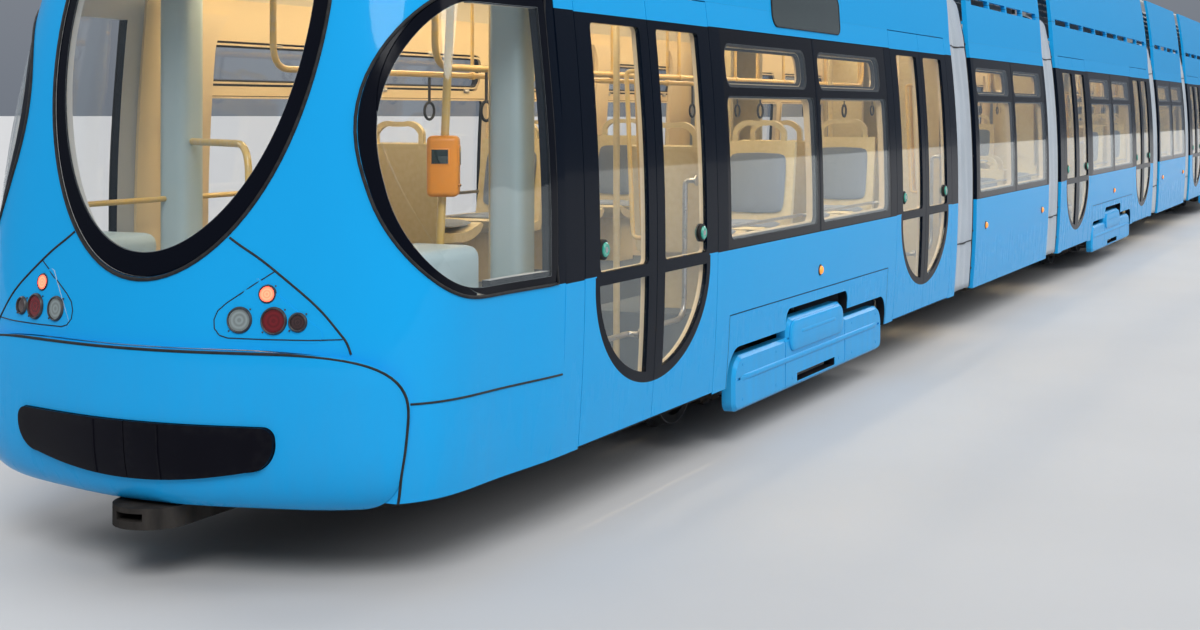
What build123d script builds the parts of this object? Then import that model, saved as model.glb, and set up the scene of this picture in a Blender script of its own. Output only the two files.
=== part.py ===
"""Five-section low-floor tram on three motor bogies, doors on its right side only.

Frame: origin at mid length and mid width on the plane that the wheel flanges stand on,
+X towards the driver's cab, +Y to the tram's left, +Z up. All sizes in millimetres.
"""
from build123d import *
import math
import os

os.makedirs("parts", exist_ok=True)

# Overall sizes
LENGTH = 32054
WIDTH = 2300
END_LENGTH = 8230
MID_LENGTH = 3077
GAP = 640
CENTRE_LENGTH = LENGTH - 2 * END_LENGTH - 2 * MID_LENGTH - 4 * GAP

# Cross-section of the body
SKIRT_Z = 335
BELLY_Z = 1150
SHOULDER_Z = 2320
SIDE_RADIUS = 9600
WALL = 60
FAIRING_TOP_Z = 3300
FAIRING_TOP_Y = 965
FAIRING_WALL = 35
VENT_Z = 2660
UNIT_TOP_Z = 3400
UNIT_HALF_WIDTH = 760
CEILING_Z = 2440
ROOF_Z = 2490
FLOOR_Z = 370
FLOOR_THICK = 60
BULKHEAD = 60
PORTAL_HALF_WIDTH = 700
PORTAL_TOP_Z = 2300

# Window band, doors and openings
BAND_LOW_Z = 1055
BAND_HIGH_Z = 2190
GLASS_LOW_Z = 1090
GLASS_SPLIT_Z = 1850
HOPPER_LOW_Z = 1890
HOPPER_HIGH_Z = 2115
PANE_RECESS = 9
PANE_THICK = 6
PANE_GAP = 4
DOOR_WIDTH = 1560
DOOR_LOW_Z = 345
DOOR_THICK = 42
DOOR_CLEARANCE = 6
DOOR_BAR_LOW_Z = 1010
DOOR_GLASS_LOW_Z = 1068
DOOR_GLASS_HIGH_Z = 2150
DOOR_STILE = 148
DOOR_MULLION = 92
DOOR_OVAL_LOW_Z = 565
BAY_PILLAR = 30
BAY_MARGIN = 150
HOPPER_MARGIN = 150
BOGIE_ZONE = 3360

# Running gear
WHEEL_RADIUS = 300
FLANGE_RADIUS = 320
WHEEL_Y = 530
WHEELBASE = 1800
AXLE_Z = FLANGE_RADIUS
AXLE_RADIUS = 60
BOGIE_OPENING = 2960
COVER_LENGTH = 2760
PODIUM_Z = 720
PODIUM_INNER_Y = 350
AISLE_Z = 470

# Places along the tram
PIVOT_OUTER_X = CENTRE_LENGTH / 2 + GAP + MID_LENGTH + GAP / 2
PIVOT_INNER_X = CENTRE_LENGTH / 2 + GAP / 2
END_X = LENGTH / 2
BOGIE_X = END_X - END_LENGTH + 200 + DOOR_WIDTH + BOGIE_ZONE / 2
CAP_LENGTH = 1370
PIN_RADIUS = 85

RIGHT = -1
LEFT = 1


def half_width(z, depth=0):
    """Half width of the skin at height z, depth below the outer face."""
    r = SIDE_RADIUS - depth
    return WIDTH / 2 - SIDE_RADIUS + math.sqrt(r * r - (z - BELLY_Z) ** 2)


def box(x0, x1, y0, y1, z0, z1):
    """Block between two corners."""
    size = (x1 - x0, y1 - y0, z1 - z0)
    return Pos((x0 + x1) / 2, (y0 + y1) / 2, (z0 + z1) / 2) * Box(*size)


def cross_plane(x):
    """Plane whose drawing axes are Y and Z, facing +X."""
    return Plane(origin=(x, 0, 0), x_dir=(0, 1, 0), z_dir=(1, 0, 0))


def drawn(plane, edges, amount):
    """Solid from a closed chain of edges drawn on a plane and pulled along it."""
    return extrude(plane * make_face(edges), amount=amount)


def ring_edges(points):
    """Edges of a closed outline: two numbers are a line's end, four an arc's middle and end."""
    edges = []
    last = points[0]
    for step in points[1:] + [points[0]]:
        if len(step) == 4:
            edges.append(ThreePointArc(last, step[:2], step[2:]))
            last = step[2:]
        else:
            if step != last:
                edges.append(Line(last, step))
            last = step
    return edges


def skin(x0, x1, z0, z1, near, far, side):
    """Curved plate of a side wall, between two depths below its outer face."""
    zm = (z0 + z1) / 2
    points = [
        (side * half_width(z0, near), z0),
        (side * half_width(zm, near), zm, side * half_width(z1, near), z1),
        (side * half_width(z1, far), z1),
        (side * half_width(zm, far), zm, side * half_width(z0, far), z0),
    ]
    return drawn(cross_plane(x0), ring_edges(points), x1 - x0)


def side_cut(x0, x1, z0, z1, radius, side, depth=260):
    """Rounded block that cuts an opening through a side wall."""
    sketch = Pos((x0 + x1) / 2, (z0 + z1) / 2) * RectangleRounded(x1 - x0, z1 - z0, radius)
    y = side * (WIDTH / 2 + 60)
    plane = Plane(origin=(0, y, 0), x_dir=(1, 0, 0), z_dir=(0, -side, 0))
    if side == LEFT:
        return extrude(plane * sketch, amount=depth)
    flip = Plane(origin=(0, y, 0), x_dir=(1, 0, 0), z_dir=(0, -1, 0))
    return extrude(flip * sketch, amount=-depth)


def roof_profile():
    """Roof slab between its two fairings, drawn in Y and Z."""
    low_y = half_width(SHOULDER_Z)
    mid_y = (low_y + FAIRING_TOP_Y) / 2 + 18
    mid_z = (SHOULDER_Z + FAIRING_TOP_Z) / 2
    thin = FAIRING_WALL
    right = [
        (-low_y, SHOULDER_Z),
        (-mid_y, mid_z, -FAIRING_TOP_Y, FAIRING_TOP_Z),
        (-FAIRING_TOP_Y + thin, FAIRING_TOP_Z),
        (-mid_y + thin, mid_z, -low_y + thin + 14, ROOF_Z),
    ]
    left = [
        (low_y - thin - 14, ROOF_Z),
        (mid_y - thin, mid_z, FAIRING_TOP_Y - thin, FAIRING_TOP_Z),
        (FAIRING_TOP_Y, FAIRING_TOP_Z),
        (mid_y, mid_z, low_y, SHOULDER_Z),
        (low_y - WALL, SHOULDER_Z),
        (low_y - WALL - 60, CEILING_Z),
        (-low_y + WALL + 60, CEILING_Z),
        (-low_y + WALL, SHOULDER_Z),
    ]
    return ring_edges(right + left)


def roof_units(x0, x1):
    """Equipment housings standing in the roof well, with their lid steps and side louvres."""
    span = x1 - x0
    count = 2 if span > 4000 else 1
    pitch = span / count
    units = []
    for i in range(count):
        a, b = x0 + i * pitch + 180, x0 + (i + 1) * pitch - 180
        base = box(a, b, -UNIT_HALF_WIDTH, UNIT_HALF_WIDTH, ROOF_Z - 1, UNIT_TOP_Z - 60)
        lid_plan = Rectangle(b - a - 40, 2 * UNIT_HALF_WIDTH - 60)
        lid = extrude(Pos((a + b) / 2, 0, UNIT_TOP_Z - 61) * lid_plan, amount=61)
        lid = chamfer(lid.faces().sort_by(Axis.Z)[-1].edges(), 35)
        inside_y = UNIT_HALF_WIDTH - 45
        inside = box(a + 30, b - 30, -inside_y, inside_y, ROOF_Z, UNIT_TOP_Z - 20)
        vent = box(a - 10, b + 10, -inside_y + 60, inside_y - 60, ROOF_Z + 260, UNIT_TOP_Z - 160)
        units.append(base + lid - inside - vent)
    return units


def section_roof(kind, x0, x1):
    """Roof with fairings, vent slots over the windows, end walls and equipment housings."""
    solid = drawn(cross_plane(x0), roof_profile(), x1 - x0)
    slot_count = 4 if kind == "mid" else 8
    pitch = (x1 - x0 - 300) / slot_count
    for i in range(slot_count):
        a = x0 + 150 + i * pitch + 35
        cut = box(a, a + pitch - 70, -WIDTH, WIDTH, VENT_Z - 30, VENT_Z + 30)
        cut -= box(a - 5, a + pitch, -950, 950, VENT_Z - 35, VENT_Z + 35)
        solid -= cut
    for unit in roof_units(x0, x1):
        solid += unit
    return solid


def side_wall(kind, x0, x1, side):
    """Side wall with its window apertures, doorways and bogie opening cut."""
    solid = skin(x0, x1, SKIRT_Z, SHOULDER_Z, 0, WALL, side)
    table, doors = bays(kind, x0, x1)
    for a, b, sides in table:
        if side not in sides:
            continue
        solid -= skin(a - 2, b + 2, BAND_LOW_Z - 2, BAND_HIGH_Z + 2, -30, PANE_RECESS, side)
        solid -= side_cut(a + 28, b - 28, GLASS_LOW_Z + 12, GLASS_SPLIT_Z - 8, 45, side)
        solid -= side_cut(a + 40, b - HOPPER_MARGIN, HOPPER_LOW_Z, HOPPER_HIGH_Z, 85, side)
    if side == RIGHT:
        for a in doors:
            solid -= box(a, a + DOOR_WIDTH, -WIDTH, -800, SKIRT_Z - 50, SHOULDER_Z + 5)
    if kind != "mid":
        solid -= bogie_opening(bogie_centre(kind), side)
    return solid


def section_walls(kind, x0, x1):
    """Both side walls of a section, the right one parted by its doorways."""
    pieces = []
    for side in (RIGHT, LEFT):
        pieces += list(side_wall(kind, x0, x1, side).solids())
    return Compound(children=pieces)


def bogie_centre(kind):
    """Place along the tram of the bogie under a section."""
    return {"front": BOGIE_X, "centre": 0, "rear": -BOGIE_X}[kind]


def bays(kind, x0, x1):
    """Window bays of a section, as (start, end, sides), and the doors' starts."""
    if kind == "mid":
        middle = (x0 + x1) / 2
        edge = 90
        table = [
            (x0 + edge, middle - BAY_PILLAR / 2, (RIGHT, LEFT)),
            (middle + BAY_PILLAR / 2, x1 - edge, (RIGHT, LEFT)),
        ]
        return table, []
    centre = bogie_centre(kind)
    half = BOGIE_ZONE / 2
    pillar = BAY_PILLAR / 2
    inner = half - BAY_MARGIN
    outer = half + DOOR_WIDTH - BAY_MARGIN / 2
    table = [
        (centre - inner, centre - pillar, (RIGHT, LEFT)),
        (centre + pillar, centre + inner, (RIGHT, LEFT)),
        (centre - outer, centre - inner - BAY_PILLAR, (LEFT,)),
        (centre + inner + BAY_PILLAR, centre + outer, (LEFT,)),
    ]
    return table, [centre - half - DOOR_WIDTH, centre + half]


def bogie_opening(centre, side):
    """Stepped opening in the skirt over one side of a bogie."""
    h = BOGIE_OPENING / 2
    low, shoulder, crown = SKIRT_Z - 20, 535, 650
    sketch = Pos(centre, (low + shoulder) / 2) * Rectangle(2 * h, shoulder - low)
    sketch = fillet(sketch.vertices().group_by(Axis.Y)[-1], 150)
    lobe = Pos(centre, (low + crown) / 2) * Rectangle(1180, crown - low)
    lobe = fillet(lobe.vertices().group_by(Axis.Y)[-1], 70)
    shape = sketch + lobe
    plane = Plane(origin=(0, side * 800, 0), x_dir=(1, 0, 0), z_dir=(0, -1, 0))
    return extrude(plane * shape, amount=-side * 450)


def section_glazing(kind, x0, x1):
    """Bonded panes of a section's side windows, lower pane and hopper in each bay."""
    panes = []
    table, doors = bays(kind, x0, x1)
    near, far = 1, 1 + PANE_THICK
    for a, b, sides in table:
        for side in sides:
            pane = skin(a, b, BAND_LOW_Z, BAND_HIGH_Z, near, far, side)
            pane -= skin(a - 1, b + 1, GLASS_SPLIT_Z, GLASS_SPLIT_Z + PANE_GAP, 0, near + 3, side)
            panes.append(pane)
    for a in doors:
        for upper, lower in door_glass(a):
            panes += [upper, lower]
    return Compound(children=panes)


def oval(centre, grow):
    """Lower half of the oval that both leaves' lower panes share, as a cutting block."""
    a = DOOR_WIDTH / 2 - DOOR_STILE - DOOR_CLEARANCE + grow
    b = DOOR_BAR_LOW_Z - DOOR_OVAL_LOW_Z + grow
    sketch = Ellipse(a, b) & (Pos(0, -b / 2) * Rectangle(2 * a + 10, b))
    plane = Plane(origin=(centre, -WIDTH / 2 - 60, DOOR_BAR_LOW_Z), x_dir=(1, 0, 0), z_dir=(0, -1, 0))
    return extrude(plane * sketch, amount=-200)


def leaf_spans(start):
    """Start and end of each leaf of a doorway, and the side its mullion is on."""
    middle = start + DOOR_WIDTH / 2
    return [
        (start + DOOR_CLEARANCE, middle - 3, 1),
        (middle + 3, start + DOOR_WIDTH - DOOR_CLEARANCE, -1),
    ]


def leaf_clear(a, b, mullion):
    """Clear width of a leaf's glass."""
    if mullion > 0:
        return a + DOOR_STILE, b - DOOR_MULLION
    return a + DOOR_MULLION, b - DOOR_STILE


def door_leaves(start):
    """Two leaves of a doorway with their panes cut out."""
    leaves = []
    middle = start + DOOR_WIDTH / 2
    for a, b, mullion in leaf_spans(start):
        leaf = skin(a, b, DOOR_LOW_Z, SHOULDER_Z - DOOR_CLEARANCE, 0, DOOR_THICK, RIGHT)
        c, d = leaf_clear(a, b, mullion)
        leaf -= side_cut(c, d, DOOR_GLASS_LOW_Z, DOOR_GLASS_HIGH_Z, 25, RIGHT)
        lower = oval(middle, 0) & box(c, d, -WIDTH, -800, 300, DOOR_BAR_LOW_Z)
        leaf -= lower
        leaves.append(leaf)
    return leaves


def door_glass(start):
    """Upper and lower pane of each leaf of a doorway."""
    panes = []
    middle = start + DOOR_WIDTH / 2
    for a, b, mullion in leaf_spans(start):
        c, d = leaf_clear(a, b, mullion)
        plate = skin(c + 1, d - 1, DOOR_LOW_Z, SHOULDER_Z, 10, 10 + PANE_THICK, RIGHT)
        upper = plate & side_cut(c + 1, d - 1, DOOR_GLASS_LOW_Z + 1, DOOR_GLASS_HIGH_Z - 1, 24, RIGHT)
        lower = plate & oval(middle, -1) & box(c + 1, d - 1, -WIDTH, -800, 300, DOOR_BAR_LOW_Z - 1)
        panes.append((upper, lower))
    return panes


def section_doors(kind, x0, x1):
    """Every door leaf of a section."""
    leaves = []
    for start in bays(kind, x0, x1)[1]:
        leaves += door_leaves(start)
    return Compound(children=leaves)


def wheelset(x):
    """Axle with its two flanged wheels, one turned piece."""
    tread_in, tread_out = WHEEL_Y - 60, WHEEL_Y + 55
    half = [
        (AXLE_RADIUS + 15, tread_in - 10),
        (125, tread_in - 10),
        (135, WHEEL_Y - 25),
        (250, WHEEL_Y - 15),
        (250, tread_in),
        (FLANGE_RADIUS, tread_in + 5),
        (FLANGE_RADIUS, tread_in + 22),
        (WHEEL_RADIUS + 3, tread_in + 38),
        (WHEEL_RADIUS - 2, tread_out),
        (250, tread_out),
        (250, WHEEL_Y + 15),
        (135, WHEEL_Y + 20),
        (110, tread_out + 8),
        (AXLE_RADIUS, tread_out + 12),
        (AXLE_RADIUS, WHEEL_Y + 270),
        (0, WHEEL_Y + 270),
    ]
    outline = half + [(r, -y) for r, y in reversed(half)]
    face = Plane.XY * make_face(Polyline(*outline, close=True))
    return Pos(x, 0, AXLE_Z) * revolve(face, Axis.Y)


def bogie_frame(x):
    """Bogie frame: side beams, two crossbeams, axle boxes and the two side motors."""
    axle = WHEELBASE / 2
    solid = box(-axle - 210, axle + 210, 690, 770, 300, 400)
    solid += box(-axle - 210, axle + 210, -770, -690, 300, 400)
    for cross in (-330, 330):
        solid += box(cross - 70, cross + 70, -770, 770, 200, 330)
    solid += box(-400, 400, -170, 170, 210, 320)
    solid += Pos(0, 0, 345) * Cylinder(190, 70)
    solid -= Pos(0, 0, 345) * Cylinder(61, 400)
    for side in (-1, 1):
        for end in (-axle, axle):
            solid += Pos(end, side * 725, AXLE_Z) * Rot(90, 0, 0) * Cylinder(105, 130)
        motor = Pos(0, side * 870, 330) * Rot(0, 90, 0) * Cylinder(165, 860)
        solid += motor
        solid += box(-600, 600, min(side * 850, side * 900), max(side * 850, side * 900), 280, 380)
        solid += box(-560, -480, min(side * 740, side * 1010), max(side * 740, side * 1010), 250, 420)
        solid += box(480, 560, min(side * 740, side * 1010), max(side * 740, side * 1010), 250, 420)
    for end in (-axle, axle):
        solid -= Pos(end, 0, AXLE_Z) * Rot(90, 0, 0) * Cylinder(AXLE_RADIUS + 0.5, 2000)
    for end in (-axle, axle):
        for side in (-1, 1):
            low, high = sorted((side * 660, side * 700))
            solid += box(end - 60, end + 60, low, high, 396, 440)
            spring = Pos(end + math.copysign(150, -end), side * 730, 440) * Cylinder(60, 80)
            solid += spring
    return Pos(x, 0, 0) * solid


def cover_outline():
    """Outline of a bogie's side cover: long rounded bar with a raised middle lobe."""
    low, shoulder, crown = 190, 480, 590
    bar = Pos(0, (low + shoulder) / 2) * Rectangle(COVER_LENGTH, shoulder - low)
    bar = fillet(bar.vertices().group_by(Axis.Y)[-1], 130)
    bar = fillet(bar.vertices().group_by(Axis.Y)[0], 60)
    lobe = Pos(0, (300 + crown) / 2) * Rectangle(1040, crown - 300)
    lobe = fillet(lobe.vertices().group_by(Axis.Y)[-1], 75)
    return bar + lobe


def bogie_covers(x):
    """Moulded side covers hung on the bogie, with a raised rib and a lower slot."""
    covers = []
    outer = WIDTH / 2 - 28
    for side in (RIGHT, LEFT):
        plane = Plane(origin=(0, side * (outer - 70), 0), x_dir=(1, 0, 0), z_dir=(0, -1, 0))
        solid = extrude(plane * cover_outline(), amount=-side * 70)
        face = solid.faces().sort_by(Axis.Y)[0 if side == RIGHT else -1]
        solid = chamfer(face.edges(), 18)
        face_y = sorted((side * (outer - 9), side * (outer + 20)))
        for split in (-565, 565):
            solid -= box(split - 6, split + 6, *face_y, 150, 600)
        solid -= box(-1330, -615, *face_y, 352, 366) + box(615, 1330, *face_y, 352, 366)
        solid -= box(-515, 515, *face_y, 470, 482)
        low, high = sorted((side * 900, side * 1300))
        solid -= box(-360, 360, low, high, 215, 262)
        inner = [-1, 1]
        for end in inner:
            low, high = sorted((side * 1010, side * (outer - 69)))
            solid += box(end * 520 - 30, end * 520 + 30, low, high, 300, 380)
        covers.append(Pos(x, 0, 0) * solid)
    return Compound(children=covers)


def bogie_podium(x):
    """Wheel boxes either side of a bogie's aisle, each open towards the bogie."""
    h = BOGIE_ZONE / 2 - 62
    side_y = half_width(PODIUM_Z, WALL) - 30
    boxes = []
    for side in (RIGHT, LEFT):
        low, high = sorted((side * (PODIUM_INNER_Y + 2), side * side_y))
        solid = box(-h, h, low, high, PODIUM_Z - 25, PODIUM_Z)
        low, high = sorted((side * (PODIUM_INNER_Y + 2), side * (PODIUM_INNER_Y + 27)))
        solid += box(-h, h, low, high, AISLE_Z - 30, PODIUM_Z)
        for end in (-h, h - 25):
            low, high = sorted((side * (PODIUM_INNER_Y + 2), side * (side_y - 40)))
            solid += box(end, end + 25, low, high, FLOOR_Z + 1, PODIUM_Z)
        boxes.append(Pos(x, 0, 0) * solid)
    return boxes


def bogie_aisle(x):
    """Aisle over a bogie, ramped at both ends, with the bogie's pivot under it."""
    h = BOGIE_ZONE / 2 - 62
    run = 500
    thick = 30
    outline = Polyline(
        (-h, FLOOR_Z), (-h + run, AISLE_Z), (h - run, AISLE_Z), (h, FLOOR_Z),
        (h, FLOOR_Z - thick), (h - run, AISLE_Z - thick), (-h + run, AISLE_Z - thick),
        (-h, FLOOR_Z - thick), close=True,
    )
    view = Plane(origin=(0, PODIUM_INNER_Y, 0), x_dir=(1, 0, 0), z_dir=(0, -1, 0))
    solid = extrude(view * make_face(outline), amount=2 * PODIUM_INNER_Y)
    solid += Pos(0, 0, 402) * Cylinder(60, 90)
    return Pos(x, 0, 0) * solid


def section_floor(kind, x0, x1):
    """Floor slab with its sills, podium and the pivots of its gangways."""
    y = half_width(SKIRT_Z, WALL)
    z0 = FLOOR_Z - FLOOR_THICK
    if kind == "mid":
        solid = box(x0, x1, -y, y, z0, FLOOR_Z)
        for pivot in (x0 - GAP / 2, x1 + GAP / 2):
            solid += Pos(pivot, 0, FLOOR_Z - 10) * Cylinder(560, 20)
            bridge = sorted((pivot, x0 if pivot < x0 else x1))
            solid += box(bridge[0], bridge[1], -300, 300, FLOOR_Z - 20, FLOOR_Z)
            solid += Pos(pivot, 0, FLOOR_Z - 90) * Cylinder(PIN_RADIUS, 170)
        return solid
    centre = bogie_centre(kind)
    h = BOGIE_ZONE / 2 - 60
    solid = box(x0, centre - h, -y, y, z0, FLOOR_Z) + box(centre + h, x1, -y, y, z0, FLOOR_Z)
    pivots = []
    if kind != "rear":
        pivots.append((x0 - GAP / 2, x0))
    if kind != "front":
        pivots.append((x1 + GAP / 2, x1))
    for pivot, edge in pivots:
        solid -= Pos(pivot, 0, FLOOR_Z) * Cylinder(572, 200)
        inward = math.copysign(700, edge - pivot)
        low, high = sorted((pivot, edge + inward))
        solid += box(low, high, -180, 180, 225, 300)
        solid += box(*sorted((edge + inward * 0.6, edge + inward)), -180, 180, 299, z0 + 1)
        solid += Pos(pivot, 0, 262.5) * Cylinder(180, 75)
        solid -= Pos(pivot, 0, 262.5) * Cylinder(PIN_RADIUS + 0.5, 200)
    return solid


def bellows(x0):
    """Fabric hood over a gangway: both sides and the top, open at the floor."""
    depth, thick = 20, 40
    low_z, knee_z, top_z = SKIRT_Z + 10, 2350, 2700
    outer = {z: half_width(z, depth) for z in (low_z, BELLY_Z, knee_z)}
    top_y = outer[knee_z] - 70
    points = [
        (-outer[low_z] + thick, low_z),
        (-outer[low_z], low_z),
        (-outer[BELLY_Z], BELLY_Z, -outer[knee_z], knee_z),
        (-top_y, top_z),
        (top_y, top_z),
        (outer[knee_z], knee_z),
        (outer[BELLY_Z], BELLY_Z, outer[low_z], low_z),
        (outer[low_z] - thick, low_z),
        (outer[BELLY_Z] - thick, BELLY_Z, outer[knee_z] - thick, knee_z),
        (top_y - thick, top_z - thick),
        (-top_y + thick, top_z - thick),
        (-outer[knee_z] + thick, knee_z),
        (-outer[BELLY_Z] + thick, BELLY_Z, -outer[low_z] + thick, low_z),
    ]
    return drawn(cross_plane(x0 + 4), ring_edges(points), GAP - 8)


# Ends of the tram, worked in a frame whose origin is the joint with the last section:
# u points outward along the tram and z up. Each level: height, setback of the nose, half width.
CAP_LEVELS = [
    (SKIRT_Z, 60, half_width(SKIRT_Z)),
    (700, 40, half_width(700)),
    (1150, 90, half_width(1150)),
    (1700, 180, half_width(1700)),
    (SHOULDER_Z, 335, half_width(SHOULDER_Z)),
    (2800, 570, 1036),
    (3120, 850, 990),
    (FAIRING_TOP_Z, 1120, FAIRING_TOP_Y),
]
BUMPER_LEVELS = [
    (300, 140, 1020),
    (345, 75, 1085),
    (450, 34, 1118),
    (700, 20, 1145),
    (905, 32, 1152),
]
BUMPER_TOP_Z = 892
BUMPER_START_U = 1030
BUMPER_CORNER = 230
SCREEN = {"half_width": 630, "middle_z": 2150, "low": 1000, "high": 800}
SIDE_LIGHT = {"start_u": 70, "middle_u": 590, "reach": 400, "middle_z": 1650, "half_height": 585}
LAMPS = [
    # y, z, radius
    (435, 1003, 40),
    (564, 1003, 42),
    (654, 1000, 27),
    (532, 1099, 26),
]
PAD = {"half_width": 600, "low_z": 405, "high_z": 625}


def cap_outline(level, inset, start):
    """Plan outline of an end cap at one level, drawn as two curves and a straight joint."""
    z, setback, half = level
    tip = CAP_LENGTH - setback - inset
    w = half - inset
    k = min(1.0, tip / 950)
    points = [
        (start, w),
        (tip - 800 * k, 0.972 * w),
        (tip - 340 * k, 0.905 * w),
        (tip - 175 * k, 0.73 * w),
        (tip - 75 * k, 0.45 * w),
        (tip, 0),
    ]
    left = Spline(*points, tangents=[(1, 0), (0, -1)])
    mirrored = [(u, -y) for u, y in reversed(points)]
    right = Spline(*mirrored, tangents=[(0, -1), (-1, 0)])
    joint = Line((start, -w), (start, w))
    return Pos(0, 0, z) * make_face([left, right, joint])


def cap_solid(levels, inset=0, start=0):
    """Solid end cap through its levels."""
    return loft([cap_outline(level, inset, start) for level in levels])


def levels_between(levels, low, high):
    """Levels cut to a height range, with their figures interpolated at both ends."""
    def at(z):
        for a, b in zip(levels, levels[1:]):
            if a[0] <= z <= b[0]:
                t = (z - a[0]) / (b[0] - a[0])
                return tuple(p + t * (q - p) for p, q in zip(a, b))
        return levels[0] if z < levels[0][0] else levels[-1]

    inside = [level for level in levels if low < level[0] < high]
    ends = [at(low), at(high)]
    return [(low, *ends[0][1:])] + inside + [(high, *ends[1][1:])]


def screen_prism(grow):
    """Egg-shaped block that passes through the end screen."""
    a = SCREEN["half_width"] + grow
    low, high = SCREEN["low"] + grow, SCREEN["high"] + grow
    upper = Ellipse(a, high) & (Pos(0, high / 2) * Rectangle(2 * a + 2, high))
    lower = Ellipse(a, low) & (Pos(0, -low / 2) * Rectangle(2 * a + 2, low))
    plane = Plane(origin=(100, 0, SCREEN["middle_z"]), x_dir=(0, 1, 0), z_dir=(1, 0, 0))
    return extrude(plane * (upper + lower), amount=CAP_LENGTH)


def side_light_prism(grow):
    """D-shaped block that passes through both side lights of an end."""
    s = SIDE_LIGHT
    b = s["half_height"] + grow
    a = s["reach"] + grow
    start = s["start_u"] - grow
    round_end = Ellipse(a, b)
    straight = Pos((start - s["middle_u"]) / 2, 0) * Rectangle(s["middle_u"] - start, 2 * b)
    shape = (round_end & (Pos(a / 2, 0) * Rectangle(a, 2 * b + 2))) + straight
    plane = Plane(origin=(s["middle_u"], WIDTH, s["middle_z"]), x_dir=(1, 0, 0), z_dir=(0, -1, 0))
    return extrude(plane * shape, amount=2 * WIDTH)


def pad_prism(shrink):
    """Block through the bumper with the outline of its rubber pad."""
    y = PAD["half_width"] - shrink
    low, high = PAD["low_z"] + shrink, PAD["high_z"] - shrink
    edges = ring_edges([
        (-y, high - 45),
        (-y + 13, high - 13, -y + 45, high),
        (y - 45, high),
        (y - 13, high - 13, y, high - 45),
        (y - 25, low + 90, y - 110, low + 50),
        (0, low, -y + 110, low + 50),
        (-y + 25, low + 90, -y, high - 45),
    ])
    return drawn(cross_plane(CAP_LENGTH - 400), edges, 500)


def lamp_prism(grow):
    """Round blocks through the lamps of an end."""
    blocks = []
    for y, z, r in LAMPS:
        for side in (-1, 1):
            bar = Pos(CAP_LENGTH - 200, side * y, z) * Rot(0, 90, 0) * Cylinder(r + grow, 700)
            blocks.append(bar)
    return blocks


def lamp_panel_prism():
    """Rounded triangle around each side's lamps."""
    blocks = []
    for side in (-1, 1):
        points = [(side * 330, 925), (side * 480, 1165), (side * 800, 925)]
        if side < 0:
            points.reverse()
        sketch = make_face(Polyline(*points, close=True))
        sketch = fillet(sketch.vertices(), 28)
        blocks.append(extrude(cross_plane(CAP_LENGTH - 500) * sketch, amount=600))
    return blocks


def bumper_zone(grow):
    """Room taken by the bumper, with a large radius at its upper rear corner."""
    low_u, top_z = BUMPER_START_U - grow, BUMPER_TOP_Z + grow
    outline = Pos((low_u + 2000) / 2, (200 + top_z) / 2) * Rectangle(2000 - low_u, top_z - 200)
    corner = outline.vertices().sort_by(Axis.X)[:2].sort_by(Axis.Y)[-1]
    outline = fillet(corner, BUMPER_CORNER + grow)
    plane = Plane(origin=(0, WIDTH, 0), x_dir=(1, 0, 0), z_dir=(0, -1, 0))
    return extrude(plane * outline, amount=2 * WIDTH)


def end_cap():
    """Moulded shell of an end with its screen, side lights and bumper seat cut."""
    outer = cap_solid(CAP_LEVELS)
    lower_void = cap_solid(levels_between(CAP_LEVELS, SKIRT_Z, CEILING_Z), 45, -5)
    upper_void = cap_solid(levels_between(CAP_LEVELS, ROOF_Z, FAIRING_TOP_Z - 40), 45, -5)
    solid = outer - lower_void - upper_void
    solid -= bumper_zone(4)
    rebate = outer - cap_solid(CAP_LEVELS, PANE_RECESS)
    solid -= rebate & screen_prism(2)
    solid -= rebate & side_light_prism(2)
    solid -= screen_prism(-50)
    solid -= side_light_prism(-50)
    levels = levels_between(CAP_LEVELS, 900, 1250)
    raised = cap_solid(levels, -4) - cap_solid(levels, 3)
    for block in lamp_panel_prism():
        solid += raised & block
    for bar in lamp_prism(1):
        solid -= bar
    return solid


def end_glazing():
    """Screen and side lights of an end, following its moulded form."""
    sheet = cap_solid(CAP_LEVELS, 1) - cap_solid(CAP_LEVELS, 1 + PANE_THICK)
    screen = sheet & screen_prism(0)
    sides = sheet & side_light_prism(0)
    return list(screen.solids()) + list(sides.solids())


def end_lamps():
    """Lamp units set flush in the end's skin, and the raised panel around them."""
    levels = levels_between(CAP_LEVELS, 880, 1250)
    lens = cap_solid(levels, -7) - cap_solid(levels, 40)
    pieces = []
    for bar in lamp_prism(0):
        pieces += list((lens & bar).solids())
    return [p for p in pieces if p.center().X > 300]


def end_bumper():
    """Bumper shell with the pocket for its rubber pad and the coupling eye under it."""
    outer = cap_solid(BUMPER_LEVELS, -6)
    inner = cap_solid(BUMPER_LEVELS, 40, -5)
    solid = outer - inner
    solid &= bumper_zone(0)
    pocket = outer - cap_solid(BUMPER_LEVELS, 8)
    solid -= pocket & pad_prism(0)
    return solid


def end_pad():
    """Rubber strip in the bumper, in two halves that meet at the middle."""
    strip = cap_solid(BUMPER_LEVELS, -22) - cap_solid(BUMPER_LEVELS, 8)
    strip &= pad_prism(2)
    strip -= box(0, 3000, -2, 2, 0, 900)
    return list(strip.solids())


# Seats: place along the tram from the section's middle, side, pan height, facing direction
PODIUM_SEATS = [
    (-1390, RIGHT, 1),
    (-290, RIGHT, -1),
    (290, RIGHT, 1),
    (1390, RIGHT, -1),
    (-1390, LEFT, 1),
    (-290, LEFT, -1),
    (290, LEFT, 1),
    (1390, LEFT, -1),
]
MID_SEATS = [
    (-1180, RIGHT, 1),
    (-170, RIGHT, -1),
    (360, RIGHT, 1),
    (1340, RIGHT, -1),
    (-1180, LEFT, 1),
    (-170, LEFT, -1),
    (360, LEFT, 1),
    (1340, LEFT, -1),
]
SEAT_WIDTH = 450
SEAT_PAN = 390
SEAT_BACK = 860


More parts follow.
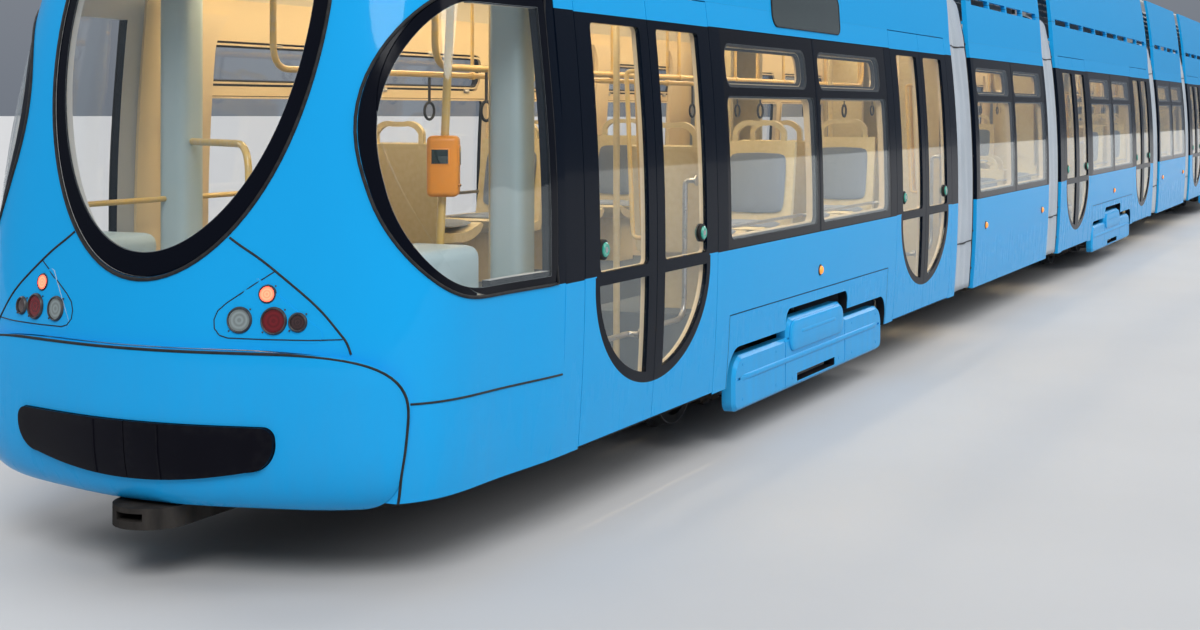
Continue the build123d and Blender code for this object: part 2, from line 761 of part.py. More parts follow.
def seat(x, side, facing, base_z):
    """Moulded seat shell with its foot and a loop handle over the back."""
    y = side * (half_width(1200, WALL) - SEAT_WIDTH / 2 - 45)
    edges = ring_edges([
        (-30, SEAT_PAN - 26),
        (200, SEAT_PAN - 40, 400, SEAT_PAN + 6),
        (425, SEAT_PAN - 8),
        (395, SEAT_PAN - 46),
        (250, SEAT_PAN - 92, 120, SEAT_PAN - 90),
        (-60, SEAT_PAN - 84),
        (-110, SEAT_PAN + 180, -160, SEAT_BACK),
        (-122, SEAT_BACK + 8),
        (-76, SEAT_PAN + 190, -30, SEAT_PAN - 26),
    ])
    side_view = Plane(origin=(0, y + SEAT_WIDTH / 2, 0), x_dir=(1, 0, 0), z_dir=(0, -1, 0))
    shell = drawn(side_view, edges, SEAT_WIDTH)
    foot = box(40, 250, y - 150, y + 150, 0, SEAT_PAN - 75)
    handle_arc = ring_edges([
        (-165, SEAT_BACK - 30),
        (-165, SEAT_BACK + 60),
        (-120, SEAT_BACK + 115, -40, SEAT_BACK + 125),
        (40, SEAT_BACK + 125),
        (120, SEAT_BACK + 115, 165, SEAT_BACK + 60),
        (165, SEAT_BACK - 30),
        (135, SEAT_BACK - 30),
        (135, SEAT_BACK + 55),
        (95, SEAT_BACK + 92, 35, SEAT_BACK + 97),
        (-35, SEAT_BACK + 97),
        (-95, SEAT_BACK + 92, -135, SEAT_BACK + 55),
        (-135, SEAT_BACK - 30),
    ])
    handle_plane = Plane(origin=(-158, y, 0), x_dir=(0, 1, 0), z_dir=(1, 0, 0))
    handle = drawn(handle_plane, handle_arc, 30)
    solid = shell + foot + handle
    if facing < 0:
        solid = Pos(0, 2 * y, 0) * Rot(0, 0, 180) * solid
    return Pos(x, 0, base_z) * solid


def gangway_posts(x0, x1, kind):
    """Upright panels either side of each gangway, from floor to roof."""
    ends = []
    if kind != "rear":
        ends.append((x0, x0 + BULKHEAD))
    if kind != "front":
        ends.append((x1 - BULKHEAD, x1))
    posts = []
    for a, b in ends:
        for side in (RIGHT, LEFT):
            y = half_width(SHOULDER_Z, WALL) - 2
            low, high = sorted((side * PORTAL_HALF_WIDTH, side * y))
            post = box(a, b, low, high, FLOOR_Z, CEILING_Z)
            limit = box(a - 5, b + 5, -y + 58, y - 58, SHOULDER_Z, CEILING_Z + 5)
            limit += box(a - 5, b + 5, -y, y, FLOOR_Z - 5, SHOULDER_Z - 2)
            posts.append(post & limit)
    return posts


def poles(kind, x0, x1):
    """Floor-to-ceiling grab poles beside the doorways."""
    if kind == "mid":
        middle = (x0 + x1) / 2
        places = [(middle - 900, 330), (middle + 900, -330)]
    else:
        places = []
        for start in bays(kind, x0, x1)[1]:
            if kind == "front" and start > bogie_centre(kind):
                places.append((start + 60, 330))
                continue
            places.append((start + 120, -640))
            places.append((start + DOOR_WIDTH - 120, -640))
    height = CEILING_Z - FLOOR_Z
    return [Pos(x, y, FLOOR_Z + height / 2) * Cylinder(17, height) for x, y in places]


def section_interior(kind, x0, x1):
    """Seats, gangway panels and poles of a section."""
    pieces = gangway_posts(x0, x1, kind) + poles(kind, x0, x1)
    if kind == "mid":
        middle = (x0 + x1) / 2
        for x, side, facing in MID_SEATS:
            pieces.append(seat(middle + x, side, facing, FLOOR_Z))
    else:
        for x, side, facing in PODIUM_SEATS:
            pieces.append(seat(bogie_centre(kind) + x, side, facing, PODIUM_Z))
    return Compound(children=pieces)


def cab():
    """Driver's desk, seat and the partition behind the seat."""
    x = END_X - CAP_LENGTH
    wall_y = half_width(SHOULDER_Z, WALL) - 4
    partition = box(x - 90, x - 50, -wall_y, wall_y, FLOOR_Z, SHOULDER_Z)
    partition -= box(x - 100, x - 40, -330, 330, FLOOR_Z + 60, 2190)
    partition -= box(x - 100, x - 40, 420, wall_y - 90, 1350, 2150)
    door = box(x - 78, x - 62, -328, 328, FLOOR_Z + 62, 2188)
    desk = box(x + 660, x + 960, -600, 600, 600, 1000)
    top = extrude(Pos(x + 800, 0, 1000) * RectangleRounded(400, 1300, 90), amount=45)
    slope = Plane(origin=(x + 780, 0, 1040), x_dir=(1, 0, 0), z_dir=(-0.3, 0, 1))
    console = extrude(slope * RectangleRounded(240, 620, 50), amount=40)
    foot = box(x + 700, x + 900, -520, 520, FLOOR_Z, 610)
    pedestal = Pos(x + 310, 0, FLOOR_Z + 175) * Cylinder(90, 350)
    cushion = extrude(Pos(x + 320, 0, FLOOR_Z + 350) * RectangleRounded(450, 480, 70), amount=110)
    back = Pos(x + 110, 0, FLOOR_Z + 400) * Rot(0, -5, 0) * box(-45, 45, -230, 230, 0, 740)
    chair = pedestal + cushion + back
    return Compound(children=[partition, door, desk + top + console + foot, chair])


def end_floor(joint_x, outward):
    """Floor of an end, inside its shell."""
    levels = [(FLOOR_Z - FLOOR_THICK, 60, half_width(SKIRT_Z)), (FLOOR_Z, 60, half_width(SKIRT_Z))]
    plate = cap_solid(levels, 62, 0)
    plate &= box(0, BUMPER_START_U - 10, -WIDTH, WIDTH, 0, 900)
    beam = box(200, CAP_LENGTH - 170, -150, 150, 215, 294)
    beam += box(200, 980, -150, 150, 290, FLOOR_Z - FLOOR_THICK)
    beam += Pos(CAP_LENGTH - 170, 0, (215 + 294) / 2) * Cylinder(150, 79)
    beam -= Pos(CAP_LENGTH - 170, 0, 260) * Cylinder(COUPLING_RADIUS, 400)
    beam -= box(CAP_LENGTH - 150, CAP_LENGTH + 400, -60, 60, 245, 275)
    return Pos(joint_x, 0, 0) * Rot(0, 0, 0 if outward > 0 else 180) * (plate + beam)


COUPLING_RADIUS = 22
JACK_PADS = [
    # from the section's middle along X, sideways
    (1000, 860),
    (1000, -860),
    (-1000, 860),
    (-1000, -860),
]

# Pantograph on the centre section, folded
PANTO_X = 500
PANTO_BASE_Z = 3400
ARM_PIVOT_Z = 3520
ARM_LENGTH = 1500
KNEE = (PANTO_X + ARM_LENGTH, 3590)
HEAD_PIVOT = (PANTO_X + 60, 3670)
STRIP_Z = 3785


def tube(start, end, radius, cut=0):
    """Round bar between two points."""
    a, b = Vector(*start), Vector(*end)
    run = b - a
    plane = Plane(origin=a + run.normalized() * cut, z_dir=run)
    return extrude(plane * Circle(radius), amount=run.length - 2 * cut)


def barrel(x, z, y0, y1, radius):
    """Cross tube along Y."""
    return Pos(x, (y0 + y1) / 2, z) * Rot(90, 0, 0) * Cylinder(radius, y1 - y0)


def panto_base():
    """Base frame on four insulators with the two lugs of the lower arm's pivot."""
    solid = box(PANTO_X - 260, PANTO_X + 940, -500, -440, PANTO_BASE_Z + 30, PANTO_BASE_Z + 60)
    solid += box(PANTO_X - 260, PANTO_X + 940, 440, 500, PANTO_BASE_Z + 30, PANTO_BASE_Z + 60)
    for x in (PANTO_X - 260, PANTO_X - 80, PANTO_X + 880):
        solid += box(x, x + 60, -500, 500, PANTO_BASE_Z + 30, PANTO_BASE_Z + 60)
    for x in (PANTO_X - 230, PANTO_X + 910):
        for y in (-470, 470):
            solid += Pos(x, y, PANTO_BASE_Z + 15) * Cylinder(42, 30)
    for side in (-1, 1):
        y0, y1 = sorted((side * 300, side * 340))
        lug = box(PANTO_X - 50, PANTO_X + 50, y0, y1, PANTO_BASE_Z + 59, ARM_PIVOT_Z + 50)
        lug = fillet(lug.edges().filter_by(Axis.Y).group_by(Axis.Z)[-1], 40)
        solid += lug
    solid -= barrel(PANTO_X, ARM_PIVOT_Z, -400, 400, 25.5)
    return solid


def panto_lower():
    """Lower arm: cross shaft, tapering tube and the fork at the knee."""
    solid = barrel(PANTO_X, ARM_PIVOT_Z, -345, 345, 25)
    solid += barrel(PANTO_X, ARM_PIVOT_Z, -285, 285, 48)
    knee = Vector(KNEE[0], 0, KNEE[1])
    start = Vector(PANTO_X, 0, ARM_PIVOT_Z)
    run = knee - start
    plane = Plane(origin=start, x_dir=(0, 1, 0), z_dir=run)
    end_plane = Plane(origin=start + run * ((ARM_LENGTH - 95) / ARM_LENGTH), x_dir=(0, 1, 0), z_dir=run)
    solid += loft([plane * Circle(46), end_plane * Circle(34)])
    for side in (-1, 1):
        y0, y1 = sorted((side * 42, side * 62))
        solid += barrel(KNEE[0], KNEE[1], y0, y1, 36)
        solid += box(KNEE[0] - 130, KNEE[0], y0, y1, KNEE[1] - 24, KNEE[1] + 20)
    solid += box(KNEE[0] - 130, KNEE[0] - 96, -62, 62, KNEE[1] - 24, KNEE[1] + 20)
    solid -= barrel(KNEE[0], KNEE[1], -100, 100, 16.5)
    return solid


def panto_upper():
    """Upper arm: knee shaft, spread pair of tubes and the head's cross tube."""
    solid = barrel(KNEE[0], KNEE[1], -112, 112, 16)
    solid += barrel(KNEE[0], KNEE[1], -37, 37, 33)
    for side in (-1, 1):
        y0, y1 = sorted((side * 70, side * 112))
        solid += barrel(KNEE[0], KNEE[1], y0, y1, 31)
        solid += tube((KNEE[0], side * 92, KNEE[1]), (HEAD_PIVOT[0], side * 330, HEAD_PIVOT[1]), 17)
    solid += barrel(HEAD_PIVOT[0], HEAD_PIVOT[1], -350, 350, 19)
    solid += barrel(HEAD_PIVOT[0], HEAD_PIVOT[1], -430, 430, 12)
    middle_x = (KNEE[0] + HEAD_PIVOT[0]) / 2
    middle_z = (KNEE[1] + HEAD_PIVOT[1]) / 2
    solid += barrel(middle_x, middle_z, -180, 180, 11)
    return solid


def panto_head():
    """Collector head: two contact strips on a sprung frame, with down-turned horns."""
    solid = None
    for x in (-170, 170):
        strip = box(HEAD_PIVOT[0] + x - 28, HEAD_PIVOT[0] + x + 28, -510, 510, STRIP_Z - 22, STRIP_Z)
        strip += box(HEAD_PIVOT[0] + x - 20, HEAD_PIVOT[0] + x + 20, -560, 560, STRIP_Z - 44, STRIP_Z - 21)
        path = []
        for side in (-1, 1):
            arc = ThreePointArc(
                (HEAD_PIVOT[0] + x, side * 540, STRIP_Z - 32),
                (HEAD_PIVOT[0] + x, side * 720, STRIP_Z - 62),
                (HEAD_PIVOT[0] + x, side * 840, STRIP_Z - 190),
            )
            path.append(arc)
            profile = Plane(origin=arc @ 0, z_dir=arc % 0) * Circle(12)
            strip += sweep(profile, path=arc)
        solid = strip if solid is None else solid + strip
    for side in (-1, 1):
        y = side * 400
        solid += box(HEAD_PIVOT[0] - 190, HEAD_PIVOT[0] + 190, y - 14, y + 14, STRIP_Z - 72, STRIP_Z - 43)
        y0, y1 = sorted((side * 386, side * 414))
        solid += box(HEAD_PIVOT[0] - 26, HEAD_PIVOT[0] + 26, y0, y1, HEAD_PIVOT[1] - 30, STRIP_Z - 44)
    solid -= barrel(HEAD_PIVOT[0], HEAD_PIVOT[1], -500, 500, 12.5)
    return solid


SECTIONS = [
    # name, kind, rear x, front x
    ("section_a", "front", END_X - END_LENGTH, END_X - CAP_LENGTH),
    ("section_b", "mid", CENTRE_LENGTH / 2 + GAP, CENTRE_LENGTH / 2 + GAP + MID_LENGTH),
    ("section_c", "centre", -CENTRE_LENGTH / 2, CENTRE_LENGTH / 2),
    ("section_d", "mid", -CENTRE_LENGTH / 2 - GAP - MID_LENGTH, -CENTRE_LENGTH / 2 - GAP),
    ("section_e", "rear", -END_X + CAP_LENGTH, -END_X + END_LENGTH),
]
BELLOWS = [
    ("bellows_ab", PIVOT_OUTER_X),
    ("bellows_bc", PIVOT_INNER_X),
    ("bellows_cd", -PIVOT_INNER_X),
    ("bellows_de", -PIVOT_OUTER_X),
]
BOGIES = [
    ("front_bogie", BOGIE_X),
    ("centre_bogie", 0),
    ("rear_bogie", -BOGIE_X),
]


def jack_pads(middle):
    """Flat lifting pads under a section's floor."""
    pads = []
    for x, y in JACK_PADS:
        pads.append(Pos(middle + x, y, FLOOR_Z - FLOOR_THICK - 9) * Box(160, 160, 20))
    return pads


def save(shape, name):
    """Write one node."""
    export_step(shape, f"parts/{name}.step")


def at_end(shape, outward):
    """Place a shape worked in an end's own frame."""
    place = Pos(outward * (END_X - CAP_LENGTH), 0, 0)
    return place * Rot(0, 0, 0 if outward > 0 else 180) * shape


def build_sections():
    """Write the shells, floors, doors and fittings of the five sections."""
    glazing_ends = end_glazing()
    for name, kind, x0, x1 in SECTIONS:
        save(section_walls(kind, x0, x1), f"{name}_walls")
        save(section_roof(kind, x0, x1), f"{name}_roof")
        floor = section_floor(kind, x0, x1)
        extras = []
        if kind != "mid":
            extras = bogie_podium(bogie_centre(kind)) + [bogie_aisle(bogie_centre(kind))]
        glazing = section_glazing(kind, x0, x1)
        if kind in ("front", "rear"):
            outward = 1 if kind == "front" else -1
            floor += end_floor(outward * (END_X - CAP_LENGTH), outward)
            ends = [at_end(pane, outward) for pane in glazing_ends]
            glazing = Compound(children=list(glazing.solids()) + ends)
        if kind == "mid":
            for pad in jack_pads((x0 + x1) / 2):
                floor += pad
        save(Compound(children=list(floor.solids()) + extras), f"{name}_floor")
        save(glazing, f"{name}_glazing")
        save(section_interior(kind, x0, x1), f"{name}_interior")
        if kind != "mid":
            save(section_doors(kind, x0, x1), f"{name}_doors")


def build_ends():
    """Write both ends: shell, bumper, rubber pad and lamps."""
    parts = [
        ("shell", [end_cap()]),
        ("bumper", [end_bumper()]),
        ("pad", end_pad()),
        ("lamps", end_lamps()),
    ]
    for label, solids in parts:
        for end, outward in (("nose", 1), ("tail", -1)):
            placed = [at_end(solid, outward) for solid in solids]
            save(Compound(children=placed), f"{end}_{label}")


def build_running_gear():
    """Write the three bogies with their covers and wheelsets."""
    for name, x in BOGIES:
        save(bogie_frame(x), f"{name}_frame")
        save(bogie_covers(x), f"{name}_covers")
        save(wheelset(x + WHEELBASE / 2), f"{name}_wheels_1")
        save(wheelset(x - WHEELBASE / 2), f"{name}_wheels_2")


def build_rest():
    """Write the bellows, the pantograph and the cab."""
    for name, pivot in BELLOWS:
        save(bellows(pivot - GAP / 2), name)
    save(panto_base(), "pantograph_base")
    save(panto_lower(), "pantograph_lower_arm")
    save(panto_upper(), "pantograph_upper_arm")
    save(panto_head(), "pantograph_head")
    save(cab(), "cab_fittings")


build_sections()
build_ends()
build_running_gear()
build_rest()
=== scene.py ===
"""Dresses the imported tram: finishes for its CAD nodes, fittings, fabric, light and camera."""

import logging
import math
from collections.abc import Callable, Iterable, Sequence
from dataclasses import dataclass, field
from enum import Enum

import bmesh
import bpy
from mathutils import Matrix, Vector
from mathutils.bvhtree import BVHTree
from mathutils.interpolate import poly_3d_calc


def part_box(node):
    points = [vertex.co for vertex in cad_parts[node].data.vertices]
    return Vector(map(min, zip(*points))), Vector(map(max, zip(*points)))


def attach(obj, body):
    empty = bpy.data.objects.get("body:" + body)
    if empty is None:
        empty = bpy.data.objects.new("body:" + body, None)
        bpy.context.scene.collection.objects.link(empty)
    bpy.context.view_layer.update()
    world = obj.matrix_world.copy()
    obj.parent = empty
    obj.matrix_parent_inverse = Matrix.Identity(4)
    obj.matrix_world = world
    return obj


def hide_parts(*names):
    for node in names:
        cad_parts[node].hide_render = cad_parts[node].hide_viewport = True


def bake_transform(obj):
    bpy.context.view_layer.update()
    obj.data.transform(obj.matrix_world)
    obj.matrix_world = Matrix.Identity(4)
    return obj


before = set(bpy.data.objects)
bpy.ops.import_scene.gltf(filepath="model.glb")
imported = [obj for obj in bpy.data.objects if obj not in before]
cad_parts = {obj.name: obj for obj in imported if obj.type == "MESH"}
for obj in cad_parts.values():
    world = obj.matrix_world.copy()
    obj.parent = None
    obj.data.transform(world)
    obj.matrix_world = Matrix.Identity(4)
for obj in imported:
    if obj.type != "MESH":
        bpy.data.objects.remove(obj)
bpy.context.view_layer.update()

log = logging.getLogger("tram")

Point = tuple[float, float, float]
Colour = tuple[float, float, float]
Pair = tuple[float, float]
Socket = bpy.types.NodeSocket
Piece = bpy.types.Object
Value = float | Colour | Point | Socket
Lens = tuple[float, float, float, Colour, float]

# Places shared with the CAD, in metres
HALF_WIDTH = 1.150
HALF_LENGTH = 16.027
CAP = 1.370
JOINT_X = HALF_LENGTH - CAP
BOGIE_X = 11.237
CENTRE_HALF = 3.440
MID_NEAR = 4.080
MID_FAR = 7.157
END_NEAR = 7.797
DOOR = 1.560
ZONE_HALF = 1.680
BAND_LOW = 1.055
BAND_HIGH = 2.190
SIDE_RADIUS = 9.600
BELLY_Z = 1.150
FLOOR_Z = 0.370
PODIUM_Z = 0.720
CEILING_Z = 2.440
PANEL_Z = 2.316
HALF_WHEELBASE = 0.900
AXLE_Z = 0.320

# Where rays that look for a surface start
BEYOND_END = 17.5
BESIDE = 2.0


class Side(Enum):
    """Side of the tram, as the sign of Y."""

    RIGHT = -1
    LEFT = 1


class Kind(Enum):
    """What a section stands on and where it is in the train."""

    FRONT = "front"
    MID = "mid"
    CENTRE = "centre"
    REAR = "rear"


@dataclass(frozen=True)
class Section:
    """One section of the tram.

    Args:
        name: Body and node prefix.
        kind: Its place in the train.
        x0: Rear end of its straight part.
        x1: Front end of its straight part.
    """

    name: str
    kind: Kind
    x0: float
    x1: float

    @property
    def bogie(self) -> float:
        """Middle of the section's bogie, or of the section."""
        if self.kind is Kind.FRONT:
            return BOGIE_X
        if self.kind is Kind.REAR:
            return -BOGIE_X
        return (self.x0 + self.x1) / 2

    @property
    def doors(self) -> list[float]:
        """Starts of the section's doorways."""
        if self.kind is Kind.MID:
            return []
        return [self.bogie - ZONE_HALF - DOOR, self.bogie + ZONE_HALF]


SECTIONS = [
    Section("section_a", Kind.FRONT, END_NEAR, JOINT_X),
    Section("section_b", Kind.MID, MID_NEAR, MID_FAR),
    Section("section_c", Kind.CENTRE, -CENTRE_HALF, CENTRE_HALF),
    Section("section_d", Kind.MID, -MID_FAR, -MID_NEAR),
    Section("section_e", Kind.REAR, -JOINT_X, -END_NEAR),
]


def half_width(z: float, depth: float = 0.0) -> float:
    """Half width of the side skin."""
    r = SIDE_RADIUS - depth
    return HALF_WIDTH - SIDE_RADIUS + math.sqrt(r * r - (z - BELLY_Z) ** 2)


class Graph:
    """Short calls for building a node tree."""

    def __init__(self, tree: bpy.types.NodeTree) -> None:
        """Wraps a node tree."""
        self.tree = tree

    def node(self, kind: str, **settings: object) -> bpy.types.Node:
        """Adds a node.

        Args:
            kind: Its type name.
            settings: Properties to set on it.

        Returns:
            The node.
        """
        made = self.tree.nodes.new(kind)
        for name, value in settings.items():
            setattr(made, name, value)
        return made

    def put(self, socket: Socket, value: Value | None) -> None:
        """Links or sets an input.

        Args:
            socket: The input.
            value: An output socket, a number, a colour or nothing.
        """
        if value is None:
            return
        if isinstance(value, Socket):
            self.tree.links.new(value, socket)
        elif socket.type == "RGBA":
            socket.default_value = (*value, 1.0)
        else:
            socket.default_value = value

    def math(self, operation: str, a: Value, b: Value | None = None, c: Value | None = None) -> Socket:
        """Adds a Math node.

        Args:
            operation: Its operation.
            a: First input.
            b: Second input.
            c: Third input.

        Returns:
            Its output.
        """
        made = self.node("ShaderNodeMath", operation=operation)
        for socket, value in zip(made.inputs, (a, b, c)):
            self.put(socket, value)
        return made.outputs[0]

    def add(self, a: Value, b: Value) -> Socket:
        """Adds two numbers."""
        return self.math("ADD", a, b)

    def sub(self, a: Value, b: Value) -> Socket:
        """Takes the second number from the first."""
        return self.math("SUBTRACT", a, b)

    def mul(self, a: Value, b: Value) -> Socket:
        """Multiplies two numbers."""
        return self.math("MULTIPLY", a, b)

    def div(self, a: Value, b: Value) -> Socket:
        """Divides the first number by the second."""
        return self.math("DIVIDE", a, b)

    def abs(self, a: Value) -> Socket:
        """Drops a number's sign."""
        return self.math("ABSOLUTE", a)

    def most(self, a: Value, b: Value) -> Socket:
        """Takes the larger of two numbers."""
        return self.math("MAXIMUM", a, b)

    def least(self, a: Value, b: Value) -> Socket:
        """Takes the smaller of two numbers."""
        return self.math("MINIMUM", a, b)

    def scaled(self, a: Value, b: Value, c: Value) -> Socket:
        """Multiplies the first two numbers and adds the third."""
        return self.math("MULTIPLY_ADD", a, b, c)

    def flip(self, a: Value) -> Socket:
        """Takes a number from 1."""
        return self.math("SUBTRACT", 1.0, a)

    def clamp(self, a: Value) -> Socket:
        """Keeps a number between 0 and 1.

        Args:
            a: The number.

        Returns:
            The clamped number.
        """
        made = self.node("ShaderNodeClamp")
        self.put(made.inputs[0], a)
        return made.outputs[0]

    def step(self, a: Value, edge: float, soft: float) -> Socket:
        """Rises from 0 to 1 about an edge.

        Args:
            a: The number tested.
            edge: Where it is 0.5.
            soft: Width of the rise.

        Returns:
            The step.
        """
        made = self.node("ShaderNodeMapRange")
        self.put(made.inputs[0], a)
        made.inputs[1].default_value = edge - soft / 2
        made.inputs[2].default_value = edge + soft / 2
        return made.outputs[0]

    def between(self, a: Value, low: float, high: float, soft: float) -> Socket:
        """Is 1 between two limits."""
        return self.mul(self.step(a, low, soft), self.flip(self.step(a, high, soft)))

    def mix(self, factor: Value, a: Value, b: Value) -> Socket:
        """Mixes two colours.

        Args:
            factor: 0 for the first, 1 for the second.
            a: First colour.
            b: Second colour.

        Returns:
            The mixed colour.
        """
        made = self.node("ShaderNodeMix", data_type="RGBA")
        self.put(made.inputs[0], factor)
        self.put(made.inputs[6], a)
        self.put(made.inputs[7], b)
        return made.outputs[2]

    def lerp(self, factor: Value, a: Value, b: Value) -> Socket:
        """Mixes two numbers.

        Args:
            factor: 0 for the first, 1 for the second.
            a: First number.
            b: Second number.

        Returns:
            The mixed number.
        """
        made = self.node("ShaderNodeMix", data_type="FLOAT")
        self.put(made.inputs[0], factor)
        self.put(made.inputs[2], a)
        self.put(made.inputs[3], b)
        return made.outputs[0]

    def noise(self, vector: Value, scale: float, detail: float = 3.0) -> Socket:
        """Adds noise.

        Args:
            vector: Where it is read.
            scale: Its scale.
            detail: Its octaves.

        Returns:
            Its factor.
        """
        made = self.node("ShaderNodeTexNoise")
        self.feed(made, {"Vector": vector, "Scale": scale, "Detail": detail})
        return made.outputs["Fac"]

    def split(self, vector: Value) -> tuple[Socket, Socket, Socket]:
        """Takes a vector apart into X, Y and Z.

        Args:
            vector: The vector.

        Returns:
            Its parts.
        """
        made = self.node("ShaderNodeSeparateXYZ")
        self.put(made.inputs[0], vector)
        return made.outputs[0], made.outputs[1], made.outputs[2]

    def coords(self) -> tuple[Socket, Socket, Socket, Socket]:
        """Reads object coordinates.

        Returns:
            The vector and its X, Y and Z.
        """
        vector = self.node("ShaderNodeTexCoord").outputs["Object"]
        return vector, *self.split(vector)

    def bump(self, height: Value, distance: float, strength: Value) -> Socket:
        """Turns a height into a normal.

        Args:
            height: The height, from 0 to 1.
            distance: What 1 stands for, in metres.
            strength: How much of it shows.

        Returns:
            The normal.
        """
        made = self.node("ShaderNodeBump")
        self.feed(made, {"Height": height, "Distance": distance, "Strength": strength})
        return made.outputs[0]

    def feed(self, node: bpy.types.Node, values: dict[str, Value]) -> None:
        """Links or sets inputs of a node by name."""
        for name, value in values.items():
            self.put(node.inputs[name], value)

    def group(self, tree: bpy.types.NodeTree, **inputs: Value) -> bpy.types.Node:
        """Adds a shared group.

        Args:
            tree: The group's tree.
            inputs: Its inputs by name, with spaces as underscores.

        Returns:
            The group node.
        """
        made = self.node("ShaderNodeGroup")
        made.node_tree = tree
        for name, value in inputs.items():
            self.put(made.inputs[name.replace("_", " ")], value)
        return made


Mask = Callable[[Graph, Value, Value, Value], Socket]


class Groups:
    """Shader groups that several finishes share."""

    def __init__(self) -> None:
        """Builds every group once."""
        self.dust = self._dust()
        self.peel = self._peel()
        self.wear = self._wear()

    @staticmethod
    def _start(
        name: str, inputs: Sequence[tuple[str, str]], outputs: Sequence[tuple[str, str]]
    ) -> tuple[Graph, bpy.types.Node, bpy.types.Node]:
        """Opens a group with its sockets.

        Args:
            name: Group name.
            inputs: Name and socket type of each input.
            outputs: Name and socket type of each output.

        Returns:
            The graph, its input node and its output node.
        """
        tree = bpy.data.node_groups.new(name, "ShaderNodeTree")
        for label, kind in inputs:
            tree.interface.new_socket(label, in_out="INPUT", socket_type=kind)
        for label, kind in outputs:
            tree.interface.new_socket(label, in_out="OUTPUT", socket_type=kind)
        graph = Graph(tree)
        return graph, graph.node("NodeGroupInput"), graph.node("NodeGroupOutput")

    def _dust(self) -> bpy.types.NodeTree:
        """Road film that thickens towards the skirt and lies in streaks.

        Returns:
            The group.
        """
        g, start, end = self._start(
            "road_film",
            [("Colour", "NodeSocketColor"), ("Amount", "NodeSocketFloat"), ("Roughness", "NodeSocketFloat")],
            [("Colour", "NodeSocketColor"), ("Roughness", "NodeSocketFloat")],
        )
        vector, _, _, z = g.coords()
        stretched = g.node("ShaderNodeMapping")
        g.feed(stretched, {"Vector": vector, "Scale": (3.0, 3.0, 0.5)})
        streaks = g.noise(stretched.outputs[0], 5.0, 6.0)
        specks = g.noise(vector, 60.0, 2.0)
        low = g.flip(g.step(z, 0.62, 0.75))
        film = g.mul(g.scaled(streaks, 0.9, -0.12), low)
        film = g.scaled(g.mul(specks, streaks), 0.10, film)
        film = g.clamp(g.mul(film, start.outputs["Amount"]))
        colour = g.mix(film, start.outputs["Colour"], (0.16, 0.14, 0.12))
        g.feed(end, {"Colour": colour, "Roughness": g.scaled(film, 0.45, start.outputs["Roughness"])})
        return g.tree

    def _peel(self) -> bpy.types.NodeTree:
        """Faint waviness of sprayed paint over filled panels.

        Returns:
            The group.
        """
        g, start, end = self._start(
            "paint_peel",
            [("Strength", "NodeSocketFloat")],
            [("Normal", "NodeSocketVector")],
        )
        vector, *_ = g.coords()
        panel = g.noise(vector, 1.6, 1.0)
        peel = g.noise(vector, 230.0, 2.0)
        height = g.scaled(peel, 0.06, panel)
        g.feed(end, {"Normal": g.bump(height, 0.004, start.outputs["Strength"])})
        return g.tree

    def _wear(self) -> bpy.types.NodeTree:
        """Edges rubbed towards another colour.

        Returns:
            The group.
        """
        g, start, end = self._start(
            "edge_wear",
            [("Colour", "NodeSocketColor"), ("Worn", "NodeSocketColor"), ("Amount", "NodeSocketFloat")],
            [("Colour", "NodeSocketColor"), ("Mask", "NodeSocketFloat")],
        )
        vector, *_ = g.coords()
        point = g.node("ShaderNodeNewGeometry").outputs["Pointiness"]
        edge = g.step(point, 0.535, 0.05)
        broken = g.step(g.noise(vector, 34.0, 5.0), 0.5, 0.22)
        mask = g.clamp(g.mul(g.mul(edge, broken), start.outputs["Amount"]))
        g.feed(end, {"Colour": g.mix(mask, start.outputs["Colour"], start.outputs["Worn"]), "Mask": mask})
        return g.tree


GROUPS = Groups()


def open_material(name: str) -> tuple[bpy.types.Material, Graph, bpy.types.Node]:
    """Starts a node material.

    Args:
        name: Material name.

    Returns:
        The material, its graph and its principled shader.
    """
    material = bpy.data.materials.new(name)
    material.use_nodes = True
    graph = Graph(material.node_tree)
    return material, graph, material.node_tree.nodes["Principled BSDF"]


BLUE: Colour = (0.008, 0.350, 0.760)
BLUE_FADED: Colour = (0.014, 0.370, 0.770)
BLACK: Colour = (0.002, 0.005, 0.012)
SEAM: Colour = (0.004, 0.020, 0.050)
CREAM: Colour = (0.740, 0.600, 0.380)


@dataclass(frozen=True)
class Region:
    """A painted area described by a number that is 1 inside it.

    Args:
        mask: Builds the number from the graph and the object coordinates.
        colour: Colour inside.
        roughness: Roughness inside.
        coat: Clear coat weight inside.
        metallic: Metal weight inside.
    """

    mask: Mask
    colour: Colour
    roughness: float
    coat: float = 0.0
    metallic: float = 0.0


def skin_depth(g: Graph, y: Value, z: Value) -> Socket:
    """Depth below the side skin, worked out from where the surface is.

    Args:
        g: The graph.
        y: Object Y.
        z: Object Z.

    Returns:
        The depth in metres.
    """
    rise = g.sub(z, BELLY_Z)
    across = g.math("SQRT", g.sub(SIDE_RADIUS**2, g.mul(rise, rise)))
    outer = g.add(across, HALF_WIDTH - SIDE_RADIUS)
    return g.sub(outer, g.abs(y))


def oval_value(g: Graph, a: Value, b: Value, wide: float, high: Value) -> Socket:
    """Distance from an oval's middle, 1 on its outline.

    Args:
        g: The graph.
        a: Offset along its width.
        b: Offset along its height.
        wide: Half width.
        high: Half height.

    Returns:
        The scaled distance.
    """
    u = g.div(a, wide)
    v = g.div(b, high)
    return g.math("SQRT", g.add(g.mul(u, u), g.mul(v, v)))


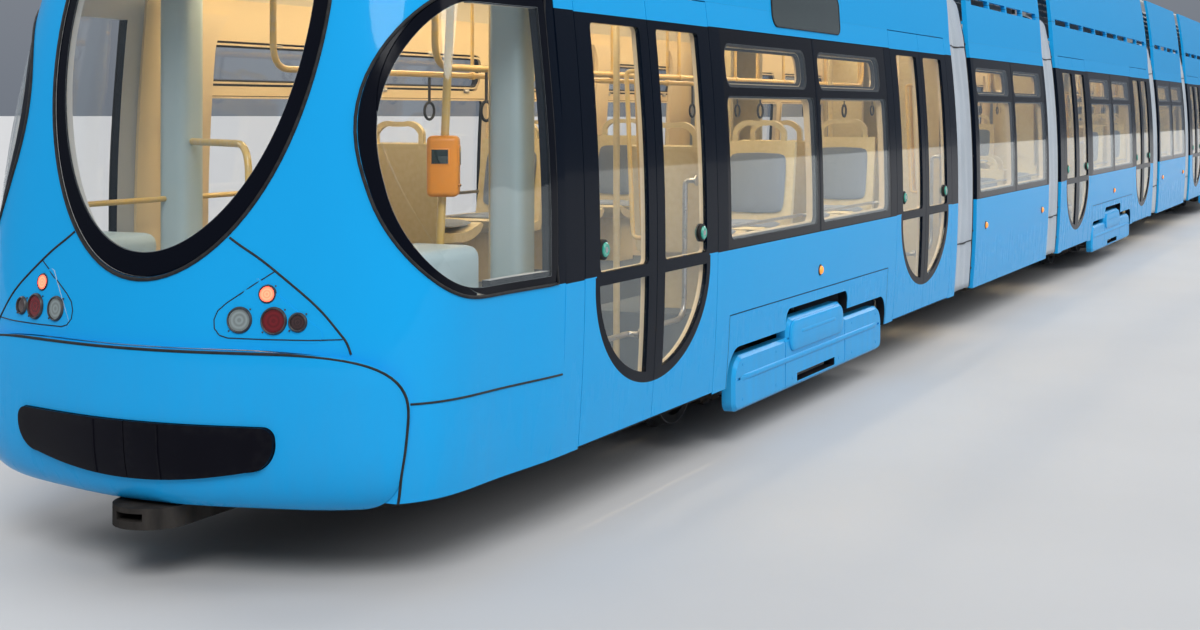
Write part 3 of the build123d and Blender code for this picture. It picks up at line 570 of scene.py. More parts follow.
class EndWindows:
    """Masks of the end screen and the side lights, shared by shell and glass."""

    SCREEN_WIDE = 0.630
    SCREEN_Z = 2.150
    SCREEN_LOW = 1.000
    SCREEN_HIGH = 0.800
    LIGHT_U = 0.590
    LIGHT_Z = 1.520
    LIGHT_REACH = 0.450
    LIGHT_ABOVE = 0.715
    LIGHT_BELOW = 0.455
    LIGHT_FULL = 2.6
    LIGHT_START = 0.070
    SCREEN_PRINT = 0.912
    LIGHT_PRINT = 0.935
    POST = 0.125
    SEAT = 1.006

    @classmethod
    def screen(cls, g: Graph, y: Value, z: Value) -> Socket:
        """Scaled distance from the end screen's middle.

        Args:
            g: The graph.
            y: Object Y.
            z: Object Z.

        Returns:
            1 on the screen's outline.
        """
        rise = g.sub(z, cls.SCREEN_Z)
        high = g.lerp(g.step(rise, 0.0, 0.001), cls.SCREEN_LOW, cls.SCREEN_HIGH)
        return oval_value(g, y, rise, cls.SCREEN_WIDE, high)

    @classmethod
    def light(cls, g: Graph, x: Value, z: Value) -> Socket:
        """Scaled distance from a side light's middle.

        Args:
            g: The graph.
            x: Object X.
            z: Object Z.

        Returns:
            1 on the light's outline.
        """
        u = g.sub(g.abs(x), JOINT_X)
        past = g.div(g.most(g.sub(u, cls.LIGHT_U), 0.0), cls.LIGHT_REACH)
        rise = g.sub(z, cls.LIGHT_Z)
        above = g.step(rise, 0.0, 0.0005)
        high = g.div(g.abs(rise), g.lerp(above, cls.LIGHT_BELOW, cls.LIGHT_ABOVE))
        power = g.lerp(above, cls.LIGHT_FULL, 2.0)
        total = g.add(g.math("POWER", past, power), g.math("POWER", high, power))
        rounded = g.math("POWER", total, g.div(1.0, power))
        near = g.flip(g.step(u, cls.LIGHT_START, 0.001))
        return g.most(rounded, g.mul(near, 2.0))

    @classmethod
    def light_edge(cls, angle: float, grow: float = 0.0) -> Pair:
        """Point on a side light's rounded outline.

        Args:
            angle: Angle from its outer end, in radians.
            grow: How far outside the outline it lies.

        Returns:
            (distance outward from the joint, height).
        """
        c, s = math.cos(angle), math.sin(angle)
        high, power = (cls.LIGHT_ABOVE, 2.0) if s > 0 else (cls.LIGHT_BELOW, cls.LIGHT_FULL)
        reach = (cls.LIGHT_REACH + grow) * abs(c) ** (2 / power)
        return cls.LIGHT_U + reach, cls.LIGHT_Z + math.copysign((high + grow) * abs(s) ** (2 / power), s)


def at_side(g: Graph, y: Value) -> Socket:
    """Tells an end's side lights from its screen."""
    return g.step(g.abs(y), 0.70, 0.001)


@dataclass(frozen=True)
class BodyPaint:
    """Sprayed body paint with regions in other colours and film near the skirt.

    Args:
        name: Material name.
        colour: Main colour.
        regions: Areas painted over it, in order.
        coat: Clear coat weight.
        roughness: Roughness of the paint.
        film: How much road film it has.
    """

    name: str
    colour: Colour = BLUE
    regions: tuple[Region, ...] = ()
    coat: float = 0.24
    roughness: float = 0.26
    film: float = 0.15

    def build(self) -> bpy.types.Material:
        """Makes the material.

        Returns:
            The material.
        """
        material, g, shader = open_material(self.name)
        vector, x, y, z = g.coords()
        cloud = g.noise(vector, 0.7, 3.0)
        colour = g.mix(
            g.step(cloud, 0.55, 0.5), self.colour,
            tuple(0.9 * a + 0.1 * b for a, b in zip(self.colour, BLUE_FADED))
        )
        rough: Value = self.roughness
        coat: Value = self.coat
        metal: Value = 0.0
        for region in self.regions:
            mask = region.mask(g, x, y, z)
            colour = g.mix(mask, colour, region.colour)
            rough = g.lerp(mask, rough, region.roughness)
            coat = g.lerp(mask, coat, region.coat)
            if region.metallic:
                metal = g.lerp(mask, metal, region.metallic)
        film = g.group(GROUPS.dust, Colour=colour, Amount=self.film, Roughness=rough)
        looks = {
            "Base Color": film.outputs["Colour"],
            "Roughness": film.outputs["Roughness"],
            "Normal": g.group(GROUPS.peel, Strength=0.16).outputs["Normal"],
            "Coat Weight": coat,
            "Coat Roughness": 0.06,
            "Metallic": metal,
            "Specular IOR Level": 0.02,
        }
        g.feed(shader, looks)
        return material


@dataclass(frozen=True)
class Glass:
    """Clear pane that mirrors more at a shallow angle, with a black printed border where its mask says.

    Args:
        name: Material name.
        border: Builds the border mask.
        mirror: Colour of what it mirrors.
        clear: How much it mirrors from straight ahead.
    """

    name: str
    border: Mask
    mirror: Colour = (0.78, 0.86, 0.88)
    clear: float = 0.035

    def build(self) -> bpy.types.Material:
        """Makes the material.

        Returns:
            The material.
        """
        material, g, shader = open_material(self.name)
        vector, x, y, z = g.coords()
        smear = g.noise(vector, 3.0, 5.0)
        facing = g.node("ShaderNodeLayerWeight")
        facing.inputs["Blend"].default_value = 0.5
        shallow = g.math("POWER", facing.outputs["Facing"], 5.0)
        alpha = g.clamp(g.scaled(shallow, 0.85, g.scaled(smear, 0.03, self.clear)))
        mask = self.border(g, x, y, z)
        looks = {
            "Base Color": g.mix(mask, self.mirror, (0.003, 0.004, 0.008)),
            "Alpha": g.lerp(mask, alpha, 1.0),
            "Roughness": g.lerp(mask, 0.03, 0.12),
            "Metallic": g.flip(mask),
            "Specular IOR Level": 0.08,
        }
        g.feed(shader, looks)
        return material


@dataclass(frozen=True)
class Plain:
    """General solid finish: grain in its colour, roughness and bump, with rubbed edges.

    Args:
        name: Material name.
        colour: Main colour.
        second: Colour that it varies towards.
        worn: Colour of rubbed edges.
        roughness: Roughness.
        metallic: Metal weight.
        grain: Scale of the grain.
        relief: Bump distance in metres.
        wear: How much edges are rubbed.
        sheen: Sheen weight.
        coat: Clear coat weight.
        specular: Specular level.
    """

    name: str
    colour: Colour
    second: Colour
    worn: Colour
    roughness: float = 0.5
    metallic: float = 0.0
    grain: float = 60.0
    relief: float = 0.0006
    wear: float = 0.3
    sheen: float = 0.0
    coat: float = 0.0
    specular: float = 0.5

    def build(self) -> bpy.types.Material:
        """Makes the material.

        Returns:
            The material.
        """
        material, g, shader = open_material(self.name)
        vector, *_ = g.coords()
        broad = g.noise(vector, 3.0, 4.0)
        fine = g.noise(vector, self.grain, 3.0)
        colour = g.mix(g.step(broad, 0.52, 0.5), self.colour, self.second)
        worn = g.group(GROUPS.wear, Colour=colour, Worn=self.worn, Amount=self.wear)
        looks = {
            "Base Color": worn.outputs["Colour"],
            "Roughness": g.clamp(g.scaled(g.sub(fine, 0.5), 0.22, self.roughness)),
            "Normal": g.bump(fine, self.relief, 0.5),
            "Metallic": self.metallic,
            "Sheen Weight": self.sheen,
            "Coat Weight": self.coat,
            "Specular IOR Level": self.specular,
        }
        g.feed(shader, looks)
        return material


@dataclass(frozen=True)
class Weave:
    """Woven or knitted cloth from crossed waves.

    Args:
        name: Material name.
        colour: Thread colour.
        second: Colour between the threads.
        pitch: Threads per metre.
        sheen: Sheen weight.
    """

    name: str
    colour: Colour
    second: Colour
    pitch: float = 420.0
    sheen: float = 0.35

    def build(self) -> bpy.types.Material:
        """Makes the material.

        Returns:
            The material.
        """
        material, g, shader = open_material(self.name)
        vector, x, y, z = g.coords()
        run = self.pitch * math.pi
        first = g.math("SINE", g.mul(g.add(x, y), run))
        second = g.math("SINE", g.mul(g.add(z, g.mul(x, 0.3)), run))
        cloth = g.mul(first, second)
        soil = g.noise(vector, 2.4, 6.0)
        colour = g.mix(g.clamp(g.scaled(cloth, 0.25, 0.45)), self.colour, self.second)
        colour = g.mix(g.mul(g.step(soil, 0.58, 0.3), 0.35), colour, tuple(0.55 * c for c in self.colour))
        looks = {
            "Base Color": colour,
            "Roughness": 0.85,
            "Normal": g.bump(cloth, 0.0008, 0.4),
            "Sheen Weight": self.sheen,
        }
        g.feed(shader, looks)
        return material


@dataclass(frozen=True)
class Glow:
    """Lit lens or lamp panel with ribs in its relief.

    Args:
        name: Material name.
        colour: Lens colour.
        strength: Emission strength.
        ribs: Ribs per metre.
    """

    name: str
    colour: Colour
    strength: float
    ribs: float = 180.0

    def build(self) -> bpy.types.Material:
        """Makes the material.

        Returns:
            The material.
        """
        material, g, shader = open_material(self.name)
        _, _, y, z = g.coords()
        wave = g.math("SINE", g.mul(g.add(y, z), self.ribs * 2 * math.pi))
        darker = tuple(0.6 * c for c in self.colour)
        looks = {
            "Base Color": g.mix(g.clamp(g.scaled(wave, 0.3, 0.3)), self.colour, darker),
            "Roughness": 0.18,
            "Normal": g.bump(wave, 0.001, 0.35),
            "Coat Weight": 0.5,
            "Emission Color": self.colour,
            "Emission Strength": self.strength,
        }
        g.feed(shader, looks)
        return material


def band_mask(low_x: float, high_x: float) -> Mask:
    """Black window band of a section's walls.

    Args:
        low_x: Where it starts.
        high_x: Where it ends.

    Returns:
        The mask builder.
    """

    def build(g: Graph, x: Value, y: Value, z: Value) -> Socket:
        across = g.between(z, BAND_LOW - 0.004, BAND_HIGH + 0.004, 0.001)
        return g.mul(across, g.between(x, low_x, high_x, 0.001))

    return build


def inside_mask(g: Graph, x: Value, y: Value, z: Value) -> Socket:
    """Inner face of a side wall."""
    return g.step(skin_depth(g, y, z), 0.045, 0.004)


def end_border(g: Graph, x: Value, y: Value, z: Value) -> Socket:
    """Black border of an end's glass.

    Args:
        g: The graph.
        x: Object X.
        y: Object Y.
        z: Object Z.

    Returns:
        1 on the border.
    """
    screen = g.step(EndWindows.screen(g, y, z), EndWindows.SCREEN_PRINT, 0.004)
    light = g.step(EndWindows.light(g, x, z), EndWindows.LIGHT_PRINT, 0.004)
    u = g.sub(g.abs(x), JOINT_X)
    edge = g.flip(g.step(u, EndWindows.POST, 0.002))
    light = g.most(light, edge)
    mask = g.lerp(at_side(g, y), screen, light)
    return g.mul(mask, g.step(u, 0.0, 0.001))


def clear_field(g: Graph, x: Value, z: Value, low: Pair, high: Pair, radius: float) -> Socket:
    """Inside of a rounded rectangle on the side.

    Args:
        g: The graph.
        x: Object X.
        z: Object Z.
        low: Its lower (x, z) corner.
        high: Its upper (x, z) corner.
        radius: Corner radius.

    Returns:
        1 inside it.
    """
    past = []
    for value, a, b in zip((x, z), low, high):
        off = g.abs(g.sub(value, (a + b) / 2))
        past.append(g.most(g.sub(off, (b - a) / 2 - radius), 0.0))
    return g.flip(g.step(oval_value(g, past[0], past[1], radius, radius), 1.0, 0.03))


def pane_border(section: Section) -> Mask:
    """Black print round the clear fields of a section's panes.

    Args:
        section: The section.

    Returns:
        The mask builder.
    """

    def build(g: Graph, x: Value, y: Value, z: Value) -> Socket:
        clear: Value = 0.0
        for low, high, radius in WindowFittings(section).clear_fields():
            clear = g.most(clear, clear_field(g, x, z, low, high, radius))
        for start in section.doors:
            leaf = g.mul(g.between(x, start + 0.02, start + DOOR - 0.02, 0.001), g.math("LESS_THAN", y, 0.0))
            clear = g.most(clear, leaf)
        side = g.flip(clear)
        if section.kind not in (Kind.FRONT, Kind.REAR):
            return side
        past = g.step(g.abs(x), JOINT_X, 0.001)
        return g.lerp(past, side, end_border(g, x, y, z))

    return build


def end_rebate(g: Graph, x: Value, y: Value, z: Value) -> Socket:
    """Seat of the glass in an end's shell, and the band that joins it to the doorway.

    Args:
        g: The graph.
        x: Object X.
        y: Object Y.
        z: Object Z.

    Returns:
        1 on the seat and the band.
    """
    screen = g.flip(g.step(EndWindows.screen(g, y, z), EndWindows.SEAT, 0.002))
    light = g.flip(g.step(EndWindows.light(g, x, z), EndWindows.SEAT, 0.002))
    u = g.sub(g.abs(x), JOINT_X)
    strip = g.mul(g.flip(g.step(u, 0.3, 0.002)), g.between(z, BAND_LOW, BAND_HIGH + 0.05, 0.002))
    return g.lerp(at_side(g, y), screen, g.most(light, strip))


def end_inside(g: Graph, x: Value, y: Value, z: Value) -> Socket:
    """Inner faces of an end's shell, which look towards its middle.

    Args:
        g: The graph.
        x: Object X.
        y: Object Y.
        z: Object Z.

    Returns:
        1 on the inner faces.
    """
    nx, ny, nz = g.split(g.node("ShaderNodeTexCoord").outputs["Normal"])
    toward = g.sub(g.abs(x), JOINT_X)
    along = g.mul(g.mul(nx, g.math("SIGN", x)), toward)
    across = g.mul(ny, y)
    rise = g.mul(nz, g.sub(z, 1.7))
    total = g.add(g.add(along, across), g.mul(rise, 0.25))
    return g.flip(g.step(total, -0.02, 0.02))


class DoorPrint:
    """Sizes of the black areas of a doorway."""

    BAR = (0.98, 1.10)
    BAR_HALF = 0.660
    LEAVES_HALF = 0.800
    OVAL_Z = 1.010
    OVAL_WIDE = 0.672
    OVAL_HIGH = 0.494
    OVAL_TOP = 1.05


def door_border(g: Graph, x: Value, y: Value, z: Value) -> Socket:
    """Black of every door leaf: right across in the window band, and a seal round the lower lights.

    Args:
        g: The graph.
        x: Object X.
        y: Object Y; not used.
        z: Object Z.

    Returns:
        1 on the seal and the middle posts.
    """
    total: Value = 0.0
    for section in SECTIONS:
        for start in section.doors:
            u = g.sub(x, start + DOOR / 2)
            across = g.abs(u)
            wide = g.flip(g.step(across, DoorPrint.BAR_HALF, 0.002))
            leaf = g.flip(g.step(across, DoorPrint.LEAVES_HALF, 0.002))
            band = g.mul(leaf, g.between(z, BAND_LOW, BAND_HIGH, 0.002))
            upper = g.most(band, g.mul(wide, g.between(z, *DoorPrint.BAR, 0.002)))
            under = g.least(g.sub(z, DoorPrint.OVAL_Z), 0.0)
            oval = oval_value(g, u, under, DoorPrint.OVAL_WIDE, DoorPrint.OVAL_HIGH)
            lower = g.flip(g.step(oval, 1.0, 0.004))
            below = g.flip(g.step(z, DoorPrint.OVAL_TOP, 0.002))
            total = g.most(g.most(upper, g.mul(lower, below)), total)
    return total


def seam(level: float, wide: float = 0.005) -> Mask:
    """Level joint between body panels.

    Args:
        level: Its height.
        wide: Its width.

    Returns:
        The mask builder.
    """

    def build(g: Graph, x: Value, y: Value, z: Value) -> Socket:
        return g.mul(g.between(z, level - wide / 2, level + wide / 2, 0.001), 0.85)

    return build


def from_bogie(g: Graph, x: Value) -> Socket:
    """Distance along the tram from the middle of the nearest bogie."""
    far = g.abs(x)
    return g.least(far, g.abs(g.sub(far, BOGIE_X)))


class BogiePrint:
    """Sizes of the areas round a bogie, measured from its middle."""

    PANEL_HALF = 1.492
    PANEL_TOP = 0.715
    JOINT = 0.006
    SLOT_HALF = 0.3625
    SLOT = (0.213, 0.264)
    SLOT_Y = 1.118
    REVEAL_HALF = 1.750
    REVEAL_TOP = 0.690


def bogie_panel(g: Graph, x: Value, y: Value, z: Value) -> Socket:
    """Joint of the removable panel over each bogie's side opening.

    Args:
        g: The graph.
        x: Object X.
        y: Object Y; not used.
        z: Object Z.

    Returns:
        1 on the joint.
    """
    off = g.abs(from_bogie(g, x))
    half, high, joint = BogiePrint.PANEL_HALF, BogiePrint.PANEL_TOP, BogiePrint.JOINT
    inside = g.flip(g.step(off, half, 0.001))
    top = g.mul(inside, g.between(z, high - joint, high, 0.001))
    ends = g.mul(g.between(off, half - joint, half, 0.001), g.math("LESS_THAN", z, high - joint / 2))
    return g.most(top, ends)


def cover_slot_shade(g: Graph, x: Value, y: Value, z: Value) -> Socket:
    """Walls of the slot near the lower edge of every bogie cover, painted black as painted shade inside the
    slot.

    Args:
        g: The graph.
        x: Object X.
        y: Object Y.
        z: Object Z.

    Returns:
        1 on the walls.
    """
    off = from_bogie(g, x)
    inside = g.mul(g.math("LESS_THAN", off, BogiePrint.SLOT_HALF), g.between(z, *BogiePrint.SLOT, 0.001))
    return g.mul(inside, g.math("LESS_THAN", g.abs(y), BogiePrint.SLOT_Y))


def opening_reveal_shade(g: Graph, x: Value, y: Value, z: Value) -> Socket:
    """Cut edges and inner faces of the wall round each bogie's side opening, painted near black as painted
    shade of the gap round the cover.

    Args:
        g: The graph.
        x: Object X.
        y: Object Y.
        z: Object Z.

    Returns:
        1 on them.
    """
    off = from_bogie(g, x)
    near = g.mul(
        g.math("LESS_THAN", off, BogiePrint.REVEAL_HALF), g.math("LESS_THAN", z, BogiePrint.REVEAL_TOP)
    )
    return g.mul(near, g.step(skin_depth(g, y, z), 0.004, 0.002))


# Edges of the areas on the floors, the roofs and the wheels
UNDER_FLOOR_Z = 0.345
FAIRING_Y = 0.936
ROOF_DECK_Z = 2.478
CEILING_HALF = 1.030
CEILING_TOP = 2.462
TREAD_RADIUS = 0.293
TREAD_Y = 0.460


def under_floor_shade(g: Graph, x: Value, y: Value, z: Value) -> Socket:
    """Underside and couplings of the floors, painted near black as painted shade under the tram."""
    return g.flip(g.step(z, UNDER_FLOOR_Z, 0.004))


def roof_inside(g: Graph, x: Value, y: Value, z: Value) -> Socket:
    """Everything between the two roof fairings, above the deck."""
    return g.mul(g.flip(g.step(g.abs(y), FAIRING_Y, 0.004)), g.step(z, ROOF_DECK_Z, 0.004))


def roof_under(g: Graph, x: Value, y: Value, z: Value) -> Socket:
    """Ceiling of the saloon."""
    return g.mul(g.flip(g.step(g.abs(y), CEILING_HALF, 0.004)), g.flip(g.step(z, CEILING_TOP, 0.004)))


def tread_mask(g: Graph, x: Value, y: Value, z: Value) -> Socket:
    """Rolling surface of every wheel, polished by the rail.

    Args:
        g: The graph.
        x: Object X.
        y: Object Y.
        z: Object Z.

    Returns:
        1 on the treads.
    """
    along = g.sub(from_bogie(g, x), HALF_WHEELBASE)
    rise = g.sub(z, AXLE_Z)
    radius = g.math("SQRT", g.add(g.mul(along, along), g.mul(rise, rise)))
    return g.mul(g.step(radius, TREAD_RADIUS, 0.004), g.step(g.abs(y), TREAD_Y, 0.004))


@dataclass(frozen=True)
class LampLenses:
    """Lenses of one end's lamps, told apart by where they are.

    Args:
        name: Material name.
        places: (y, z, radius, colour, strength) of each lens.
    """

    name: str
    places: tuple[Lens, ...]

    def build(self) -> bpy.types.Material:
        """Makes the material.

        Returns:
            The material.
        """
        material, g, shader = open_material(self.name)
        _, _, y, z = g.coords()
        across = g.abs(y)
        colour: Value = (0.05, 0.05, 0.055)
        strength: Value = 0.0
        for place_y, place_z, radius, tone, power in self.places:
            r = oval_value(g, g.sub(across, place_y), g.sub(z, place_z), radius, radius)
            inside = g.flip(g.step(r, 1.08, 0.05))
            facets = g.math("SINE", g.mul(r, 16.0))
            tinted = g.mix(g.clamp(g.scaled(facets, 0.3, 0.3)), tone, tuple(0.45 * c for c in tone))
            colour = g.mix(inside, colour, tinted)
            strength = g.lerp(inside, strength, power)
        looks = {
            "Base Color": colour,
            "Emission Color": colour,
            "Emission Strength": strength,
            "Roughness": 0.12,
            "Coat Weight": 0.8,
        }
        g.feed(shader, looks)
        return material


DARK_RED: Colour = (0.16, 0.006, 0.010)
LENS_RED: Colour = (1.00, 0.075, 0.040)
LENS_CLEAR: Colour = (0.26, 0.31, 0.31)
LENS_SMOKE: Colour = (0.045, 0.022, 0.022)
LENS_AMBER: Colour = (0.85, 0.30, 0.02)
STEEL: Colour = (0.36, 0.36, 0.37)
IRON: Colour = (0.035, 0.034, 0.033)
TAIL_LAMPS = (
    (0.435, 1.003, 0.040, LENS_CLEAR, 0.0),
    (0.564, 1.003, 0.042, DARK_RED, 0.0),
    (0.654, 1.000, 0.027, LENS_SMOKE, 0.0),
    (0.532, 1.099, 0.026, LENS_RED, 7.0),
)
NOSE_LAMPS = (
    (0.435, 1.003, 0.040, (0.9, 0.9, 0.86), 0.6),
    (0.564, 1.003, 0.042, (0.9, 0.9, 0.86), 1.6),
    (0.654, 1.000, 0.027, LENS_AMBER, 0.3),
    (0.532, 1.099, 0.026, (0.9, 0.9, 0.86), 0.6),
)


class Finishes:
    """Every finish of the scene, made once and handed out by name."""

    def __init__(self) -> None:
        """Lists the finishes."""
        cream = Region(inside_mask, CREAM, 0.42)
        door_inside = Region(lambda g, x, y, z: g.step(skin_depth(g, y, z), 0.022, 0.003), CREAM, 0.42)
        trim = Region(seam(2.322), SEAM, 0.6)
        panel = Region(bogie_panel, SEAM, 0.6)
        # Painted shade: the reveals round each bogie opening are painted near black for the dark gap round
        # the cover.
        reveal = Region(opening_reveal_shade, (0.006, 0.007, 0.009), 0.7)
        band = {s.name: band_mask(s.x0 - 0.01, s.x1 + 0.01) for s in SECTIONS}
        listed = [
            *(
                BodyPaint(
                    f"wall_paint_{name}",
                    regions=(Region(mask, BLACK, 0.20, coat=0.10), trim, panel, cream, reveal)
                )
                for name, mask in band.items()
            ),
            *(Glass(f"glass_{section.name}", pane_border(section)) for section in SECTIONS),
            BodyPaint("door_paint", regions=(Region(door_border, BLACK, 0.20, coat=0.10), door_inside)),
            BodyPaint(
                "roof_paint",
                regions=(
                    Region(seam(2.660), SEAM, 0.6),
                    Region(roof_inside, (0.36, 0.37, 0.37), 0.5),
                    Region(roof_under, (0.72, 0.66, 0.52), 0.4),
                ),
            ),
            BodyPaint(
                "shell_paint",
                regions=(
                    Region(end_rebate, BLACK, 0.20, coat=0.10),
                    Region(end_inside, (0.52, 0.53, 0.52), 0.5),
                ),
            ),
            BodyPaint("bumper_paint"),
            # Painted shade: the walls of the slot in each bogie cover are painted black.
            BodyPaint("cover_paint", regions=(Region(cover_slot_shade, BLACK, 0.6),), film=0.28),
            BodyPaint(
                "wheel_iron", IRON, (Region(tread_mask, STEEL, 0.28, metallic=0.9),), coat=0.0,
                roughness=0.72, film=0.8
            ),
            Plain(
                "pad_rubber", (0.002, 0.002, 0.005), (0.004, 0.004, 0.008), (0.03, 0.03, 0.03), 0.34,
                grain=90.0, relief=0.0003, wear=0.1, specular=0.08
            ),
            # Painted shade: the floors' underside and couplings are painted near black for the shade under
            # the tram.
            BodyPaint(
                "floor_covering", (0.100, 0.105, 0.115), (Region(under_floor_shade, (0.010, 0.010, 0.011), 0.7),),
                coat=0.0, roughness=0.55, film=0.5
            ),
            Plain(
                "seat_shell", (0.66, 0.55, 0.30), (0.60, 0.49, 0.26), (0.75, 0.66, 0.45), 0.38, grain=240.0,
                relief=0.0003
            ),
            Plain("cast_iron", IRON, (0.060, 0.050, 0.042), (0.16, 0.11, 0.08), 0.72, 0.3, 46.0, 0.0014, 0.6),
            Plain(
                "rubber", (0.012, 0.012, 0.013), (0.020, 0.020, 0.021), (0.05, 0.05, 0.05), 0.62,
                grain=120.0, relief=0.0005, specular=0.2
            ),
            Plain(
                "cab_plastic", (0.030, 0.032, 0.036), (0.045, 0.047, 0.050), (0.12, 0.12, 0.12), 0.48,
                grain=300.0, relief=0.0004
            ),
            Plain(
                "arm_red", (0.30, 0.030, 0.022), (0.36, 0.050, 0.034), (0.30, 0.28, 0.26), 0.42, grain=70.0,
                relief=0.0004, wear=0.6
            ),
            Plain("bare_steel", STEEL, (0.48, 0.48, 0.49), (0.7, 0.7, 0.7), 0.30, 0.95, 120.0, 0.0002, 0.2),
            Plain(
                "yellow_coat", (0.78, 0.52, 0.14), (0.70, 0.46, 0.12), (0.55, 0.50, 0.42), 0.30,
                grain=150.0, relief=0.0002, coat=0.3
            ),
            Weave("hood_fabric", (0.36, 0.42, 0.48), (0.27, 0.32, 0.38)),
            Weave("seat_cloth", (0.20, 0.24, 0.30), (0.10, 0.13, 0.19), 300.0),
            Plain(
                "cream_lining", CREAM, (0.68, 0.54, 0.34), (0.5, 0.42, 0.3), 0.42, grain=200.0,
                relief=0.0003, wear=0.15
            ),
            Plain(
                "column_grey", (0.38, 0.50, 0.52), (0.44, 0.55, 0.57), (0.3, 0.4, 0.45), 0.45, grain=200.0,
                relief=0.0003, wear=0.2
            ),
            Plain(
                "roof_grey", (0.34, 0.35, 0.35), (0.26, 0.26, 0.26), (0.5, 0.5, 0.5), 0.6, grain=60.0,
                relief=0.0006
            ),
            Plain(
                "orange_case", (0.92, 0.33, 0.02), (0.88, 0.28, 0.015), (0.5, 0.25, 0.1), 0.4, grain=200.0,
                relief=0.0003, wear=0.15
            ),
            Plain(
                "carbon", (0.018, 0.018, 0.020), (0.035, 0.035, 0.037), (0.12, 0.12, 0.12), 0.5, grain=90.0,
                relief=0.0004
            ),
            Plain(
                "button_green", (0.01, 0.28, 0.20), (0.02, 0.36, 0.27), (0.2, 0.5, 0.4), 0.25, grain=200.0,
                relief=0.0001, coat=0.6
            ),
            Plain(
                "display_glass", (0.008, 0.022, 0.020), (0.012, 0.030, 0.026), (0.03, 0.05, 0.05), 0.08,
                grain=20.0, relief=0.0001, wear=0.0, coat=0.8
            ),
            Glow("marker_amber", (0.95, 0.30, 0.03), 0.7, 110.0),
            Glow("warm_light", (1.0, 0.80, 0.50), 12.0, 60.0),
            LampLenses("tail_lenses", TAIL_LAMPS),
            LampLenses("nose_lenses", NOSE_LAMPS),
        ]
        self.recipes = {finish.name: finish for finish in listed}
        self.made: dict[str, bpy.types.Material] = {}

    def __getitem__(self, name: str) -> bpy.types.Material:
        """Builds a finish when it is first wanted.

        Args:
            name: Finish name.

        Returns:
            Its material.
        """
        if name not in self.made:
            self.made[name] = self.recipes[name].build()
        return self.made[name]


FINISHES = Finishes()


class CadDressing:
    """Gives every shown CAD node its finish."""

    ENDINGS = (
        ("_walls", "wall_paint_"),
        ("_roof", "roof_paint"),
        ("_doors", "door_paint"),
        ("_floor", "floor_covering"),
        ("_interior", "seat_shell"),
        ("_shell", "shell_paint"),
        ("_bumper", "bumper_paint"),
        ("_covers", "cover_paint"),
        ("_pad", "pad_rubber"),
        ("_frame", "cast_iron"),
        ("_wheels_1", "wheel_iron"),
        ("_wheels_2", "wheel_iron"),
        ("_fittings", "cab_plastic"),
        ("_arm", "arm_red"),
        ("_base", "arm_red"),
        ("_head", "bare_steel"),
        ("_glazing", "glass_"),
    )
    SPECIAL = {
        "nose_lamps": "nose_lenses",
        "tail_lamps": "tail_lenses",
    }

    def finish_of(self, node: str) -> str:
        """Finds the finish of a node.

        Args:
            node: CAD node name.

        Returns:
            The finish's name.
        """
        if node in self.SPECIAL:
            return self.SPECIAL[node]
        for ending, finish in self.ENDINGS:
            if node.endswith(ending):
                return finish + node.removesuffix(ending) if finish.endswith("_") else finish
        return "rubber"

    def build(self) -> int:
        """Assigns the finishes.

        Returns:
            How many nodes were dressed.
        """
        for name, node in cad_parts.items():
            node.data.materials.clear()
            node.data.materials.append(FINISHES[self.finish_of(name)])
        return len(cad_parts)


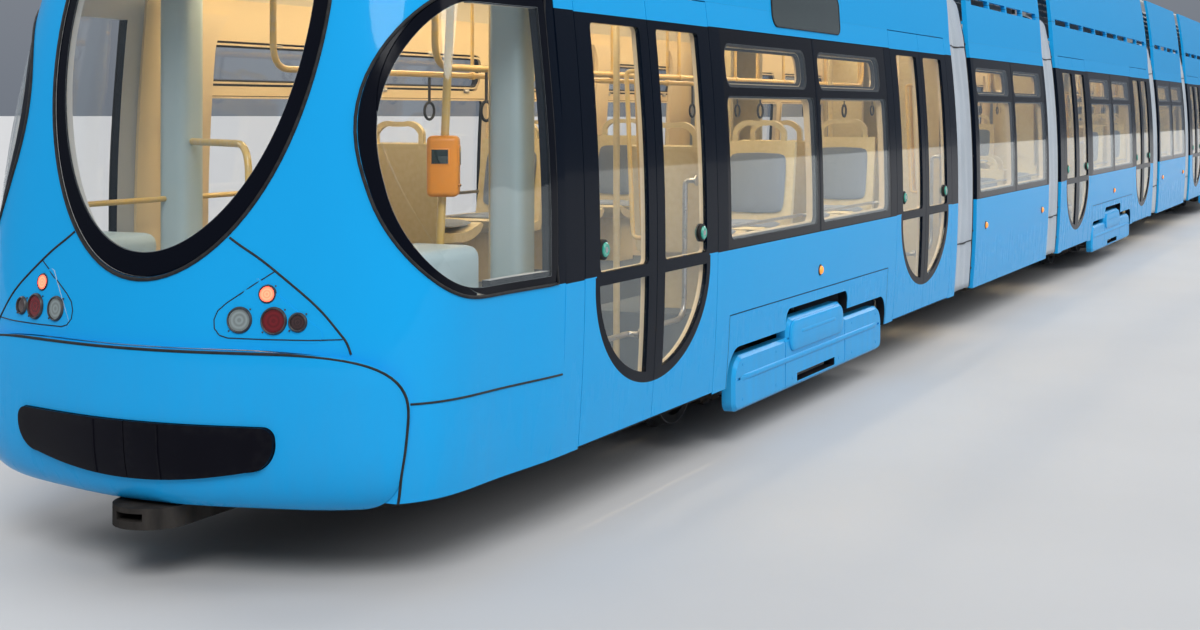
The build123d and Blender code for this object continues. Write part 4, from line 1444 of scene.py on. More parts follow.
class Studio:
    """Floor, soft lights and the camera at the photograph's place."""

    CAMERA = (-21.082, -4.307, 1.770)
    TURN = -64.95
    LENS = 51.99
    SHIFT = -0.1708
    SUNS = (
        ("key_light", (-0.70, -0.45, 0.75), 28.0, 2.0),
        ("side_light", (0.25, -0.80, 0.55), 34.0, 0.8),
        ("back_light", (0.30, 0.80, 0.60), 34.0, 0.9),
        ("front_light", (0.90, -0.10, 0.45), 34.0, 0.8),
    )

    def build(self) -> None:
        """Makes floor, world, lights and camera."""
        scene = bpy.context.scene
        scene.view_settings.view_transform = "Standard"
        scene.view_settings.look = "None"
        floor = self._floor()
        self._world(scene)
        for name, place, spread, strength in self.SUNS:
            light = bpy.data.lights.new(name, "SUN")
            light.angle = math.radians(spread)
            light.energy = strength
            lamp = bpy.data.objects.new(name, light)
            lamp.location = Vector(place) * 20.0
            lamp.rotation_euler = (-Vector(place)).to_track_quat("-Z", "Y").to_euler()
            scene.collection.objects.link(lamp)
        self._camera(scene)

    def _floor(self) -> Piece:
        """Makes the pale floor.

        Returns:
            The floor object.
        """
        mesh = bpy.data.meshes.new("floor")
        r = 400.0
        mesh.from_pydata([(-r, -r, 0.0), (r, -r, 0.0), (r, r, 0.0), (-r, r, 0.0)], [], [(0, 1, 2, 3)])
        material, g, shader = open_material("floor_grey")
        vector, *_ = g.coords()
        mottle = g.noise(vector, 0.8, 4.0)
        grey = g.mix(mottle, (0.50, 0.50, 0.50), (0.55, 0.55, 0.55))
        g.feed(shader, {"Base Color": grey, "Roughness": 0.75})
        mesh.materials.append(material)
        floor = bpy.data.objects.new("studio_floor", mesh)
        bpy.context.scene.collection.objects.link(floor)
        return floor

    def _world(self, scene: bpy.types.Scene) -> None:
        """Makes the pale surround.

        Args:
            scene: The scene.
        """
        world = bpy.data.worlds.new("studio")
        world.use_nodes = True
        g = Graph(world.node_tree)
        back = world.node_tree.nodes["Background"]
        height = g.split(g.node("ShaderNodeTexCoord").outputs["Generated"])[2]
        sky = g.mix(g.step(height, 0.30, 0.6), (0.34, 0.38, 0.45), (0.92, 0.95, 1.0))
        g.feed(back, {"Color": sky, "Strength": 0.50})
        scene.world = world

    def _camera(self, scene: bpy.types.Scene) -> None:
        """Makes the camera.

        Args:
            scene: The scene.
        """
        data = bpy.data.cameras.new("camera")
        data.lens = self.LENS
        data.sensor_width = 36.0
        data.shift_y = self.SHIFT
        data.clip_end = 500.0
        camera = bpy.data.objects.new("camera", data)
        camera.location = self.CAMERA
        camera.rotation_euler = (math.radians(90.0), 0.0, math.radians(self.TURN))
        scene.collection.objects.link(camera)
        scene.camera = camera


class Shape:
    """Collects the faces of one piece."""

    def __init__(self) -> None:
        """Starts an empty piece."""
        self.bm = bmesh.new()
        self.paint = 0

    def _faces(
        self, rings: Sequence[Sequence[bmesh.types.BMVert]], around: bool, along: bool = False
    ) -> None:
        """Joins neighbouring rings of vertices.

        Args:
            rings: The rings, all of one length.
            around: Whether each ring closes.
            along: Whether the last ring joins the first.
        """
        count = len(rings[0])
        pairs = list(zip(rings, rings[1:]))
        if along:
            pairs.append((rings[-1], rings[0]))
        for first, second in pairs:
            for i in range(count if around else count - 1):
                j = (i + 1) % count
                face = self.bm.faces.new((first[i], first[j], second[j], second[i]))
                face.material_index = self.paint

    def grid(
        self, rows: Sequence[Sequence[Vector | Point]], around: bool = False, along: bool = False
    ) -> None:
        """Adds a surface through rows of points."""
        rings = [[self.bm.verts.new(p) for p in row] for row in rows]
        self._faces(rings, around, along)

    def closed(self, rows: Sequence[Sequence[Vector | Point]]) -> None:
        """Adds a solid through closed rings, with a cap at either end.

        Args:
            rows: The rings.
        """
        rings = [[self.bm.verts.new(p) for p in row] for row in rows]
        self._faces(rings, True)
        for ring in (rings[0], rings[-1]):
            self.bm.faces.new(ring).material_index = self.paint

    def tube(
        self, path: Sequence[Vector | Point], radius: float | Sequence[float], sides: int = 10,
        loop: bool = False
    ) -> None:
        """Adds a round bar along a path.

        Args:
            path: Its middle line.
            radius: Its radius, or one per point.
            sides: Sides of its section.
            loop: Whether the path closes.
        """
        points = [Vector(p) for p in path]
        count = len(points)
        radii = [radius] * count if isinstance(radius, (int, float)) else list(radius)
        heading = None
        up = None
        rows = []
        for i, point in enumerate(points):
            before = points[i - 1] if i or loop else points[i]
            after = points[(i + 1) % count] if i < count - 1 or loop else points[i]
            turned = (after - before).normalized()
            if up is None:
                pick = Vector((0.0, 0.0, 1.0)) if abs(turned.z) < 0.9 else Vector((1.0, 0.0, 0.0))
                up = turned.cross(pick).normalized()
            else:
                up = heading.rotation_difference(turned) @ up
            heading = turned
            side = heading.cross(up)
            rows.append([point + radii[i] * (math.cos(a) * up + math.sin(a) * side) for a in turns(sides)])
        if loop:
            self.grid(rows, around=True, along=True)
        else:
            self.closed(rows)

    def lathe(
        self, base: Vector | Point, axis: Vector | Point, profile: Sequence[Pair], sides: int = 24
    ) -> None:
        """Adds a turned solid.

        Args:
            base: Where its axis starts.
            axis: Direction of its axis.
            profile: (distance along, radius) of each ring.
            sides: Sides of its section.
        """
        start = Vector(base)
        heading = Vector(axis).normalized()
        pick = Vector((0.0, 0.0, 1.0)) if abs(heading.z) < 0.9 else Vector((1.0, 0.0, 0.0))
        up = heading.cross(pick).normalized()
        side = heading.cross(up)
        rows = [
            [start + t * heading + r * (math.cos(a) * up + math.sin(a) * side) for a in turns(sides)]
            for t, r in profile
        ]
        self.closed(rows)

    def block(
        self, low: Vector | Point, high: Vector | Point, bevel: float = 0.004, turn: Matrix | None = None,
        steps: int = 2
    ) -> None:
        """Adds a box with rounded edges.

        Args:
            low: Lowest corner.
            high: Highest corner.
            bevel: Rounding of its edges.
            turn: Rotation about its middle.
            steps: Segments of the rounding.
        """
        middle = (Vector(low) + Vector(high)) / 2
        size = Vector(high) - Vector(low)
        matrix = Matrix.Translation(middle) @ (turn or Matrix.Identity(4)) @ Matrix.Diagonal((*size, 1.0))
        made = bmesh.ops.create_cube(self.bm, size=1.0, matrix=matrix)
        faces = dict.fromkeys(face for vert in made["verts"] for face in vert.link_faces)
        for face in faces:
            face.material_index = self.paint
        edges = list(dict.fromkeys(edge for face in faces for edge in face.edges))
        width = min(bevel, 0.45 * min(size))
        if width > 0:
            bmesh.ops.bevel(
                self.bm, geom=edges, offset=width, segments=steps, affect="EDGES", profile=0.5,
                clamp_overlap=True
            )

    def prism(self, outline: Sequence[Vector | Point], depth: Vector | Point, bevel: float = 0.0) -> None:
        """Adds a flat outline pushed along a vector.

        Args:
            outline: Its corners in space.
            depth: The push.
            bevel: Rounding of the edges round its far face.
        """
        push = Vector(depth)
        first = [Vector(p) for p in outline]
        rows = [first, [p + push for p in first]]
        if bevel:
            middle = sum(first, Vector()) / len(first)
            unit = push.normalized()
            near = [p + push - unit * bevel for p in first]
            far = [p + push + (middle - p).normalized() * bevel for p in first]
            rows = [first, near, far]
        self.closed(rows)

    def object(self, name: str, body: str, finishes: Sequence[str], crease: float = 35.0) -> Piece:
        """Turns the faces into a piece that rides on a body.

        Args:
            name: Piece name.
            body: CAD body it rides on.
            finishes: Finish names, by paint index.
            crease: Edges sharper than this stay sharp.

        Returns:
            The piece.
        """
        made = self.loose(name, finishes, crease)
        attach(made, body)
        return made

    def loose(self, name: str, finishes: Sequence[str], crease: float = 35.0) -> Piece:
        """Turns the faces into an object that rides on nothing yet.

        Args:
            name: Object name.
            finishes: Finish names, by paint index.
            crease: Edges sharper than this stay sharp.

        Returns:
            The object.
        """
        bmesh.ops.recalc_face_normals(self.bm, faces=self.bm.faces)
        limit = math.radians(crease)
        for face in self.bm.faces:
            face.smooth = True
        for edge in self.bm.edges:
            edge.smooth = len(edge.link_faces) != 2 or edge.calc_face_angle(0.0) < limit
        mesh = bpy.data.meshes.new(name)
        self.bm.to_mesh(mesh)
        self.bm.free()
        for finish in finishes:
            mesh.materials.append(FINISHES[finish])
        made = bpy.data.objects.new(name, mesh)
        bpy.context.scene.collection.objects.link(made)
        return made


def baked(carrier: Piece) -> Piece:
    """Applies every modifier of an object into its mesh.

    Args:
        carrier: The object.

    Returns:
        The same object with a plain mesh.
    """
    bpy.context.view_layer.update()
    graph = bpy.context.evaluated_depsgraph_get()
    mesh = bpy.data.meshes.new_from_object(carrier.evaluated_get(graph))
    old = carrier.data
    carrier.modifiers.clear()
    carrier.data = mesh
    bpy.data.meshes.remove(old)
    return carrier


def stuffed(shape: Shape, name: str) -> Piece:
    """Turns faces into a cushion with rounded edges.

    Args:
        shape: The faces.
        name: Object name.

    Returns:
        The cushion, which rides on nothing yet.
    """
    pad = shape.loose(name, ["seat_cloth"], 60.0)
    smooth = pad.modifiers.new("stuffing", "SUBSURF")
    smooth.levels = smooth.render_levels = 1
    return baked(pad)


def keep_normals(mesh: bpy.types.Mesh, source: bpy.types.Mesh) -> None:
    """Gives a cut mesh the corner normals of the mesh that it was cut from.

    Args:
        mesh: The cut mesh.
        source: The mesh before the cut.
    """
    places = [vertex.co.copy() for vertex in source.vertices]
    faces = [tuple(face.vertices) for face in source.polygons]
    corners = [corner.vector.copy() for corner in source.corner_normals]
    tree = BVHTree.FromPolygons(places, faces)
    wanted: list[Vector] = []
    for face in mesh.polygons:
        face.use_smooth = True
        for loop in face.loop_indices:
            place = mesh.vertices[mesh.loops[loop].vertex_index].co
            near = [
                (normal.dot(face.normal), index)
                for _, normal, index, _ in tree.find_nearest_range(place, 0.0006)
            ]
            fit, index = max(near, default=(0.0, 0))
            if fit < 0.80:
                wanted.append(face.normal.copy())
                continue
            weights = poly_3d_calc([places[i] for i in faces[index]], place)
            start = source.polygons[index].loop_start
            blend = sum((corners[start + i] * weight for i, weight in enumerate(weights)), Vector())
            wanted.append(blend.normalized())
    mesh.normals_split_custom_set(wanted)


def turns(count: int) -> list[float]:
    """Angles of a full turn in equal steps."""
    return [math.tau * k / count for k in range(count)]


def arc(centre: Pair, radius: float, start: float, stop: float, steps: int) -> list[Pair]:
    """Points along an arc in a plane."""
    angles = [math.radians(start + (stop - start) * i / steps) for i in range(steps + 1)]
    return [(centre[0] + radius * math.cos(a), centre[1] + radius * math.sin(a)) for a in angles]


def rounded(points: Sequence[Vector | Point], radius: float, steps: int = 5) -> list[Vector]:
    """Rounds the inner corners of a path.

    Args:
        points: Corners of the path.
        radius: Rounding radius, as a distance along each run.
        steps: Points per corner.

    Returns:
        The rounded path.
    """
    corners = [Vector(p) for p in points]
    path = [corners[0]]
    for before, corner, after in zip(corners, corners[1:], corners[2:]):
        reach = min(radius, (corner - before).length / 2, (after - corner).length / 2)
        a = corner + (before - corner).normalized() * reach
        b = corner + (after - corner).normalized() * reach
        for i in range(steps + 1):
            t = i / steps
            path.append((1 - t) ** 2 * a + 2 * t * (1 - t) * corner + t * t * b)
    path.append(corners[-1])
    return path


@dataclass(frozen=True)
class GangwayHood:
    """Elastic fabric hood over one gangway, with its cords and edge seams.

    Args:
        node: CAD node that it replaces.
        first: Body on its low X side.
        second: Body on its high X side.
        x0: Start of the gap.
        gap: Width of the gap.
        depth: How far it lies below the skin.
        low: Height of its lower edge.
        knee: Height where it turns over the roof.
        top: Height of its top.
        cords: Heights of the cords round it.
    """

    node: str
    first: str
    second: str
    x0: float
    gap: float = 0.640
    depth: float = 0.022
    low: float = 0.350
    knee: float = 2.350
    top: float = 2.695
    cords: tuple[float, ...] = (0.72, 2.27)

    def outline(self, inset: float) -> list[Pair]:
        """Section of the hood from its right lower edge over the top.

        Args:
            inset: Distance inside the hood's outer surface.

        Returns:
            (y, z) points.
        """
        side = [
            (-half_width(z, self.depth + inset), z)
            for z in (self.low + (self.knee - self.low) * i / 40 for i in range(41))
        ]
        top_y = half_width(self.knee, self.depth) - 0.070
        shoulder = [
            Vector((side[-1][0], side[-1][1], 0.0)), Vector((-top_y + inset, self.top - inset, 0.0)),
            Vector((0.0, self.top - inset, 0.0))
        ]
        bend = rounded(shoulder, 0.11, 8)[1:]
        right = side + [(p.x, p.y) for p in bend]
        across = [
            (right[-2][0] * (1 - t), self.top - inset + 0.004 * math.sin(math.pi * t))
            for t in (i / 6 for i in range(1, 6))
        ]
        half = right[:-1] + across + [(0.0, self.top - inset + 0.004)]
        return half + [(-y, z) for y, z in reversed(half[:-1])]

    def fold(self, t: float, around: float) -> float:
        """How far the fabric lies inside its outer line.

        Args:
            t: Share of the way across the gap.
            around: Share of the way round the hood.

        Returns:
            The inset.
        """
        clamp = 0.016 * math.exp(-min(t, 1 - t) / 0.035)
        waist = 0.012 * math.sin(math.pi * t) ** 2
        pleat = 0.0035 * math.sin(6 * math.pi * t) * math.sin(math.pi * t)
        slack = 0.0022 * math.sin(46 * around + 3 * math.sin(9 * t)) * math.sin(math.pi * t) ** 2
        return 0.002 + clamp + waist + pleat + slack

    def build(self) -> list[Piece]:
        """Makes the fabric, its cords and its seams.

        Returns:
            The pieces.
        """
        steps = 36
        fabric = Shape()
        line = self.outline(0.0)
        rows = []
        for i in range(steps + 1):
            t = i / steps
            row = []
            for k, (y, z) in enumerate(line):
                around = k / (len(line) - 1)
                inset = self.fold(t, around) + sum(
                    0.006 * math.exp(-(((z - c) / 0.02) ** 2)) for c in self.cords
                )
                flat = math.sqrt(max(0.0, 1 - (z / self.top) ** 8)) if z > self.knee else 1.0
                sign = math.copysign(1.0, -y) if abs(y) > 1e-6 else 0.0
                row.append(
                    (
                        self.x0 + 0.006 + t * (self.gap - 0.012), y + sign * inset * flat,
                        z - inset * (1 - flat)
                    )
                )
            rows.append(row)
        fabric.grid(rows)
        name = self.node + "_hood"
        hood = fabric.loose(name, ["hood_fabric"], 60.0)
        shell = hood.modifiers.new("cloth thickness", "SOLIDIFY")
        shell.thickness = 0.0025
        baked(hood)
        span = sum((Vector(a) - Vector(b)).length for a, b in zip(rows[18], rows[18][1:]))
        across = sum((Vector(a[20]) - Vector(b[20])).length for a, b in zip(rows, rows[1:]))
        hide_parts(self.node)
        self.x0 + 0.02
        self.x0 + self.gap - 0.02
        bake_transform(hood)
        pieces = [hood, self._cords(), *self._seams()]
        return pieces

    def _cords(self) -> Piece:
        """Elastic cords that gather the hood.

        Returns:
            The piece.
        """
        shape = Shape()
        for level in self.cords:
            for side in Side:
                y = side.value * (half_width(level, self.depth) - 0.004)
                path = []
                for i in range(25):
                    t = i / 24
                    inset = self.fold(t, 0.3)
                    path.append(
                        (
                            self.x0 + 0.012 + t * (self.gap - 0.024), y - side.value * inset,
                            level + 0.004 * math.sin(9 * t)
                        )
                    )
                shape.tube(path, 0.0065, 8)
        cords = shape.loose(self.node + "_cords", ["rubber"])
        self.x0 + 0.02
        self.x0 + self.gap - 0.02
        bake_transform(cords)
        return cords

    def _seams(self) -> list[Piece]:
        """Clamping frames at the two edges of the hood.

        Returns:
            One piece per body.
        """
        made = []
        for body, x, way in ((self.first, self.x0 + 0.003, 1), (self.second, self.x0 + self.gap - 0.003, -1)):
            shape = Shape()
            line = self.outline(0.012)
            outer = [Vector((x, y, z)) for y, z in line]
            shape.tube([p + Vector((way * 0.010, 0, 0)) for p in outer], 0.0075, 8)
            for k in range(3, len(outer) - 3, 6):
                out = Vector((0.0, outer[k].y, 0.25 * (outer[k].z - 1.2))).normalized()
                shape.lathe(
                    outer[k] + Vector((way * 0.010, 0, 0)) + out * 0.005, out,
                    [(0.0, 0.009), (0.005, 0.009), (0.007, 0.006)], 8
                )
            made.append(shape.object(f"{self.node}_clamp_{'low' if way > 0 else 'high'}", body, ["rubber"]))
        return made


def touch(node: str, origin: Point, heading: Point) -> tuple[Vector, Vector]:
    """Finds where a ray meets a CAD node.

    Args:
        node: CAD node name.
        origin: Where the ray starts.
        heading: Its direction.

    Returns:
        The point and the surface's normal.

    Raises:
        RuntimeError: If the ray misses.
    """
    hit, place, normal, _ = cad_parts[node].ray_cast(Vector(origin), Vector(heading).normalized())
    if not hit:
        raise RuntimeError(f"ray from {origin} misses {node}")
    if normal.dot(Vector(heading)) > 0:
        normal = -normal
    return place.copy(), normal.copy()


def from_side(node: str, x: float, z: float, side: Side) -> tuple[Vector, Vector]:
    """Finds the outer face of a CAD node, looking from beside the tram."""
    return touch(node, (x, side.value * BESIDE, z), (0, -side.value, 0))


def on_side(x: float, z: float, side: Side, depth: float) -> Vector:
    """Point at a depth below the side skin."""
    return Vector((x, side.value * half_width(z, depth), z))


def round_rectangle(x0: float, x1: float, z0: float, z1: float, radius: float, steps: int = 6) -> list[Pair]:
    """Outline of a rounded rectangle in X and Z.

    Args:
        x0: Left edge.
        x1: Right edge.
        z0: Lower edge.
        z1: Upper edge.
        radius: Corner radius.
        steps: Steps per corner.

    Returns:
        (x, z) points.
    """
    corners = (
        (x1 - radius, z0 + radius, -90), (x1 - radius, z1 - radius, 0), (x0 + radius, z1 - radius, 90),
        (x0 + radius, z0 + radius, 180)
    )
    outline: list[Pair] = []
    for cx, cz, start in corners:
        outline += arc((cx, cz), radius, start, start + 90, steps)
    filled: list[Pair] = []
    for a, b in zip(outline, outline[1:] + outline[:1]):
        cuts = max(1, int(math.dist(a, b) / 0.12))
        filled += [(a[0] + (b[0] - a[0]) * i / cuts, a[1] + (b[1] - a[1]) * i / cuts) for i in range(cuts)]
    return filled


def frame_ring(
    shape: Shape, outline: Sequence[Pair], side: Side, near: float, far: float, wide: float,
    bevel: float = 0.002
) -> None:
    """Adds a flat frame that follows an outline on the side skin.

    Args:
        shape: Piece it joins.
        outline: (x, z) points of its outer edge.
        side: Which side.
        near: Depth of its outer face.
        far: Depth of its inner face.
        wide: Width of the frame.
        bevel: Rounding of its outer edges.
    """
    count = len(outline)
    cx = sum(p[0] for p in outline) / count
    cz = sum(p[1] for p in outline) / count
    rows = []
    for i, (x, z) in enumerate(outline):
        ax, az = outline[i - 1]
        bx, bz = outline[(i + 1) % count]
        nx, nz = -(bz - az), bx - ax
        size = math.hypot(nx, nz) or 1.0
        nx, nz = nx / size, nz / size
        if nx * (cx - x) + nz * (cz - z) < 0:
            nx, nz = -nx, -nz
        section = (
            (0.0, far), (0.0, near + bevel), (bevel, near), (wide - bevel, near), (wide, near + bevel),
            (wide, far)
        )
        rows.append([on_side(x + nx * w, z + nz * w, side, d) for w, d in section])
    shape.grid(rows, around=True, along=True)


@dataclass(frozen=True)
class Bay:
    """One window bay.

    Args:
        x0: Start of its pane.
        x1: End of its pane.
        sides: Sides it is on.
    """

    x0: float
    x1: float
    sides: tuple[Side, ...]


@dataclass
class WindowFittings:
    """Frames, gaskets and catches of a section's windows.

    Args:
        section: The section.
        pillar: Gap between two panes.
        margin: Blank wall beside a doorway.
        clear_low: Lowest clear height of the lower pane.
        clear_high: Highest clear height of the lower pane.
        hopper_low: Lower edge of the hopper.
        hopper_high: Upper edge of the hopper.
        hopper_radius: Its corner radius.
        gasket: Width of a gasket.
        both: Sides of a bay that is on both.
    """

    section: Section
    pillar: float = 0.030
    margin: float = 0.150
    clear_low: float = 1.102
    clear_high: float = 1.842
    hopper_low: float = 1.890
    hopper_high: float = 2.115
    hopper_radius: float = 0.085
    gasket: float = 0.020
    both: tuple[Side, ...] = field(default=(Side.RIGHT, Side.LEFT))

    def bays(self) -> list[Bay]:
        """Lists the bays.

        Returns:
            The bays.
        """
        s = self.section
        half_post = self.pillar / 2
        if s.kind is Kind.MID:
            middle = (s.x0 + s.x1) / 2
            return [
                Bay(s.x0 + 0.09, middle - half_post, self.both),
                Bay(middle + half_post, s.x1 - 0.09, self.both)
            ]
        inner = ZONE_HALF - self.margin
        outer = ZONE_HALF + DOOR - self.margin / 2
        c = s.bogie
        return [
            Bay(c - inner, c - half_post, self.both),
            Bay(c + half_post, c + inner, self.both),
            Bay(c - outer, c - inner - self.pillar, (Side.LEFT,)),
            Bay(c + inner + self.pillar, c + outer, (Side.LEFT,)),
        ]

    def clear_fields(self) -> list[tuple[Pair, Pair, float]]:
        """Lists what is left clear of the panes.

        Returns:
            Lower corner, upper corner and corner radius of each field.
        """
        fields = []
        for bay in self.bays():
            fields.append(((bay.x0 + 0.040, self.clear_low), (bay.x1 - 0.040, self.clear_high), 0.045))
            fields.append(((bay.x0 + 0.045, self.hopper_low), (bay.x1 - 0.155, self.hopper_high), 0.070))
        return fields

    def build(self) -> list[Piece]:
        """Makes the fittings.

        Returns:
            The pieces.
        """
        frames, reveals, catches = Shape(), Shape(), Shape()
        for bay in self.bays():
            for side in bay.sides:
                self._hopper(frames, catches, bay, side)
                lower = round_rectangle(
                    bay.x0 + 0.030, bay.x1 - 0.030, self.clear_low - 0.012, self.clear_high + 0.012, 0.05
                )
                frame_ring(frames, lower, side, 0.0165, 0.030, self.gasket)
                room = round_rectangle(
                    bay.x0 + 0.045, bay.x1 - 0.045, self.clear_low + 0.004, self.clear_high - 0.004, 0.05
                )
                frame_ring(reveals, room, side, 0.032, 0.068, 0.010)
                upper = round_rectangle(
                    bay.x0 + 0.050, bay.x1 - 0.16, self.hopper_low + 0.012, self.hopper_high - 0.012, 0.07
                )
                frame_ring(reveals, upper, side, 0.032, 0.068, 0.010)
        name = self.section.name
        return [
            frames.object(f"{name}_window_gaskets", name, ["rubber"]),
            reveals.object(f"{name}_window_reveals", name, ["cream_lining"]),
            catches.object(f"{name}_window_catches", name, ["bare_steel"]),
        ]

    def _hopper(self, frames: Shape, catches: Shape, bay: Bay, side: Side) -> None:
        """Adds the tilting upper light's frame, hinges and catch.

        Args:
            frames: Piece of the frames.
            catches: Piece of the metal parts.
            bay: The bay.
            side: Which side.
        """
        x0, x1 = bay.x0 + 0.040, bay.x1 - 0.150
        outline = round_rectangle(
            x0 - 0.012, x1 + 0.012, self.hopper_low - 0.012, self.hopper_high + 0.012, self.hopper_radius
        )
        frame_ring(frames, outline, side, 0.0035, 0.0085, 0.026, 0.0015)
        inner = round_rectangle(
            x0 + 0.020, x1 - 0.020, self.hopper_low + 0.020, self.hopper_high - 0.020,
            self.hopper_radius - 0.02
        )
        frame_ring(frames, inner, side, 0.030, 0.052, 0.012)
        for x in (x0 + 0.18, x1 - 0.18):
            z = self.hopper_low - 0.002
            p = on_side(x, z, side, 0.056)
            catches.block(
                (x - 0.030, min(p.y, p.y - side.value * 0.012), z - 0.012),
                (x + 0.030, max(p.y, p.y - side.value * 0.012), z + 0.012), 0.003
            )
            catches.tube(
                [
                    p + Vector((-0.028, -side.value * 0.010, 0.0)),
                    p + Vector((0.028, -side.value * 0.010, 0.0))
                ],
                0.0045, 8
            )
        middle = (x0 + x1) / 2
        p = on_side(middle, self.hopper_high - 0.006, side, 0.056)
        lever = [
            p, p + Vector((0, -side.value * 0.022, -0.004)),
            p + Vector((0.034, -side.value * 0.028, -0.008)),
            p + Vector((0.060, -side.value * 0.026, -0.008))
        ]
        catches.tube(rounded(lever, 0.01), 0.005, 8)
        catches.lathe(
            p + Vector((0, -side.value * 0.001, 0)), (0, -side.value, 0),
            [(0.0, 0.014), (0.006, 0.014), (0.008, 0.011)], 14
        )


@dataclass
class DoorFittings:
    """Buttons, seals, handrails, thresholds and header covers of a section's doorways.

    Args:
        section: The section.
        button_in: Distance of a button from the doorway's edge.
        button_z: Height of the buttons.
        button_radius: Radius of a button.
        rail_z: Height of the lower handrail.
        rail_top: Height where the handrail ends.
    """

    section: Section
    button_in: float = 0.205
    button_z: float = 1.165
    button_radius: float = 0.033
    rail_z: float = 0.735
    rail_top: float = 1.420

    def build(self) -> list[Piece]:
        """Makes the fittings.

        Returns:
            The pieces.
        """
        buttons, seals, rails, headers = Shape(), Shape(), Shape(), Shape()
        for start in self.section.doors:
            for x in (start + self.button_in, start + DOOR - self.button_in):
                self._button(buttons, x)
            self._seals(seals, start)
            self._rails(rails, start)
            self._header(headers, start)
        name = self.section.name
        return [
            buttons.object(f"{name}_door_buttons", name, ["button_green", "rubber", "bare_steel"]),
            seals.object(f"{name}_door_seals", name, ["rubber"]),
            rails.object(f"{name}_door_rails", name, ["bare_steel", "yellow_coat"]),
            headers.object(f"{name}_door_headers", name, ["cream_lining", "bare_steel", "rubber"]),
        ]

    def _button(self, shape: Shape, x: float) -> None:
        """Adds a push button inside and outside.

        Args:
            shape: Piece it joins.
            x: Its place.
        """
        place, normal = from_side(self.section.name + "_glazing", x, self.button_z, Side.RIGHT)
        r = self.button_radius
        for base, axis in ((place, normal), (place - normal * 0.0065, -normal)):
            shape.paint = 1
            shape.lathe(
                base - axis * 0.001, axis,
                [(0.0, r + 0.012), (0.008, r + 0.012), (0.011, r + 0.008), (0.011, r + 0.003)], 28
            )
            shape.paint = 0
            shape.lathe(
                base + axis * 0.006, axis, [(0.0, r), (0.009, r), (0.013, r - 0.006), (0.012, 0.45 * r)], 28
            )
            shape.paint = 2
            shape.lathe(
                base + axis * 0.014, axis, [(0.0, 0.42 * r), (0.0045, 0.38 * r), (0.005, 0.1 * r)], 20
            )

    def _seals(self, shape: Shape, start: float) -> None:
        """Adds the finger seals between the leaves and round the doorway.

        Args:
            shape: Piece it joins.
            start: Start of the doorway.
        """
        middle = start + DOOR / 2
        for x in (middle - 0.012, middle + 0.012):
            rows = []
            for i in range(25):
                z = 0.352 + (2.200 - 0.352) * i / 24
                ring = [(x + 0.007 * math.cos(a), 0.0055 * math.sin(a)) for a in turns(8)]
                rows.append([Vector((px, -half_width(z, 0.0105) + dy, z)) for px, dy in ring])
            shape.closed(rows)
        for x in (start + 0.010, start + DOOR - 0.010):
            shape.tube(
                [on_side(x, 0.36 + (2.19 - 0.36) * i / 20, Side.RIGHT, 0.052) for i in range(21)], 0.006, 8
            )

    def _rails(self, shape: Shape, start: float) -> None:
        """Adds the bent handrail on the inside of each leaf.

        Args:
            shape: Piece it joins.
            start: Start of the doorway.
        """
        middle = start + DOOR / 2
        for way in (-1, 1):
            outer, inner = middle + way * 0.62, middle + way * 0.07
            deep = 0.112
            path = [
                on_side(inner, self.rail_z, Side.RIGHT, 0.050),
                on_side(inner, self.rail_z, Side.RIGHT, deep),
                on_side(outer, self.rail_z, Side.RIGHT, deep),
                on_side(outer, self.rail_top, Side.RIGHT, deep),
                on_side(outer, self.rail_top, Side.RIGHT, 0.050),
            ]
            shape.paint = 0
            shape.tube(rounded(path, 0.10, 7), 0.013, 12)
            for x, z in ((inner, self.rail_z), (outer, self.rail_top)):
                shape.lathe(
                    on_side(x, z, Side.RIGHT, 0.049), (0, 1, 0),
                    [(0.0, 0.026), (0.005, 0.026), (0.008, 0.021)], 18
                )
            high = [
                on_side(middle + way * 0.055, z, Side.RIGHT, d)
                for z, d in ((1.18, 0.050), (1.18, 0.100), (1.95, 0.100), (1.95, 0.050))
            ]
            shape.paint = 1
            shape.tube(rounded(high, 0.05, 6), 0.011, 12)

    def _header(self, shape: Shape, start: float) -> None:
        """Adds the header cover with its flap, and the threshold plate.

        Args:
            shape: Piece it joins.
            start: Start of the doorway.
        """
        outer = -half_width(2.30, 0.066)
        shape.paint = 0
        profile = [
            (outer, 2.228), (outer + 0.150, 2.215), (outer + 0.190, 2.250), (outer + 0.190, 2.400),
            (outer + 0.060, 2.425), (outer, 2.300)
        ]
        rows = [
            [Vector((x, y, z)) for y, z in profile]
            for x in (start + 0.02, start + 0.04, start + DOOR - 0.04, start + DOOR - 0.02)
        ]
        for row in (rows[0], rows[-1]):
            middle = sum(row, Vector()) / len(row)
            row[:] = [middle + (p - middle) * 0.94 for p in row]
        shape.closed(rows)
        shape.paint = 1
        for x in (start + 0.18, start + DOOR / 2, start + DOOR - 0.18):
            shape.lathe(
                (x, outer + 0.188, 2.330), (0, 1, 0), [(0.0, 0.014), (0.006, 0.014), (0.008, 0.010)], 16
            )
        low, high = -half_width(0.40, 0.075), -half_width(0.40, 0.20)
        shape.block((start + 0.03, low, 0.3705), (start + DOOR - 0.03, high, 0.3745), 0.001)
        shape.paint = 2
        for k in range(5):
            y = low + 0.018 + k * 0.022
            shape.block((start + 0.05, y, 0.374), (start + DOOR - 0.05, y + 0.009, 0.3775), 0.0012)


